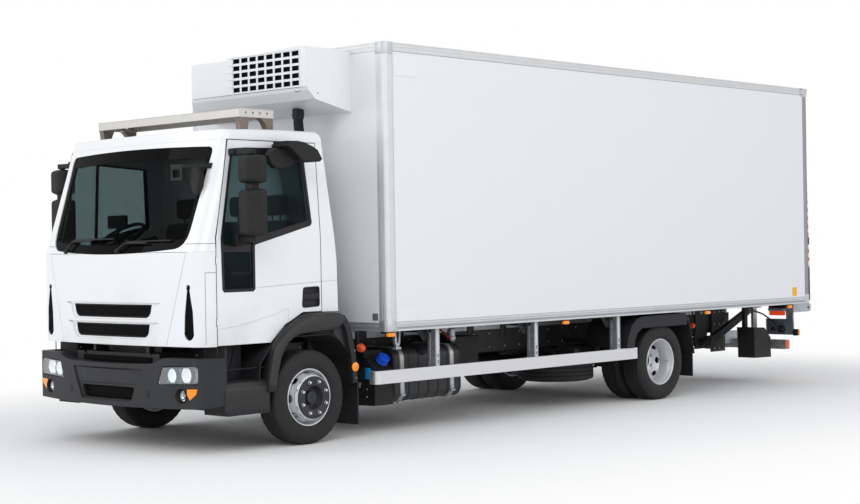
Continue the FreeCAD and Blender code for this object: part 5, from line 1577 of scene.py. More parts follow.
@dataclass
class FrontLamps:
    """Headlamps, fog lamps and indicators in the bumper."""

    # Each bowl: across, up, radius, depth of its mouth behind the bumper's face.
    bowls: tuple[tuple[float, float, float, float], ...] = (
        (0.770, 0.620, 0.056, 0.034), (0.916, 0.626, 0.064, 0.036))
    fog: tuple[float, float, float] = (0.892, 0.466, 0.052)

    def bowl(self, mould: Mould, x: float, z: float, radius: float, mouth: float,
             deep: float = 0.028) -> None:
        """Adds a round reflector with a bulb shield in its middle.

        Args:
            mould: what it is added to.
            x: its place across the truck.
            z: its height.
            radius: radius of its mouth.
            mouth: how far its mouth lies behind the bumper's face.
            deep: its depth.
        """
        centre = (x, BUMPER_FACE.at(x) + mouth, z)
        mould.lathe([(0, radius), (deep * 0.35, radius * 0.9), (deep * 0.75, radius * 0.6),
                     (deep, radius * 0.25), (deep, 0)], centre, Axis.Y, 40)
        mould.lathe([(deep * 0.2, 0), (deep * 0.22, radius * 0.2), (deep * 0.4, radius * 0.27),
                     (deep, radius * 0.27)], centre, Axis.Y, 20)

    def build(self) -> None:
        """Builds the housings, reflectors and lenses."""
        housing = Mould()
        edge = resample(LAMP, 0.04)
        inner = offset_outline(edge, -0.010)
        housing.frame(BUMPER_FACE.ring(edge, 0.010), BUMPER_FACE.ring(inner, 0.016))
        housing.cup([BUMPER_FACE.ring(inner, 0.016), BUMPER_FACE.ring(inner, 0.092)])
        for x, z, radius, mouth in self.bowls:
            centre = (x, BUMPER_FACE.at(x) + mouth - 0.004, z)
            housing.lathe([(0, radius + 0.001), (0, radius + 0.006), (0.034, radius + 0.006)],
                          centre, Axis.Y, 40)
        housing = housing.both_sides().piece("lamp_housings", BLACK_TRIM, "chassis",
                                             "black_plastic", thickness=0.003)
        bright = Mould()
        for bowl in self.bowls:
            self.bowl(bright, *bowl)
        bright.both_sides().piece("lamp_reflectors", BOWL_WHITE, "chassis", "lamp_clear",
                                  thickness=0.001, smooth=50)
        panel = Mould()
        panel.patch(BUMPER_FACE.sheet(offset_outline(LAMP, -0.016), 0.066, 16, 8))
        panel.both_sides().piece("lamp_panels", LAMP_PANEL, "chassis", "lamp_clear",
                                 thickness=0.001)
        lens = Mould()
        lens.patch(BUMPER_FACE.sheet(LAMP, 0.008, 24, 10))
        lens = lens.both_sides().piece("lamp_lenses", CLEAR_LENS, "chassis", "lamp_clear",
                                       thickness=0.004)
        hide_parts("headlamps")
        self.build_fog()
        self.build_indicators()

    def build_fog(self) -> None:
        """Builds the fog lamps in their wells."""
        x, z, radius = self.fog
        face = BUMPER_FACE.at(x)
        well = Mould()
        well.lathe([(0.004, 0.0585), (0.001, 0.0605), (-0.002, 0.0585), (0.004, 0.0545),
                    (0.046, 0.0535), (0.046, 0.0)], (x, face, z), Axis.Y, 40)
        well.lathe([(0.028, radius), (0.022, radius - 0.003), (0.022, radius - 0.009),
                    (0.034, radius - 0.010)], (x, face, z), Axis.Y, 40)
        well.both_sides().piece("fog_wells", BLACK_TRIM, "chassis", "black_plastic", smooth=50)
        bowl = Mould()
        self.bowl(bowl, x, z, radius - 0.010, 0.028, 0.03)
        bowl.both_sides().piece("fog_reflectors", CHROME, "chassis", "lamp_clear", smooth=50)
        lens = Mould()
        lens.lathe([(0.029, radius - 0.009), (0.022, (radius - 0.009) * 0.8),
                    (0.018, (radius - 0.009) * 0.4), (0.017, 0)], (x, face, z), Axis.Y, 36)
        lens.both_sides().piece("fog_lenses", CLEAR_LENS, "chassis", "lamp_clear",
                                thickness=0.002, smooth=50)

    def build_indicators(self) -> None:
        """Builds the amber corner lenses over their bases."""
        base = Mould()
        edge = resample(offset_outline(INDICATOR, 0.002), 0.03)
        base.cup([BUMPER_FACE.ring(edge, -0.001), BUMPER_FACE.ring(edge, 0.016)])
        base.both_sides().piece("indicator_bases", BLACK_TRIM, "chassis", "black_plastic",
                                thickness=0.002)
        lens = Mould()
        edge = resample(offset_outline(INDICATOR, -0.002), 0.03)
        lens.cup([BUMPER_FACE.ring(edge, 0.012), BUMPER_FACE.ring(edge, 0.001),
                  BUMPER_FACE.ring(offset_outline(edge, -0.004), -0.003)])
        lens.both_sides().piece("indicator_lenses", AMBER_LENS, "chassis", "lamp_clear")


@dataclass
class BumperTrim:
    """Meshes, screw heads and tow eyes' covers of the bumper."""

    panel_screws: tuple[Pair, ...] = ((-0.37, 0.632), (0.37, 0.632), (-0.34, 0.562),
                                      (0.34, 0.562))
    # Centres of the two tow eyes' covers, and half their sides.
    covers: tuple[Pair, ...] = ((-0.525, 0.470), (0.525, 0.470))
    cover_half: Pair = (0.034, 0.030)

    def build(self) -> None:
        """Builds the lot on the chassis."""
        mesh = Mould()
        # The meshes' holes are painted near-black, for the shade behind them
        mesh.patch(BUMPER_FACE.sheet(BUMPER_MESH, 0.048, 24, 6))
        mesh.patch([[(x, -1.0795, z) for x in steps(-0.47, 0.47, 20)]
                    for z in steps(0.700, 0.750, 4)])
        mesh.piece("bumper_meshes", MESH, "chassis", "black_plastic", thickness=0.003)
        trim = Mould()
        trim.studs([(x, BUMPER_FACE.at(x) + 0.010, z) for x, z in self.panel_screws], Axis.Y,
                   0.007, 0.003, -1.0)
        wide, high = self.cover_half
        for x, z in self.covers:
            edge = resample(rounded((x - wide, z - high), (x + wide, z + high), 0.010), 0.03)
            trim.cup([BUMPER_FACE.ring(edge, 0.004), BUMPER_FACE.ring(edge, -0.001),
                      BUMPER_FACE.ring(offset_outline(edge, -0.004), -0.003)])
        trim.piece("bumper_covers", BLACK_TRIM, "chassis", "black_plastic")


# Outlines of the side view, as (along, up).
WINDOW_EDGE = ((-0.724, 2.385), (0.025, 2.340), (0.075, 1.812), (0.062, 1.795),
               (-0.530, 1.645), (-0.545, 1.630), (-0.545, 1.290), (-0.560, 1.275),
               (-0.850, 1.275), (-0.862, 1.290), (-0.872, 1.690))
HANDLE_EDGE = ((-0.028, 1.116), (-0.040, 1.134), (-0.040, 1.154), (-0.030, 1.262),
               (-0.018, 1.280), (0.002, 1.284), (0.132, 1.288), (0.150, 1.280),
               (0.156, 1.262), (0.156, 1.142), (0.150, 1.126), (0.132, 1.120))
# Dark strips round the window: the slanting one below the rear pane, the glass's rear channel,
# the divider, the cross strip and the band over the glass; each with how far it stands out.
WINDOW_STRIPS: tuple[tuple[tuple[Pair, ...], float], ...] = (
    (((0.072, 1.800), (0.078, 1.836), (-0.524, 1.700), (-0.552, 1.690), (-0.552, 1.640),
      (-0.530, 1.640)), 0.003),
    (((0.070, 1.830), (0.026, 2.334), (-0.002, 2.336), (0.038, 1.826)), -0.004),
    (((-0.486, 1.656), (-0.486, 2.366), (-0.518, 2.368), (-0.518, 1.648)), -0.010),
    (((-0.868, 1.580), (-0.548, 1.580), (-0.548, 1.640), (-0.870, 1.640)), -0.008),
    (((-0.742, 2.376), (-0.730, 2.396), (-0.570, 2.409), (-0.200, 2.413), (0.012, 2.402),
      (0.040, 2.370), (0.036, 2.330), (0.020, 2.334), (-0.724, 2.378)), 0.0025))
CARD_EDGE = ((-0.640, 1.120), (-0.640, 1.262), (-0.500, 1.270), (-0.470, 1.600),
             (0.120, 1.740), (0.150, 1.700), (0.150, 1.120))
# Middle of the gap round a door, from its lower front corner round to its lower rear one.
DOOR_EDGE = ((-0.929, 0.660), (-0.929, 1.690), (-0.757, 2.467), (0.169, 2.467),
             (0.177, 1.078), (-0.032, 1.078), (-0.218, 0.988), (-0.3495, 0.873),
             (-0.375, 0.660))


@dataclass
class Door:
    """Window trim, handle and inner card of a door, and the dark line of its gap."""

    label: str
    side: float

    def skin(self, outline: Sequence[Pair], outward: float) -> list[Point]:
        """An outline of the side view laid on the door's skin."""
        return [(self.side * (cab_side(z) + outward), y, z) for y, z in outline]

    def build(self) -> None:
        """Builds the door's pieces."""
        body = f"{self.label}_door"
        seal = Mould()
        edge = resample(WINDOW_EDGE)
        outer, inner = offset_outline(edge, 0.010), offset_outline(edge, -0.014)
        seal.frames(self.skin(outer, 0.0), self.skin(outer, 0.0022), self.skin(inner, 0.0022),
                    self.skin(inner, -0.020))
        for outline, outward in WINDOW_STRIPS:
            self.panel(seal, outline, outward)
        seal.piece(f"window_seals_{self.label}", GLOSS_TRIM, body, "black_plastic")
        gap = Mould()
        edge = resample(DOOR_EDGE, 0.06)
        gap.tube([self.skin([point], -0.0025)[0] for point in edge], 0.0042, 8)
        gap.piece(f"door_gap_{self.label}", GLOSS_TRIM, "cab", "black_plastic")
        self.build_handle(body)
        # The door card's grey is darkened, as painted shade inside the cab
        card = Mould()
        card.prism(CARD_EDGE, Axis.X, self.side * 1.037, self.side * 1.053, 0.006)
        card.prism(rounded((-0.48, 1.325), (0.06, 1.395), 0.02), Axis.X, self.side * 0.985,
                   self.side * 1.045, 0.012)
        card.prism(rounded((-0.56, 1.135), (0.08, 1.225), 0.02), Axis.X, self.side * 1.004,
                   self.side * 1.045, 0.008)
        card.piece(f"door_card_{self.label}", SHADED_CABIN_GREY, body, "black_plastic")

    def panel(self, mould: Mould, outline: Sequence[Pair], outward: float) -> None:
        """Adds a flat strip on the skin, 6 mm thick."""
        edge = resample(outline, 0.08)
        mould.cup([self.skin(edge, outward - 0.006), self.skin(edge, outward)])

    def build_handle(self, body: str) -> None:
        """Builds the handle's dish, surround and grip."""
        edge = resample(offset_outline(HANDLE_EDGE, -0.001), 0.04)
        rim = offset_outline(edge, -0.010)
        dish = Mould()
        dish.cup([self.skin(edge, -0.016), self.skin(edge, 0.0015), self.skin(rim, 0.0015),
                  self.skin(rim, -0.014), self.skin(offset_outline(rim, -0.004), -0.019)])
        dish.prism([(-0.026, 1.178), (0.146, 1.180), (0.146, 1.232), (-0.022, 1.230)], Axis.X,
                   self.side * 1.0875, self.side * 1.1075, 0.008)
        dish.lathe([(0, 0.0075), (0.002, 0.0065), (0.002, 0.0)],
                   (self.side * 1.1075, 0.128, 1.206), sign=self.side, segments=20)
        dish.piece(f"door_handle_{self.label}", BLACK_TRIM, body, "black_plastic")


@dataclass
class Mirrors:
    """Mirror shells, glass, rims and bracket details."""

    # Lowest and highest point of each pane and of each head.
    panes: tuple[Pair, ...] = ((2.140, 2.300), (1.730, 2.038))
    heads: tuple[Pair, ...] = ((2.110, 2.330), (1.698, 2.070))
    # Middle of a head in plan, half its width, its depth forwards, and its back.
    middle: Pair = (1.298, -0.700)
    half: float = 0.103
    depth: float = 0.074
    back: float = -0.6535
    rounding: float = 0.034

    def build(self) -> None:
        """Builds them on both doors."""
        for label, side in SIDES:
            glass, rims = Mould(), Mould()
            for low, high in self.panes:
                edge = rounded((1.204, low), (1.366, high), 0.018)
                for mould, outline, first, last, bevel in (
                        (rims, offset_outline(edge, 0.006), -0.655, -0.650, 0.001),
                        (glass, edge, -0.651, -0.6475, 0.0008)):
                    mould.prism([(side * x, z) for x, z in outline], Axis.Y, first, last, bevel)
            body = f"{label}_door"
            glass.piece(f"mirror_glass_{label}", MIRROR_GLASS, body, "lamp_clear")
            rims.slab((side * 1.080, -0.755, 1.655), (side * 1.108, -0.672, 1.700), 0.008)
            rims.slab((side * 1.060, -0.758, 2.338), (side * 1.090, -0.674, 2.388), 0.008)
            rims.studs([(side * 1.1085, y, z) for y in (-0.742, -0.690)
                        for z in (1.664, 1.692)], Axis.X, 0.007, 0.004, side)
            rims.piece(f"mirror_rims_{label}", MIRROR_BLACK, body, "black_plastic")
            shells = Mould()
            for low, high in self.heads:
                self.add_shell(shells, side, low, high)
            shells.piece(f"mirror_shells_{label}", MIRROR_BLACK, body, "black_plastic",
                         smooth=50)

    def add_shell(self, mould: Mould, side: float, low: float, high: float) -> None:
        """Adds the rounded shell of one mirror head.

        Args:
            mould: what it is added to.
            side: 1 on the left, -1 on the right.
            low: height of its foot.
            high: height of its top.
        """
        x, y = self.middle
        plan = [(x + self.half * math.cos(angle), y + self.depth * math.sin(angle))
                for angle in steps(math.pi, 2 * math.pi, 20)]
        plan += [(x + self.half, self.back), (x - self.half, self.back)]
        for end, up in ((high, 1.0), (low, -1.0)):
            rings = [[(side * x, y, (low + high) / 2) for x, y in plan]]
            for turn in steps(0.0, math.pi / 2, 6):
                edge = offset_outline(plan, -self.rounding * (1 - math.cos(turn)))
                height = end - up * self.rounding * (1 - math.sin(turn))
                rings.append([(side * x, y, height) for x, y in edge])
            mould.cup(rings)


@dataclass
class CabInterior:
    """Seats, instrument hood and column inside the cab, darkened to paint the shade inside it."""

    # Each place: first and last x of a cushion, and how many people it holds.
    places: tuple[tuple[float, float, int], ...] = ((-0.83, -0.33, 1), (-0.06, 0.84, 2))

    def build(self) -> None:
        """Builds the seats and what stands on the dashboard."""
        foam, shells = Mould(), Mould()
        for first, last, people in self.places:
            width = (last - first) / people
            for seat in range(people):
                low, high = first + seat * width + 0.004, first + (seat + 1) * width - 0.004
                foam.slab((low, -0.325, 1.265), (high, 0.090, 1.405), 0.045, 4)
                foam.prism(((0.020, 1.370), (0.055, 1.780), (0.080, 1.835), (0.130, 1.845),
                            (0.165, 1.800), (0.140, 1.370)), Axis.X, low, high, 0.035, 4)
                middle = (low + high) / 2
                foam.slab((middle - 0.125, 0.078, 1.880), (middle + 0.125, 0.168, 2.055), 0.035,
                          4)
                for along in (-0.05, 0.05):
                    shells.rod((middle + along, 0.125, 1.82), (middle + along, 0.125, 1.90),
                               0.006, 10)
            shells.slab((first + 0.02, -0.300, 1.137), (last - 0.02, 0.110, 1.275), 0.015)
            shells.slab((first + 0.03, 0.135, 1.240), (last - 0.03, 0.172, 1.800), 0.012)
        seats = foam.piece("seat_cushions", CLOTH, "cab", "seat_fabric", smooth=50)
        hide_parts("seats")
        shells.piece("seat_frames", SHADED_CABIN_DARK, "cab", "black_plastic")
        self.build_dash()

    def build_dash(self) -> None:
        """Builds the hood over the instruments, the column and the box on its stand."""
        dash = Mould()
        dash.prism(((-0.800, 1.545), (-0.800, 1.640), (-0.740, 1.672), (-0.690, 1.650),
                    (-0.680, 1.545)), Axis.X, -0.80, -0.36, 0.015)
        dash.prism(((-0.930, 1.545), (-0.900, 1.640), (-0.800, 1.690), (-0.750, 1.600),
                    (-0.740, 1.545)), Axis.X, -0.36, -0.05, 0.02)
        dash.rod((-0.58, -0.610, 1.700), (-0.58, -0.735, 1.500), 0.042, 20, 0.006)
        dash.slab((-0.385, -0.885, 1.790), (-0.150, -0.835, 1.900), 0.012)
        dash.rod((-0.268, -0.860, 1.66), (-0.268, -0.860, 1.80), 0.014, 12)
        for x in (-0.90, -0.20, 0.20, 0.90):
            dash.slab((x - 0.07, -0.800, 1.558), (x + 0.07, -0.770, 1.566), 0.003)
        dash.slab((0.30, -0.760, 1.330), (0.78, -0.690, 1.470), 0.012)
        dash.piece("dash_fittings", SHADED_CABIN_DARK, "cab", "black_plastic")


@dataclass
class InsulatedBody:
    """Lines, rivets, castings, blank plates and marker lamps of the box."""

    half: float = 1.300
    front: float = 0.750
    rear: float = 7.490
    # Each line of a rail: its lower and upper edge, and how far it stands out.
    rail_lines: tuple[tuple[float, float, float], ...] = (
        (3.3235, 3.3345, 0.0035), (3.2950, 3.3000, 0.0022), (3.2600, 3.2670, 0.0035),
        (0.9540, 0.9605, 0.0035), (0.9260, 0.9310, 0.0022), (0.8860, 0.8970, 0.0040))
    rivet_heights: Pair = (3.2810, 0.9425)
    rivet_pitch: float = 0.168
    markers: tuple[float, ...] = (0.800, 3.160, 5.545, 7.185)
    casting: tuple[Pair, ...] = ((1.196, 0.7465), (1.262, 0.7465), (1.2920, 0.7585),
                                 (1.3035, 0.788), (1.3035, 0.857), (1.236, 0.857),
                                 (1.196, 0.834))
    # Lowest and highest point of the bottom and the top casting.
    casting_heights: tuple[Pair, ...] = ((0.8835, 0.986), (3.234, 3.3375))

    def build(self) -> None:
        """Builds all of it on the chassis."""
        self.build_lines()
        self.build_castings()
        self.build_markers()
        self.build_tags()

    def build_tags(self) -> None:
        """Builds the blank tags and plates on the left side and the front wall."""
        for name, finish, low, high in (
                ("yellow_tag", YELLOW_TAG, (7.220, 0.978), (7.310, 1.074)),
                ("pink_tag", PINK_TAG, (7.315, 0.990), (7.414, 1.140))):
            tag = Mould()
            tag.prism(rounded(low, high, 0.006), Axis.X, self.half - 0.0005, self.half + 0.0012)
            tag.piece(name, finish, "chassis", "box_white")
        plates, badge = Mould(), Mould()
        plates.prism(rounded((0.866, 3.052), (1.166, 3.238), 0.012), Axis.X, self.half - 0.0005,
                     self.half + 0.0030)
        plates.prism(rounded((0.880, 0.966), (1.120, 1.100), 0.006), Axis.X, self.half - 0.0005,
                     self.half + 0.0012)
        plates.piece("side_blanks", UNIT_WHITE, "chassis", "unit_white")
        badge.prism(rounded((1.118, 0.978), (1.186, 1.038), 0.005), Axis.Y, self.front - 0.0020,
                    self.front + 0.0005)
        badge.piece("front_blank", PLATE_GREY, "chassis", "rail_aluminium")

    def build_lines(self) -> None:
        """Builds the raised lines of the rails and posts, the seals and the rivets."""
        lines, seals, rivets = Mould(), Mould(), Mould()
        for low, high, out in self.rail_lines:
            lines.slab((self.half - 0.002, self.front + 0.106, low),
                       (self.half + out, self.rear - 0.002, high), 0.001, 1)
        for low, high in ((1.2370, 1.2415), (1.2570, 1.2605)):
            lines.slab((low, self.front - 0.0025, 0.986), (high, self.front + 0.002, 3.234),
                       0.001, 1)
        lines.slab((self.half - 0.002, 0.8440, 0.986), (self.half + 0.003, 0.8495, 3.234),
                   0.001, 1)
        lines.both_sides()
        for low, high, out in self.rail_lines:
            lines.slab((-1.195, self.front - out, low), (1.195, self.front + 0.002, high),
                       0.001, 1)
        lines.piece("rail_lines", RAIL_ALUMINIUM, "chassis", "rail_aluminium")
        bands = Mould()
        for low, high in ((0.888, 0.896), (0.902, 0.922), (0.936, 0.940)):
            bands.slab((self.half - 0.002, self.front + 0.106, low),
                       (self.half + 0.0016, self.rear - 0.002, high), 0.0005, 1)
        bands.both_sides()
        bands.slab((-1.195, self.front - 0.0016, 0.890), (1.195, self.front + 0.002, 0.922),
                   0.0005, 1)
        bands.piece("rail_bands", LOW_RAIL, "chassis", "rail_aluminium")
        for height in (0.9615, 3.2580):
            seals.slab((self.half - 0.002, 0.853, height - 0.002),
                       (self.half + 0.0008, self.rear - 0.002, height + 0.002))
        seals.slab((self.half - 0.002, 0.8500, 0.962), (self.half + 0.0008, 0.8535, 3.258))
        seals.both_sides().piece("panel_seals", SEALANT, "chassis", "rail_aluminium")
        count = round((self.rear - self.front - 0.25) / self.rivet_pitch)
        stations = steps(self.front + 0.16, self.rear - 0.06, count)
        rivets.studs([(self.half, y, z) for z in self.rivet_heights for y in stations], Axis.X,
                     0.0055, 0.0026, 1.0, 8)
        rivets.studs([(1.219, self.front, z) for z in steps(1.05, 3.17, 12)], Axis.Y, 0.0050,
                     0.0024, -1.0, 8)
        rivets.both_sides().piece("rail_rivets", RAIL_ALUMINIUM, "chassis", "rail_aluminium")

    def build_castings(self) -> None:
        """Builds the corner castings of the front posts and of the portal."""
        castings = Mould()
        for low, high in self.casting_heights:
            castings.prism(self.casting, Axis.Z, low, high, 0.004)
            for z in (low + 0.022, high - 0.022):
                castings.studs([(1.216, 0.7465, z)], Axis.Y, 0.006, 0.003, -1.0)
                castings.studs([(1.3035, 0.836, z)], Axis.X, 0.006, 0.003)
        cap = ((7.430, 3.252), (7.430, 3.3375), (7.588, 3.3375), (7.594, 3.318),
               (7.576, 3.236), (7.470, 3.236))
        castings.prism(cap, Axis.X, 1.270, 1.3035, 0.005)
        castings.prism(cap[2:] + ((7.566, 3.236), (7.566, 3.3375)), Axis.X, 1.194, 1.272, 0.004)
        foot = ((7.480, 0.884), (7.480, 0.990), (7.576, 0.990), (7.576, 0.884))
        castings.prism(foot, Axis.X, 1.268, 1.3035, 0.004)
        castings.both_sides().piece("corner_castings", CAST_GREY, "chassis", "rail_aluminium")

    def build_markers(self) -> None:
        """Builds the amber lamps that hang below the low rails."""
        base, lens = Mould(), Mould()
        for y in self.markers:
            base.prism(rounded((y - 0.052, 0.868), (y + 0.052, 0.8845), 0.006), Axis.X, 1.215,
                       1.272, 0.003)
            base.prism(rounded((y - 0.050, 0.840), (y + 0.050, 0.876), 0.012), Axis.X, 1.258,
                       1.270, 0.003)
            lens.prism(rounded((y - 0.044, 0.842), (y + 0.044, 0.874), 0.014), Axis.X, 1.268,
                       1.292, 0.009, 3)
        base.both_sides().piece("marker_bases", BLACK_TRIM, "chassis", "black_plastic")
        lens.both_sides().piece("marker_lenses", AMBER_LENS, "chassis", "lamp_clear")


@dataclass
class CoolingUnit:
    """Grille liners, fins, seams and hose fittings of the cooling unit."""

    # Edges of the grille's field, its openings and the width of the bars between them.
    low: float = 2.962
    top: float = 3.276
    left: float = -0.070
    right: float = 0.810
    columns: int = 8
    rows: int = 5
    bar: float = 0.022

    def build(self) -> None:
        """Builds all of it on the chassis."""
        pitch_x = (self.right - self.left) / self.columns
        pitch_z = (self.top - self.low) / self.rows
        liners, fins = Mould(), Mould()
        for level in range(self.rows):
            z_low = self.low + level * pitch_z + self.bar / 2
            for column in range(self.columns):
                x_low = self.left + column * pitch_x + self.bar / 2
                edge = rounded((x_low + 0.0006, z_low + 0.0006),
                               (x_low + pitch_x - self.bar - 0.0006,
                                z_low + pitch_z - self.bar - 0.0006), 0.002, 1)
                liners.cup([upright(edge, y) for y in (0.2445, 0.2835)])
                for share in (0.25, 0.5, 0.75):
                    z = z_low + share * (pitch_z - self.bar)
                    liners.slab((x_low + 0.001, 0.262, z - 0.0012),
                                (x_low + pitch_x - self.bar - 0.001, 0.282, z + 0.0012))
        for level in range(self.rows + 1):
            z = self.low + level * pitch_z
            half = self.bar / 2
            fins.hull([(-0.185, 0.2405, z), (-0.052, 0.2405, z - half),
                       (-0.052, 0.2405, z + half), (-0.058, 0.2310, z - half * 0.55),
                       (-0.058, 0.2310, z + half * 0.55), (-0.052, 0.2450, z)],
                      [(0, 1, 3), (0, 3, 4), (0, 4, 2), (0, 2, 5), (0, 5, 1), (1, 5, 2),
                       (1, 2, 4, 3)], 0.0015, 1)
        liners.piece("grille_liners", BLACK_TRIM, "chassis", "black_plastic")
        self.add_border(fins)
        fins.piece("unit_fins", UNIT_WHITE, "chassis", "unit_white", smooth=45)
        self.build_seams()

    def add_border(self, fins: Mould) -> None:
        """Adds the raised frame round the openings."""
        edge = rounded((self.left + 0.004, self.low + 0.004),
                       (self.right - 0.004, self.top - 0.004), 0.006)
        outer = offset_outline(edge, 0.008)
        fins.frames(upright(outer, 0.2398), upright(outer, 0.2370), upright(edge, 0.2370),
                    upright(edge, 0.2420))

    def build_seams(self) -> None:
        """Builds the dark joint lines, and the socket and clips of the hose."""
        seams = Mould()
        seams.slab((-0.610, 0.2412, 2.9535), (0.852, 0.2440, 2.9560))
        seams.slab((-0.9006, 0.480, 2.9535), (-0.8940, 0.748, 2.9555))
        seams.prism(((0.700, 2.9545), (0.742, 2.9210), (0.812, 2.9285), (0.812, 2.9260),
                     (0.741, 2.9180), (0.698, 2.9520)), Axis.Y, 0.2520, 0.2640)
        seams.studs([(0.8998, 0.36, 2.905)], Axis.X, 0.006, 0.003)
        seams.piece("unit_seams", SEAM_AND_SLOT_SHADE, "chassis", "black_plastic")
        socket = Mould()
        edge = rounded((0.424, 0.486), (0.496, 0.574), 0.012)
        socket.prism(edge, Axis.Z, 2.724, 2.810, 0.004)
        socket.prism(offset_outline(edge, 0.006), Axis.Z, 2.756, 2.764, 0.002)
        socket.piece("hose_socket", BLACK_TRIM, "chassis", "black_plastic")
        clips = Mould()
        for z in (2.30, 1.95, 1.60, 1.25, 0.95):
            clips.slab((0.426, 0.571, z), (0.494, 0.639, z + 0.022), 0.004)
            clips.slab((0.446, 0.636, z + 0.003), (0.474, 0.752, z + 0.019), 0.003)
        clips.piece("hose_clips", ZINC, "chassis", "galvanised")


@dataclass
class RoofBar:
    """Bolts and feet of the bar on the cab's roof."""

    half: float = 0.955
    # First and last station of each leg.
    legs: tuple[Pair, ...] = ((-0.540, -0.456), (-0.262, -0.190))

    def build(self) -> None:
        """Builds them on the cab."""
        bits = Mould()
        for first, last in self.legs:
            middle = (first + last) / 2
            bits.slab((0.886, first - 0.006, 2.5535), (0.960, last + 0.006, 2.5620), 0.002)
            bits.studs([(0.9545, middle - 0.022, 2.585), (0.9545, middle + 0.022, 2.585)],
                       Axis.X, 0.007, 0.004, 1.0, 6)
        for low, high in ((2.7245, 2.7310), (2.6600, 2.6650)):
            bits.slab((0.944, -0.551, low), (0.9575, -0.186, high), 0.0015)
        bits.both_sides()
        for z in (2.6630, 2.7265):
            bits.slab((-self.half, -0.5535, z - 0.0022), (self.half, -0.549, z + 0.0022),
                      0.001, 1)
        bits.piece("bar_fittings", BAR_PLATE, "cab", "rail_aluminium")


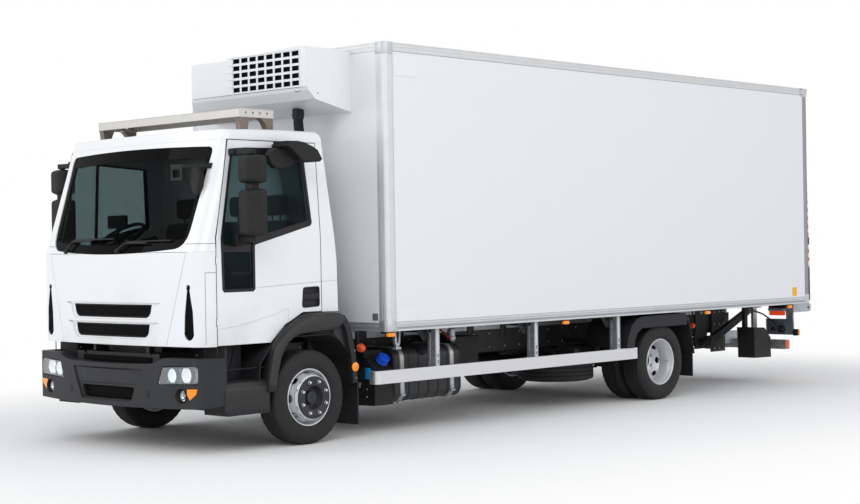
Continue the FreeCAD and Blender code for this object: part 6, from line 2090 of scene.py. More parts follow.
@dataclass
class TankSet:
    """Caps, ribs, straps' locks and fittings of the tanks, and the boxes' lids."""

    # The fuel tank's outline in the front view: two corners and the radius round its edges.
    outline_low: Pair = (0.470, 0.245)
    outline_high: Pair = (1.010, 0.715)
    edge: float = 0.095
    ribs: tuple[float, ...] = (1.112, 1.290, 1.415, 1.540, 1.665, 1.790, 1.950)
    straps: Pair = TANK_STRAPS
    # Feet of the blue cap and of the fuel cap, and the direction in which both caps point,
    # outwards and up.
    cap_foot: Point = (0.945, 1.003, 0.592)
    fuel_cap_foot: Point = (0.962, 1.470, 0.650)
    cap_run: Pair = (0.66, 0.75)

    def build(self) -> None:
        """Builds all of it on the chassis."""
        self.build_ribs()
        self.build_caps()
        self.build_fittings()
        self.build_boxes()

    def build_ribs(self) -> None:
        """Builds shallow ribs round the fuel tank."""
        ribs = Mould()
        edge = rounded(self.outline_low, self.outline_high, self.edge, 6)
        swell = offset_outline(edge, 0.0028)
        for y in self.ribs:
            ribs.frames(upright(edge, y - 0.011), upright(swell, y - 0.006),
                        upright(swell, y + 0.006), upright(edge, y + 0.011))
        ribs.piece("tank_ribs", TANK_PLAIN, "chassis", "black_plastic", smooth=50)

    def build_caps(self) -> None:
        """Builds the blue cap, fluted round its rim, and the fuel cap."""
        run = Vector((self.cap_run[0], 0, self.cap_run[1])).normalized()
        side = Vector((run.z, 0, -run.x))
        for name, finish, place, low, high, radius, flutes in (
                ("additive_cap", BLUE_CAP, self.cap_foot, 0.026, 0.0835, 0.0520, 22),
                ("fuel_cap", TANK_PLAIN, self.fuel_cap_foot, 0.010, 0.062, 0.0460, 18)):
            foot = Vector(place)
            cap = Mould()
            cap.rod(foot + low * run, foot + high * run, radius, 48, 0.006)
            cap.rod(foot + (low - 0.006) * run, foot + (low + 0.006) * run, radius + 0.005, 48,
                    0.002)
            cap.rod(foot + high * run, foot + (high + 0.004) * run, radius * 0.55, 32, 0.002)
            for k in range(flutes):
                turn = 2 * math.pi * k / flutes
                out = (radius - 0.001) * (math.cos(turn) * side
                                          + math.sin(turn) * Vector((0, 1, 0)))
                cap.rod(foot + out + (low + 0.010) * run, foot + out + (high - 0.006) * run,
                        0.0036, 6)
            cap.piece(name, finish, "chassis", "black_plastic", smooth=40)

    def build_fittings(self) -> None:
        """Builds the straps' locks and bolts, the blue tag and the additive pump's block."""
        locks = Mould()
        for y in self.straps:
            locks.rod((1.0195, y - 0.027, 0.306), (1.0195, y + 0.027, 0.306), 0.0125, 20, 0.002)
            locks.rod((1.0185, y, 0.296), (0.950, y, 0.228), 0.0065, 12, 0.001)
            locks.rod((0.962, y, 0.240), (0.953, y, 0.231), 0.0120, 6)
            locks.slab((1.0150, y - 0.024, 0.312), (1.0205, y + 0.024, 0.352), 0.002)
        locks.studs([(x, 0.866, z) for x, z in ((0.919, 0.376), (0.918, 0.308),
                                                (0.800, 0.376), (0.800, 0.308))], Axis.Y,
                    0.0075, 0.005, -1.0, 6)
        locks.rod((0.842, 0.868, 0.420), (0.842, 0.846, 0.420), 0.011, 16, 0.002)
        locks.rod((0.842, 0.852, 0.420), (0.842, 0.852, 0.385), 0.006, 12)
        locks.piece("strap_locks", ZINC, "chassis", "galvanised")
        tag = Mould()
        tag.prism(rounded((0.894, 0.462), (0.966, 0.560), 0.005), Axis.Y, 0.8635, 0.8665, 0.001)
        tag.piece("additive_tag", BLUE_TAG, "chassis", "black_plastic")
        block = Mould()
        block.slab((0.770, 0.846, 0.455), (0.880, 0.868, 0.560), 0.006)
        block.prism(((0.640, 0.580), (0.640, 0.690), (0.880, 0.690), (0.880, 0.640),
                     (0.920, 0.580)), Axis.Y, 0.8600, 0.8675, 0.004)
        block.rod((0.800, 0.850, 0.520), (0.800, 0.834, 0.520), 0.016, 20, 0.003)
        for turn in range(3):
            block.tube([(0.86, 0.852, 0.50 + 0.016 * turn), (0.86, 0.815, 0.51 + 0.016 * turn),
                        (0.80, 0.790, 0.56 + 0.018 * turn), (0.70, 0.800, 0.64 + 0.010 * turn),
                        (0.60, 0.830, 0.70)], 0.0065, 8)
        block.piece("additive_module", TANK_PLAIN, "chassis", "black_plastic")

    def build_boxes(self) -> None:
        """Builds lids, hasps and glands on the chassis's boxes and air tanks."""
        lids, metal = Mould(), Mould()
        lids.slab((-1.016, 3.412, 0.640), (-0.474, 4.128, 0.726), 0.010)
        lids.slab((-1.016, 1.012, 0.655), (-0.424, 1.648, 0.726), 0.010)
        lids.slab((0.424, 2.072, 0.700), (0.826, 2.428, 0.766), 0.010)
        lids.prism(((6.889, 0.492), (6.880, 0.631), (7.102, 0.621), (7.232, 0.498),
                    (7.232, 0.492)), Axis.X, 0.776, 1.004, 0.004)
        for stations, top in ((steps(3.50, 4.04, 6), 0.630), (steps(1.10, 1.56, 5), 0.645)):
            for y in stations:
                lids.slab((-1.0145, y - 0.012, 0.350), (-1.008, y + 0.012, top), 0.003)
        lids.piece("box_lids", TANK_PLAIN, "chassis", "black_plastic")
        for y in (3.58, 3.96, 1.18, 1.48):
            metal.slab((-1.0235, y - 0.018, 0.600), (-1.012, y + 0.018, 0.670), 0.003)
            metal.rod((-1.018, y - 0.020, 0.660), (-1.018, y + 0.020, 0.660), 0.006, 12)
        for station in (1.740, 2.560):
            for y in (station + 0.12, station + 0.58):
                metal.lathe([(-0.018, 0.1250), (-0.016, 0.1275), (0.016, 0.1275),
                             (0.018, 0.1250)], (-0.600, y, 0.600), Axis.Y, 48)
            metal.lathe([(0.002, 0.120), (-0.010, 0.105), (-0.016, 0.050), (-0.017, 0)],
                        (-0.600, station, 0.600), Axis.Y, 40)
            metal.lathe([(0.002, 0.0), (0.010, 0.018), (0.022, 0.016), (0.024, 0)],
                        (-0.600, station + 0.678, 0.560), Axis.Y, 6)
        metal.studs([(x, 6.906, z) for x in (0.80, 0.98) for z in (0.32, 0.46)], Axis.Y, 0.007,
                    0.004, -1.0, 6)
        metal.piece("box_hasps", ZINC, "chassis", "galvanised")


@dataclass
class SideFittings:
    """Slots painted as dark patches, struts and gussets of the side guards, lamps, air dryer and
    air lines.
    """

    # Front edge of each post, the posts' width, and how far out their faces stand.
    posts: tuple[float, ...] = (1.410, 2.760, 4.035)
    width: float = 0.050
    face: float = 1.224
    slot_heights: Pair = (0.642, 0.588)

    def build(self) -> None:
        """Builds all of it on the chassis."""
        slots, struts, gussets = Mould(), Mould(), Mould()
        for y in self.posts:
            middle = y + self.width * 0.62
            # Each slot is a flat dark patch: painted shade inside it
            for z in self.slot_heights:
                slots.prism(rounded((middle - 0.0055, z - 0.018), (middle + 0.0055, z + 0.018),
                                    0.005), Axis.X, self.face - 0.001, self.face + 0.0007)
            struts.slab((1.135, y - 0.006, 0.470), (1.168, y + 0.032, 0.845), 0.004)
            for first in (y + 0.004, y + 0.044):
                struts.slab((self.face - 0.003, first, 0.560),
                            (self.face + 0.004, first + 0.006, 0.884), 0.001)
            struts.studs([(1.168, y + 0.013, 0.800), (1.168, y + 0.013, 0.520)], Axis.X, 0.011,
                         0.008, 1.0, 6)
            gussets.prism(((y - 0.150, 0.884), (y + 0.030, 0.884), (y - 0.010, 0.770),
                           (y - 0.058, 0.770)), Axis.X, 1.128, 1.137, 0.002)
            gussets.slab((0.900, y - 0.050, 0.845), (1.170, y + 0.020, 0.884), 0.004)
        for mould in (slots, struts, gussets):
            mould.both_sides()
        slots.piece("guard_slots", SEAM_AND_SLOT_SHADE, "chassis", "black_plastic")
        struts.prism(((0.938, 0.885), (0.945, 0.775), (0.960, 0.742), (0.990, 0.742),
                      (1.005, 0.775), (1.012, 0.885), (0.993, 0.885), (0.988, 0.788),
                      (0.980, 0.768), (0.970, 0.768), (0.962, 0.788), (0.957, 0.885)), Axis.X,
                     1.160, 1.192, 0.003)
        struts.slab((1.150, 0.942, 0.722), (1.202, 1.008, 0.743), 0.004)
        struts.piece("guard_struts", ZINC, "chassis", "galvanised")
        gussets.piece("guard_gussets", FRAME_BLACK, "chassis", "chassis_black")
        self.build_lamps()
        self.build_dryer()

    def build_lamps(self) -> None:
        """Builds the dome lamp by the tank and the round markers on the wing's rear edge."""
        amber, base = Mould(), Mould()
        for _, side in SIDES:
            place = (side * 1.165, 0.484, 0.604)
            base.lathe([(-0.001, 0.0435), (0.006, 0.0435), (0.0085, 0.0410), (0.0085, 0.036)],
                       place, sign=side, segments=40)
            amber.lathe([(0.0060, 0.0390), (0.0115, 0.0380), (0.0150, 0.0300), (0.0160, 0.0120),
                         (0.0175, 0.0105), (0.0180, 0.0)], place, sign=side, segments=40)
        base.lathe([(0.0, 0.0), (0.0, 0.020), (0.012, 0.034), (0.024, 0.036)],
                   (0.955, 0.730, 0.742), segments=32)
        base.slab((0.930, 0.715, 0.742), (0.962, 0.745, 0.884), 0.004)
        base.piece("side_lamp_bases", BLACK_TRIM, "chassis", "black_plastic", smooth=45)
        amber.piece("side_markers", AMBER_LENS, "chassis", "lamp_clear", smooth=45)
        dome = Mould()
        dome.lathe([(0.020, 0.0365), (0.026, 0.0385), (0.040, 0.0380), (0.055, 0.0345),
                    (0.068, 0.0270), (0.077, 0.0155), (0.080, 0.0)], (0.955, 0.730, 0.742),
                   segments=40)
        dome.piece("dome_lamp", ORANGE_LENS, "chassis", "lamp_clear", smooth=50)

    def build_dryer(self) -> None:
        """Builds the air dryer behind the tank and its lines."""
        dryer = Mould()
        place = (0.855, 2.015, 0.0)
        dryer.lathe([(0.845, 0.0), (0.845, 0.030), (0.838, 0.036), (0.775, 0.036),
                     (0.770, 0.042), (0.750, 0.042), (0.745, 0.034), (0.735, 0.034)], place,
                    Axis.Z, 36)
        dryer.piece("dryer_head", ZINC, "chassis", "galvanised", smooth=40)
        cup = Mould()
        cup.lathe([(0.738, 0.031), (0.700, 0.031), (0.672, 0.026), (0.664, 0.015),
                   (0.662, 0.0)], place, Axis.Z, 36)
        cup.slab((0.420, 1.992, 0.752), (0.845, 2.036, 0.772), 0.004)
        cup.piece("dryer_cup", FRAME_BLACK, "chassis", "chassis_black", smooth=40)
        lines = Mould()
        for shift, bend in ((0.0, 0.0), (0.018, 0.02)):
            lines.tube([(0.870, 1.985, 0.760 - shift), (0.905, 1.930 - bend, 0.770),
                        (0.905, 1.880 - bend, 0.810), (0.860, 1.840, 0.850 + shift),
                        (0.700, 1.820, 0.868), (0.440, 1.800, 0.866)], 0.006, 10)
        lines.tube([(0.900, 0.700, 0.800), (0.850, 0.760, 0.770), (0.760, 0.830, 0.745),
                    (0.640, 0.880, 0.760), (0.440, 0.900, 0.770)], 0.006, 10)
        lines.piece("air_lines", LINE_RED, "chassis", "black_plastic", smooth=50)


@dataclass
class WingSteps:
    """Flares of the front wings, sills and treads of the steps, flaps' ribs and bolts."""

    # Stations of a flare: its upper and its lower edge in the side view.
    flare: tuple[tuple[Pair, Pair], ...] = (
        ((-0.477, 0.462), (-0.392, 0.462)), ((-0.464, 0.533), (-0.378, 0.533)),
        ((-0.448, 0.616), (-0.358, 0.625)), ((-0.427, 0.712), (-0.326, 0.730)),
        ((-0.405, 0.800), (-0.283, 0.806)), ((-0.350, 0.868), (-0.236, 0.853)),
        ((-0.280, 0.938), (-0.180, 0.886)), ((-0.221, 0.976), (-0.126, 0.902)),
        ((-0.142, 1.017), (-0.072, 0.909)), ((-0.072, 1.051), (-0.020, 0.911)),
        ((-0.030, 1.065), (0.020, 0.912)), ((0.020, 1.070), (0.060, 0.913)),
        ((0.180, 1.070), (0.190, 0.917)), ((0.300, 1.069), (0.270, 0.926)),
        ((0.345, 1.062), (0.305, 0.938)), ((0.374, 1.044), (0.328, 0.955)),
        ((0.382, 1.020), (0.345, 0.975)))
    # Section of a flare: x, and the share of the way from its upper to its lower edge.
    flare_section: tuple[Pair, ...] = (
        (0.880, 0.0), (1.105, 0.0), (1.136, 0.020), (1.156, 0.075), (1.169, 0.165),
        (1.1770, 0.29), (1.1800, 0.46), (1.1800, 0.74), (1.1760, 0.90), (1.1680, 0.97),
        (1.150, 1.0), (1.090, 1.0))

    def build_flares(self) -> None:
        """Builds the rounded flares over the wings' edges."""
        flares = Mould()
        flares.patch([[(x, upper[0] + (lower[0] - upper[0]) * share,
                        upper[1] + (lower[1] - upper[1]) * share)
                       for x, share in self.flare_section] for upper, lower in self.flare])
        flares.prism(((0.285, 0.935), (0.372, 1.026), (0.438, 0.956), (0.488, 0.735),
                      (0.455, 0.700), (0.405, 0.775), (0.345, 0.840), (0.285, 0.890)), Axis.X,
                     1.118, 1.126)
        flares.both_sides().piece("wing_flares", WING_BLACK, "chassis", "black_plastic",
                                  thickness=0.003, smooth=55)

    def build_sills(self) -> None:
        """Builds the sloping shoulders over the steps, between bumper and wing."""
        sills = Mould()
        section = ((1.1535, 0.330), (1.1560, 0.500), (1.1520, 0.513), (1.1260, 0.552),
                   (1.0980, 0.568), (1.0300, 0.571), (1.0300, 0.560), (1.0940, 0.556),
                   (1.1160, 0.544), (1.1400, 0.510), (1.1440, 0.498), (1.1490, 0.330))
        sills.prism(section, Axis.Y, -0.900, -0.452, 0.002)
        sills.slab((0.905, -0.900, 0.500), (1.036, -0.884, 0.571), 0.003)
        sills.slab((0.905, -0.468, 0.500), (1.036, -0.452, 0.571), 0.003)
        sills.both_sides().piece("step_sills", WING_BLACK, "chassis", "black_plastic",
                                 smooth=55)

    def build(self) -> None:
        """Builds all of it on the chassis."""
        treads, bolts = Mould(), Mould()
        for low, depth in ((0.500, 0.006), (0.325, 0.005)):
            for x in steps(0.925, 1.130, 6):
                for first in steps(-0.848, -0.592, 4):
                    treads.slab((x - 0.010, first, low - 0.001),
                                (x + 0.010, first + 0.050, low + depth), 0.002, 1)
        for y in (-0.846, -0.552):
            treads.slab((1.070, y - 0.014, 0.306), (1.1525, y + 0.014, 0.4980), 0.005)
        for z in steps(0.150, 0.440, 4):
            treads.slab((0.790, 0.5235, z - 0.006), (1.120, 0.5265, z + 0.006), 0.001, 1)
        treads.rod((0.903, -0.655, 0.600), (0.903, -0.590, 0.820), 0.007, 10)
        treads.both_sides().piece("step_treads", BLACK_TRIM, "chassis", "black_plastic")
        self.build_flares()
        self.build_sills()
        bolts.studs([(1.165, y, z) for y, z in ((0.488, 0.740), (0.500, 0.510))], Axis.X,
                    0.006, 0.003)
        bolts.studs([(x, 0.526, 0.465) for x in (0.80, 0.95, 1.10)], Axis.Y, 0.008, 0.004, -1.0)
        bolts.studs([(0.860, y, z) for y in (-0.84, -0.56) for z in (0.36, 0.78)], Axis.X,
                    0.008, 0.004, -1.0)
        bolts.both_sides().piece("wing_bolts", ZINC, "chassis", "galvanised")


@dataclass
class Underframe:
    """Bolts, brackets, clamps and joints of the chassis."""

    # Half the width over the frame's rails.
    rail: float = 0.430
    rear_axle: float = WHEELBASE

    def build(self) -> None:
        """Builds all of it on the chassis."""
        self.build_bolts()
        self.build_irons()
        self.build_joints()

    def build_bolts(self) -> None:
        """Builds the bolts on the outer faces of the rails."""
        bolts = Mould()
        stations = steps(-0.60, 7.10, 34)
        bolts.studs([(self.rail, y, z) for y in stations for z in (0.610, 0.740)], Axis.X,
                    0.011, 0.008, 1.0, 6)
        bolts.studs([(self.rail + 0.030, y, z) for y in (6.90, 7.00, 7.09)
                     for z in (0.38, 0.52, 0.66, 0.80)], Axis.X, 0.014, 0.010, 1.0, 6)
        bolts.both_sides().piece("frame_bolts", ZINC, "chassis", "galvanised")

    def build_irons(self) -> None:
        """Builds brackets of the box, clamps and pins of the springs, and dampers."""
        irons = Mould()
        for y in steps(1.25, 7.05, 12):
            if abs(y - self.rear_axle) > 0.75:
                irons.slab((self.rail - 0.002, y, 0.700), (self.rail + 0.008, y + 0.09, 0.884),
                           0.003)
        for y, low, high in ((0.0, 0.320, 0.480), (self.rear_axle, 0.300, 0.560)):
            for shift in (-0.075, 0.075):
                for x in (0.352, 0.438):
                    irons.rod((x, y + shift, low), (x, y + shift, high), 0.011, 12, 0.001)
                for foot, head in ((high - 0.020, high), (low, low + 0.018)):
                    irons.slab((0.336, y + shift - 0.022, foot),
                               (0.454, y + shift + 0.022, head), 0.004)
        for y, z in ((-0.635, 0.535), (0.635, 0.535), (self.rear_axle - 0.655, 0.530),
                     (self.rear_axle + 0.655, 0.530)):
            irons.rod((0.345, y, z), (0.452, y, z), 0.024, 20, 0.003)
        for y in (0.110, self.rear_axle + 0.200):
            irons.rod((0.470, y, 0.400), (0.470, y + 0.06, 0.620), 0.026, 20, 0.003)
            irons.rod((0.470, y + 0.05, 0.600), (0.470, y + 0.075, 0.720), 0.033, 20, 0.003)
            irons.rod((0.425, y + 0.072, 0.715), (0.495, y + 0.072, 0.715), 0.020, 16, 0.003)
            irons.rod((0.420, y, 0.400), (0.495, y, 0.400), 0.020, 16, 0.003)
        irons.both_sides().piece("frame_irons", FRAME_BLACK, "chassis", "chassis_black")

    def build_joints(self) -> None:
        """Builds the drive shaft's joints and the cover of the rear axle."""
        driven = Mould()
        for y, z, lean in ((1.110, 0.5975, 1.0), (4.440, 0.3875, -1.0)):
            driven.lathe([(-0.018, 0.060), (-0.014, 0.066), (0.002, 0.066), (0.008, 0.052),
                          (0.045, 0.048)], (0, y, z), Axis.Y, 32, lean)
        driven.lathe([(-0.286, 0.078), (-0.270, 0.098), (-0.240, 0.102), (-0.236, 0.096)],
                     (0, self.rear_axle, HUB_HEIGHT), Axis.Y, 40)
        driven.lathe([(0.172, 0.095), (0.172, 0.0)], (0, self.rear_axle, HUB_HEIGHT), Axis.Y, 40)
        driven.lathe([(0.150, 0.150), (0.176, 0.118), (0.186, 0.060), (0.188, 0.0)],
                     (0, self.rear_axle, HUB_HEIGHT), Axis.Y, 48)
        driven.piece("drive_joints", FRAME_BLACK, "chassis", "chassis_black", smooth=45)


@dataclass
class RearEnd:
    """Lamps, under-run bar, plate field, doorway and flap of the rear."""

    lamp_low: Pair = (0.770, 0.560)
    lamp_high: Pair = (1.100, 0.680)
    # Station of the lamps' carrier plates.
    plate: float = 7.545
    # Each chamber of a rear lamp: first and last x, its colour and finish.
    chambers: tuple[tuple[float, float, str, Finish], ...] = (
        (0.784, 0.848, "white", CLEAR_LENS), (0.852, 0.952, "red", RED_LENS),
        (0.956, 1.086, "amber", AMBER_LENS))

    def build(self) -> None:
        """Builds all of it."""
        self.build_lamps()
        self.build_bar()
        self.build_doorway()
        self.build_flap()

    def build_lamps(self) -> None:
        """Builds the lamp clusters, which stand for their CAD blocks."""
        housing = Mould()
        edge = rounded(self.lamp_low, self.lamp_high, 0.016)
        inner = offset_outline(edge, -0.010)
        housing.cup([upright(outline, y) for outline, y in (
            (offset_outline(edge, -0.002), 7.5555), (edge, 7.5600), (edge, 7.5780),
            (inner, 7.5780), (inner, 7.5640))])
        for first, last in ((0.848, 0.852), (0.952, 0.956)):
            housing.slab((first, 7.560, self.lamp_low[1] + 0.008),
                         (last, 7.5775, self.lamp_high[1] - 0.008), 0.0008, 1)
        housing = housing.both_sides().piece("rear_lamp_housings", BLACK_TRIM, "chassis",
                                             "black_plastic")
        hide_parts("rear_lamps")
        for first, last, colour, finish in self.chambers:
            lens = Mould()
            lens.prism(rounded((first, self.lamp_low[1] + 0.013),
                               (last, self.lamp_high[1] - 0.013), 0.010), Axis.Y, 7.5660, 7.5825,
                       0.004, 3)
            lens.lathe([(7.580, 0.026), (7.5835, 0.024), (7.5845, 0.010), (7.5845, 0)],
                       ((first + last) / 2, 0, 0.620), Axis.Y, 32)
            lens.both_sides().piece(f"rear_lenses_{colour}", finish, "chassis", "lamp_clear")
        self.build_carriers()

    def build_carriers(self) -> None:
        """Builds the lamps' backs and cables, the corner lamps, strips and brackets."""
        back, amber = Mould(), Mould()
        for x, radius in ((0.959, 0.044), (0.845, 0.020)):
            back.lathe([(0.0, radius * 1.15), (0.010, radius * 1.10), (0.014, radius),
                        (0.034, radius * 0.92), (0.042, radius * 0.70), (0.043, 0.0)],
                       (x, self.plate, 0.580), Axis.Y, 32, -1.0)
        back.tube([(0.959, self.plate - 0.040, 0.580), (0.950, 7.480, 0.600),
                   (0.900, 7.440, 0.680), (0.780, 7.420, 0.760), (0.660, 7.400, 0.800)],
                  0.009, 10)
        back.slab((0.800, 7.515, 0.822), (1.016, 7.546, 0.884), 0.006)
        back.slab((1.128, 7.500, 0.512), (1.188, 7.5300, 0.588), 0.006)
        back.slab((1.100, 7.536, 0.540), (1.140, 7.5445, 0.560), 0.002)
        back.both_sides().piece("lamp_backs", TANK_PLAIN, "chassis", "black_plastic", smooth=45)
        amber.prism(rounded((1.131, 0.515), (1.186, 0.585), 0.010), Axis.Y, 7.529, 7.560, 0.004)
        amber.both_sides().piece("corner_lamps", AMBER_LENS, "chassis", "lamp_clear")
        strip = Mould()
        strip.prism(rounded((0.808, 0.740), (1.008, 0.789), 0.010), Axis.Y, 7.518, 7.548, 0.005)
        strip.both_sides().piece("lamp_strips", STRIP_LENS, "chassis", "lamp_red")
        boxes = Mould()
        boxes.slab((0.800, 7.505, 0.790), (1.016, 7.5465, 0.824), 0.005)
        boxes.both_sides().piece("strip_housings", CAST_GREY, "chassis", "rail_aluminium")
        faces = Mould()
        faces.slab((0.765, 7.5412, 0.522), (1.105, 7.5447, 0.695), 0.001)
        faces.both_sides().piece("lamp_brackets", PLATE_GREY, "chassis", "rail_aluminium")

    def build_bar(self) -> None:
        """Builds the under-run bar's ends, the plate field and the buffers' ribs."""
        black, red, plate = Mould(), Mould(), Mould()
        edge = rounded((7.382, 0.364), (7.458, 0.466), 0.010)
        for mould, first, last in ((red, 1.075, 1.111), (black, 0.622, 0.614),
                                   (black, 0.478, 0.486)):
            mould.prism(edge, Axis.X, first, last, 0.003)
        for z in steps(0.806, 0.868, 3):
            black.slab((1.188, 7.600, z - 0.005), (1.277, 7.6475, z + 0.005), 0.003)
        black.studs([(1.285, 7.585, 0.837)], Axis.X, 0.017, 0.006)
        black.both_sides().piece("bar_caps", BLACK_TRIM, "chassis", "black_plastic")
        red.prism(rounded((0.660, 0.385), (1.090, 0.445), 0.004), Axis.Y, 7.4595, 7.4620)
        red.both_sides().piece("bar_reflectors", ORANGE_LENS, "chassis", "lamp_red")
        plate.prism(rounded((-0.262, 0.359), (0.262, 0.471), 0.012), Axis.Y, 7.4590, 7.4625,
                    0.0012)
        plate.frame(upright(rounded((-0.256, 0.365), (0.256, 0.465), 0.010), 7.4628),
                    upright(rounded((-0.252, 0.369), (0.252, 0.461), 0.008), 7.4640))
        plate.piece("plate_blank", UNIT_WHITE, "chassis", "unit_white")
        light = Mould()
        for x in (-0.16, 0.16):
            light.slab((x - 0.030, 7.440, 0.466), (x + 0.030, 7.478, 0.484), 0.005)
        light.slab((-0.270, 7.4560, 0.3535), (0.270, 7.4605, 0.3590), 0.001, 1)
        light.piece("plate_lights", BLACK_TRIM, "chassis", "black_plastic")

    def build_doorway(self) -> None:
        """Builds the portal's lines, the doorway's seals and the upper lamps."""
        lines, rubber, red = Mould(), Mould(), Mould()
        for x in (1.2250, 1.2780):
            lines.slab((x - 0.003, 7.567, 0.990), (x + 0.003, 7.5735, 3.232), 0.001, 1)
        for first, out, last in ((7.494, 1.3025, 7.500), (7.560, 1.3030, 7.567)):
            lines.slab((1.2985, first, 0.990), (out, last, 3.234), 0.001, 1)
        lines.studs([(1.252, 7.570, z) for z in steps(1.06, 3.16, 10)], Axis.Y, 0.0065, 0.003)
        lines.studs([(1.300, 7.530, z) for z in steps(1.06, 3.16, 14)], Axis.X, 0.0060, 0.003)
        lines.both_sides()
        for z in (3.256, 3.330):
            lines.slab((-1.194, 7.567, z - 0.004), (1.194, 7.5735, z + 0.003), 0.001, 1)
        lines.slab((-1.199, 7.567, 0.888), (1.199, 7.5730, 0.896), 0.001, 1)
        lines.studs([(x, 7.570, 0.960) for x in steps(-1.14, 1.14, 16)], Axis.Y, 0.006, 0.003)
        lines.piece("portal_lines", PORTAL_STEEL, "chassis", "rail_aluminium")
        rubber.slab((1.1945, 7.500, 1.040), (1.2005, 7.566, 2.330), 0.002)
        rubber.both_sides().piece("doorway_seals", BLACK_TRIM, "chassis", "black_plastic")
        for x in (1.10, 0.07):
            red.prism(rounded((x - 0.050, 3.272), (x + 0.050, 3.312), 0.012), Axis.Y, 7.568,
                      7.586, 0.006, 3)
        red.both_sides().piece("high_lamps", RED_LENS, "chassis", "lamp_red")

    def build_flap(self) -> None:
        """Builds the flap's seal, frame, handles and hinge leaves."""
        seal, bright = Mould(), Mould()
        edge = rounded((-1.184, 2.351), (1.184, 3.226), 0.012)
        inner = offset_outline(edge, -0.024)
        seal.frames(upright(edge, 7.5600), upright(edge, 7.5645), upright(inner, 7.5645),
                    upright(inner, 7.5610))
        seal.piece("flap_seal", BLACK_TRIM, "loading_flap", "black_plastic")
        for at in (-0.980, -0.120, 0.740):
            bright.slab((at + 0.010, 7.5610, 3.120), (at + 0.230, 7.5680, 3.228), 0.002)
            bright.studs([(at + share, 7.568, z) for share in (0.05, 0.12, 0.19)
                          for z in (3.150, 3.196)], Axis.Y, 0.009, 0.004)
        for x in (-0.62, 0.62):
            bright.slab((x - 0.070, 7.5610, 2.410), (x + 0.070, 7.5660, 2.490), 0.003)
            bright.tube([(x - 0.050, 7.564, 2.450), (x - 0.050, 7.578, 2.450),
                         (x + 0.050, 7.578, 2.450), (x + 0.050, 7.564, 2.450)], 0.006, 10)
        for z in (2.640, 2.930):
            bright.slab((-1.150, 7.5610, z - 0.004), (1.150, 7.5640, z + 0.004), 0.001, 1)
        bright.piece("flap_fittings", PORTAL_STEEL, "loading_flap", "galvanised")


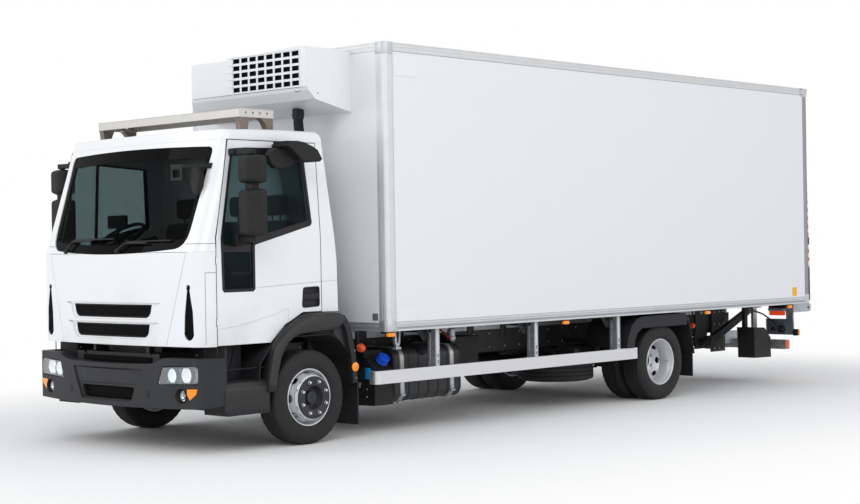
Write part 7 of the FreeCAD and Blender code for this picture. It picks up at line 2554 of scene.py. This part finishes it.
@dataclass
class TailLift:
    """Planks, frame and foil of the platform, and details of its arms."""

    # Half the platform's width, and heights of its foot, its bend and its tip while folded.
    half: float = 1.235
    low: float = 0.900
    knee: float = 1.250
    top: float = 2.320
    planks: int = 10
    foil_heights: Pair = (1.317, 2.294)
    # The arms' two pins, as (along, up), and the radius of each pin's cap.
    pivot: Pair = (6.643, 0.465)
    pivot_cap: float = 0.064
    tip: Pair = (7.620, 0.850)
    tip_cap: float = 0.027

    def face(self, z: float) -> float:
        """Y of the platform's outer face at a height while it is folded."""
        return 7.662 - max(z - self.knee, 0.0) * 0.032 / (self.top - self.knee)

    def build(self) -> None:
        """Builds all of it on the platform and its arms."""
        self.build_planks()
        self.build_edges()
        self.build_foil()
        self.build_fittings()
        self.build_arms()

    def build_planks(self) -> None:
        """Builds the planks and posts of the outer face, and the tread on the inner one."""
        planks, grip = Mould(), Mould()
        span = (self.top - self.low - 0.16) / self.planks
        for k in range(self.planks):
            near, far = self.low + 0.09 + k * span + 0.003, self.low + 0.09 + (k + 1) * span
            planks.prism(((self.face(near) - 0.002, near), (self.face(near) + 0.003, near + 0.003),
                          (self.face(far) + 0.003, far - 0.003), (self.face(far) - 0.002, far)),
                         Axis.X, -self.half + 0.050, self.half - 0.050, 0.001, 1)
        for x in (-self.half, self.half - 0.042):
            planks.prism(((self.face(self.low) - 0.002, self.low + 0.004),
                          (self.face(self.low) + 0.006, self.low + 0.010),
                          (self.face(self.knee) + 0.006, self.knee),
                          (self.face(self.top) + 0.006, self.top - 0.010),
                          (self.face(self.top) - 0.002, self.top - 0.004)), Axis.X, x,
                         x + 0.042, 0.002)
        planks.slab((-self.half, 7.601, self.top - 0.006), (self.half, 7.630, self.top + 0.004),
                    0.003)
        planks.piece("platform_planks", CROSS_ALUMINIUM, "tail_lift_platform", "rail_aluminium")
        grip.slab((-self.half + 0.03, 7.5975, self.low + 0.06),
                  (self.half - 0.03, 7.6005, self.top - 0.05), 0.001, 1)
        grip.piece("platform_tread", GRIP_PLATE, "tail_lift_platform", "floor_aluminium")

    def build_edges(self) -> None:
        """Builds the bright side edges and their black lower corners."""
        edges, lower = Mould(), Mould()
        edges.prism(((7.6015, self.low + 0.020), (self.face(self.low) + 0.006, self.low + 0.020),
                     (self.face(self.knee) + 0.006, self.knee),
                     (self.face(self.top) + 0.006, self.top - 0.010),
                     (7.6015, self.top - 0.010)), Axis.X, self.half - 0.002, self.half + 0.026,
                    0.003)
        lower.prism(((7.6000, self.low + 0.016), (self.face(self.low) + 0.008, self.low + 0.016),
                     (self.face(1.290) + 0.008, 1.290), (7.6000, 1.290)), Axis.X,
                    self.half - 0.001, self.half + 0.0275, 0.002)
        lower.slab((self.half + 0.024, 7.612, 1.560), (self.half + 0.040, 7.648, 1.640), 0.004)
        lower.both_sides().piece("platform_corners", LIFT_BLACK, "tail_lift_platform",
                                 "chassis_black")
        edges.both_sides().piece("platform_edges", PORTAL_STEEL, "tail_lift_platform",
                                 "rail_aluminium")

    def build_foil(self) -> None:
        """Builds the striped foil round each side edge."""
        foil = Mould()
        foot, head = self.foil_heights
        near, far = self.face(foot), self.face(head)
        foil.prism(((7.6040, foot), (near + 0.003, foot), (far + 0.003, head), (7.6040, head)),
                   Axis.X, self.half + 0.0255, self.half + 0.0272)
        foil.prism(((near + 0.0050, foot), (near + 0.0072, foot), (far + 0.0072, head),
                    (far + 0.0050, head)), Axis.X, self.half - 0.020, self.half + 0.0265)
        foil.both_sides().piece("platform_foil", RED_WHITE, "tail_lift_platform", "lamp_red")

    def build_fittings(self) -> None:
        """Builds the platform's pins, foot switches and warning lamps."""
        pins, black, amber = Mould(), Mould(), Mould()
        for low, high in ((0.468, 0.479), (0.622, 0.633)):
            pins.rod((low, *self.tip), (high, *self.tip), 0.022, 6, 0.002)
        pins.both_sides().piece("platform_pins", ZINC, "tail_lift_platform", "galvanised")
        for x in (0.880, 1.000):
            black.lathe([(-0.001, 0.034), (0.006, 0.034), (0.010, 0.028), (0.014, 0.012),
                         (0.014, 0.0)], (x, 7.664, 1.100), Axis.Y, 28)
        for x in (-1.120, 1.120):
            black.slab((x - 0.036, self.face(2.22) + 0.001, 2.186),
                       (x + 0.036, self.face(2.22) + 0.010, 2.254), 0.003)
            amber.slab((x - 0.028, self.face(2.22) + 0.008, 2.194),
                       (x + 0.028, self.face(2.22) + 0.016, 2.246), 0.003)
        black.piece("platform_switches", BLACK_TRIM, "tail_lift_platform", "black_plastic")
        amber.piece("platform_lamps", AMBER_LENS, "tail_lift_platform", "lamp_clear")

    def build_arms(self) -> None:
        """Builds the arms' pin caps and bolts, and the power pack on the chassis."""
        arms = Mould()
        for (y, z), radius in ((self.pivot, self.pivot_cap), (self.tip, self.tip_cap)):
            arms.lathe([(-0.001, radius), (0.005, radius - 0.002), (0.007, radius * 0.7),
                        (0.007, 0.0)], (0.580, y, z), segments=28)
        (first, foot), (last, head) = self.pivot, self.tip
        arms.studs([(0.580, first + (last - first) * share, foot + (head - foot) * share)
                    for share in (0.18, 0.34, 0.66, 0.82)], Axis.X, 0.012, 0.007, 1.0, 6)
        arms.both_sides().piece("arm_bolts", LIFT_BLACK, "tail_lift_arms", "chassis_black")
        pump = Mould()
        pump.slab((-0.330, 6.700, 0.520), (0.330, 6.960, 0.700), 0.010)
        pump.rod((-0.300, 7.020, 0.640), (0.120, 7.020, 0.640), 0.050, 28, 0.006)
        for x in (-0.20, 0.20):
            pump.rod((x, 6.700, 0.470), (x, 7.080, 0.470), 0.036, 24, 0.004)
            pump.rod((x, 7.080, 0.470), (x, 7.150, 0.470), 0.018, 16, 0.002)
        pump.piece("lift_power_pack", LIFT_BLACK, "chassis", "chassis_black")


@dataclass
class MudguardDetail:
    """Ribs and lamps of the rear mudguards, wiring ducts and glass of the kerb mirror."""

    lamp: Point = (1.060, 5.590, 0.713)

    def build(self) -> None:
        """Builds all of it."""
        self.build_ribs()
        self.build_ducts()
        self.build_lamps()
        glass = Mould()
        edge = ((-0.478, 2.336), (-0.444, 2.376), (-0.384, 2.392), (-0.360, 2.330),
                (-0.372, 2.262), (-0.412, 2.250), (-0.450, 2.280))
        glass.prism(edge, Axis.X, 1.1685, 1.1715, 0.0008, 1)
        glass.piece("kerb_glass", MIRROR_GLASS, "left_door", "lamp_clear")

    def build_ribs(self) -> None:
        """Builds the ribs of the flaps and the guards' bolts."""
        ribs = Mould()
        for z in steps(0.240, 0.440, 4):
            ribs.slab((0.760, 5.3275, z - 0.007), (1.205, 5.3310, z + 0.007), 0.001, 1)
        for y, z in ((-0.590, 0.600), (-0.480, 0.790), (-0.100, 0.842), (0.250, 0.846),
                     (0.440, 0.790)):
            ribs.studs([(1.264, WHEELBASE + y + 0.02, z)], Axis.X, 0.008, 0.003)
        ribs.both_sides().piece("mudguard_ribs", BLACK_TRIM, "chassis", "black_plastic")

    def build_ducts(self) -> None:
        """Builds the ducts of the wiring along the frame."""
        duct = Mould()
        duct.slab((0.300, 3.300, 0.505), (0.345, 5.000, 0.580), 0.010)
        duct.tube([(0.325, 3.250, 0.560), (0.325, 3.100, 0.600), (0.325, 2.950, 0.640)], 0.018,
                  12)
        duct.both_sides().piece("wiring_ducts", TANK_PLAIN, "chassis", "black_plastic")

    def build_lamps(self) -> None:
        """Builds the round lamps behind the guards, each on its stalk."""
        lamp = Mould()
        for profile in ([(-0.006, 0.028), (0.006, 0.028), (0.014, 0.022), (0.017, 0.010),
                         (0.018, 0.0)],
                        [(0.006, 0.028), (-0.006, 0.028), (-0.014, 0.022), (-0.018, 0.0)]):
            lamp.lathe(profile, self.lamp, Axis.Y, 32)
        lamp.both_sides().piece("guard_lamps", ORANGE_LENS, "chassis", "lamp_red")
        stalk = Mould()
        x, y, _ = self.lamp
        stalk.rod((x, y, 0.738), (x, y, 0.884), 0.008, 12)
        stalk.both_sides().piece("guard_lamp_stalks", BLACK_TRIM, "chassis", "black_plastic")


PARTS = (Wheels(), Windscreen(), FrontPanel(), FrontLamps(), BumperTrim(),
         Door("left", 1.0), Door("right", -1.0), Mirrors(), CabInterior(), InsulatedBody(),
         CoolingUnit(), RoofBar(), TankSet(), SideFittings(), WingSteps(), Underframe(),
         RearEnd(), TailLift(), MudguardDetail())


# ------------------------------------------------------------------ putting it together


NODE_FINISHES: tuple[tuple[Finish, tuple[str, ...]], ...] = (
    (CAB_WHITE, ("cab_roof", "cab_rear_wall", "cab_pillars", "front_panel", "corner_panels",
                 "door_left", "door_right")),
    (SCREEN, ("cab_glass",)),
    (WINDOW, ("door_glass_left", "door_glass_right")),
    # The grille takes the near-black finish that paints the shade in its openings
    (SLOT_SHADE_BLACK, ("front_grille",)),
    (BLACK_TRIM, ("front_apron", "front_wings", "rear_mudguards")),
    (BUMPER_BLACK, ("bumper",)),
    (MIRROR_BLACK, ("mirrors_left", "mirrors_right", "front_mirror")),
    (TANK_BLACK, ("fuel_tank",)),
    (TANK_PLAIN, ("additive_tank", "chassis_boxes")),
    (SHADED_CABIN_DARK, ("dashboard", "cab_floor")),
    (CLOTH, ("seats",)),
    (CLEAR_LENS, ("headlamps",)),
    (RED_LENS, ("rear_lamps",)),
    (BAR_PLATE, ("roof_bar",)),
    (BOX_WHITE, ("box_walls", "box_roof", "rear_flap")),
    (RAIL_ALUMINIUM, ("box_rails",)),
    (PORTAL_STEEL, ("portal_frame",)),
    (FLOOR_PLATE, ("box_floor",)),
    (UNIT_WHITE, ("cooling_unit",)),
    (HOSE, ("unit_conduit",)),
    (GUARD_WHITE, ("side_guards",)),
    (ZINC, ("under_run_bar", "subframe_rails")),
    (LIFT_BLACK, ("lift_frame", "lift_arms")),
    (CROSS_ALUMINIUM, ("platform",)),
    (FRAME_BLACK, ("frame_rails", "cross_members", "powertrain", "drive_shaft", "front_axle",
                   "rear_axle", "leaf_springs", "knuckle_left", "knuckle_right",
                   "spare_carrier")),
    (RUBBER, ("tyre_front_left", "tyre_front_right", "tyre_rear_left", "tyre_rear_right",
              "spare_tyre")),
    (RIM_SILVER, ("rim_front_left", "rim_front_right", "rim_rear_left", "rim_rear_right")),
)


def dress_nodes(nodes: dict[str, bpy.types.Object]) -> None:
    """Gives every CAD node its finish."""
    for finish, names in NODE_FINISHES:
        for name in names:
            nodes[name].data.materials.clear()
            nodes[name].data.materials.append(finish.material())
    left_over = set(nodes) - {name for _, names in NODE_FINISHES for name in names}
    if left_over:
        raise ValueError(f"no finish for {sorted(left_over)}")


def main() -> None:
    """Builds the scene."""
    logging.basicConfig(level=logging.INFO, format="%(message)s")
    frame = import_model()
    dress_nodes(frame["nodes"])
    for part in PARTS:
        LOG.info("building %s", type(part).__name__)
        part.build()
    Studio().build()
    bpy.context.scene.view_settings.view_transform = "Standard"


if __name__ == "__main__":
    main()
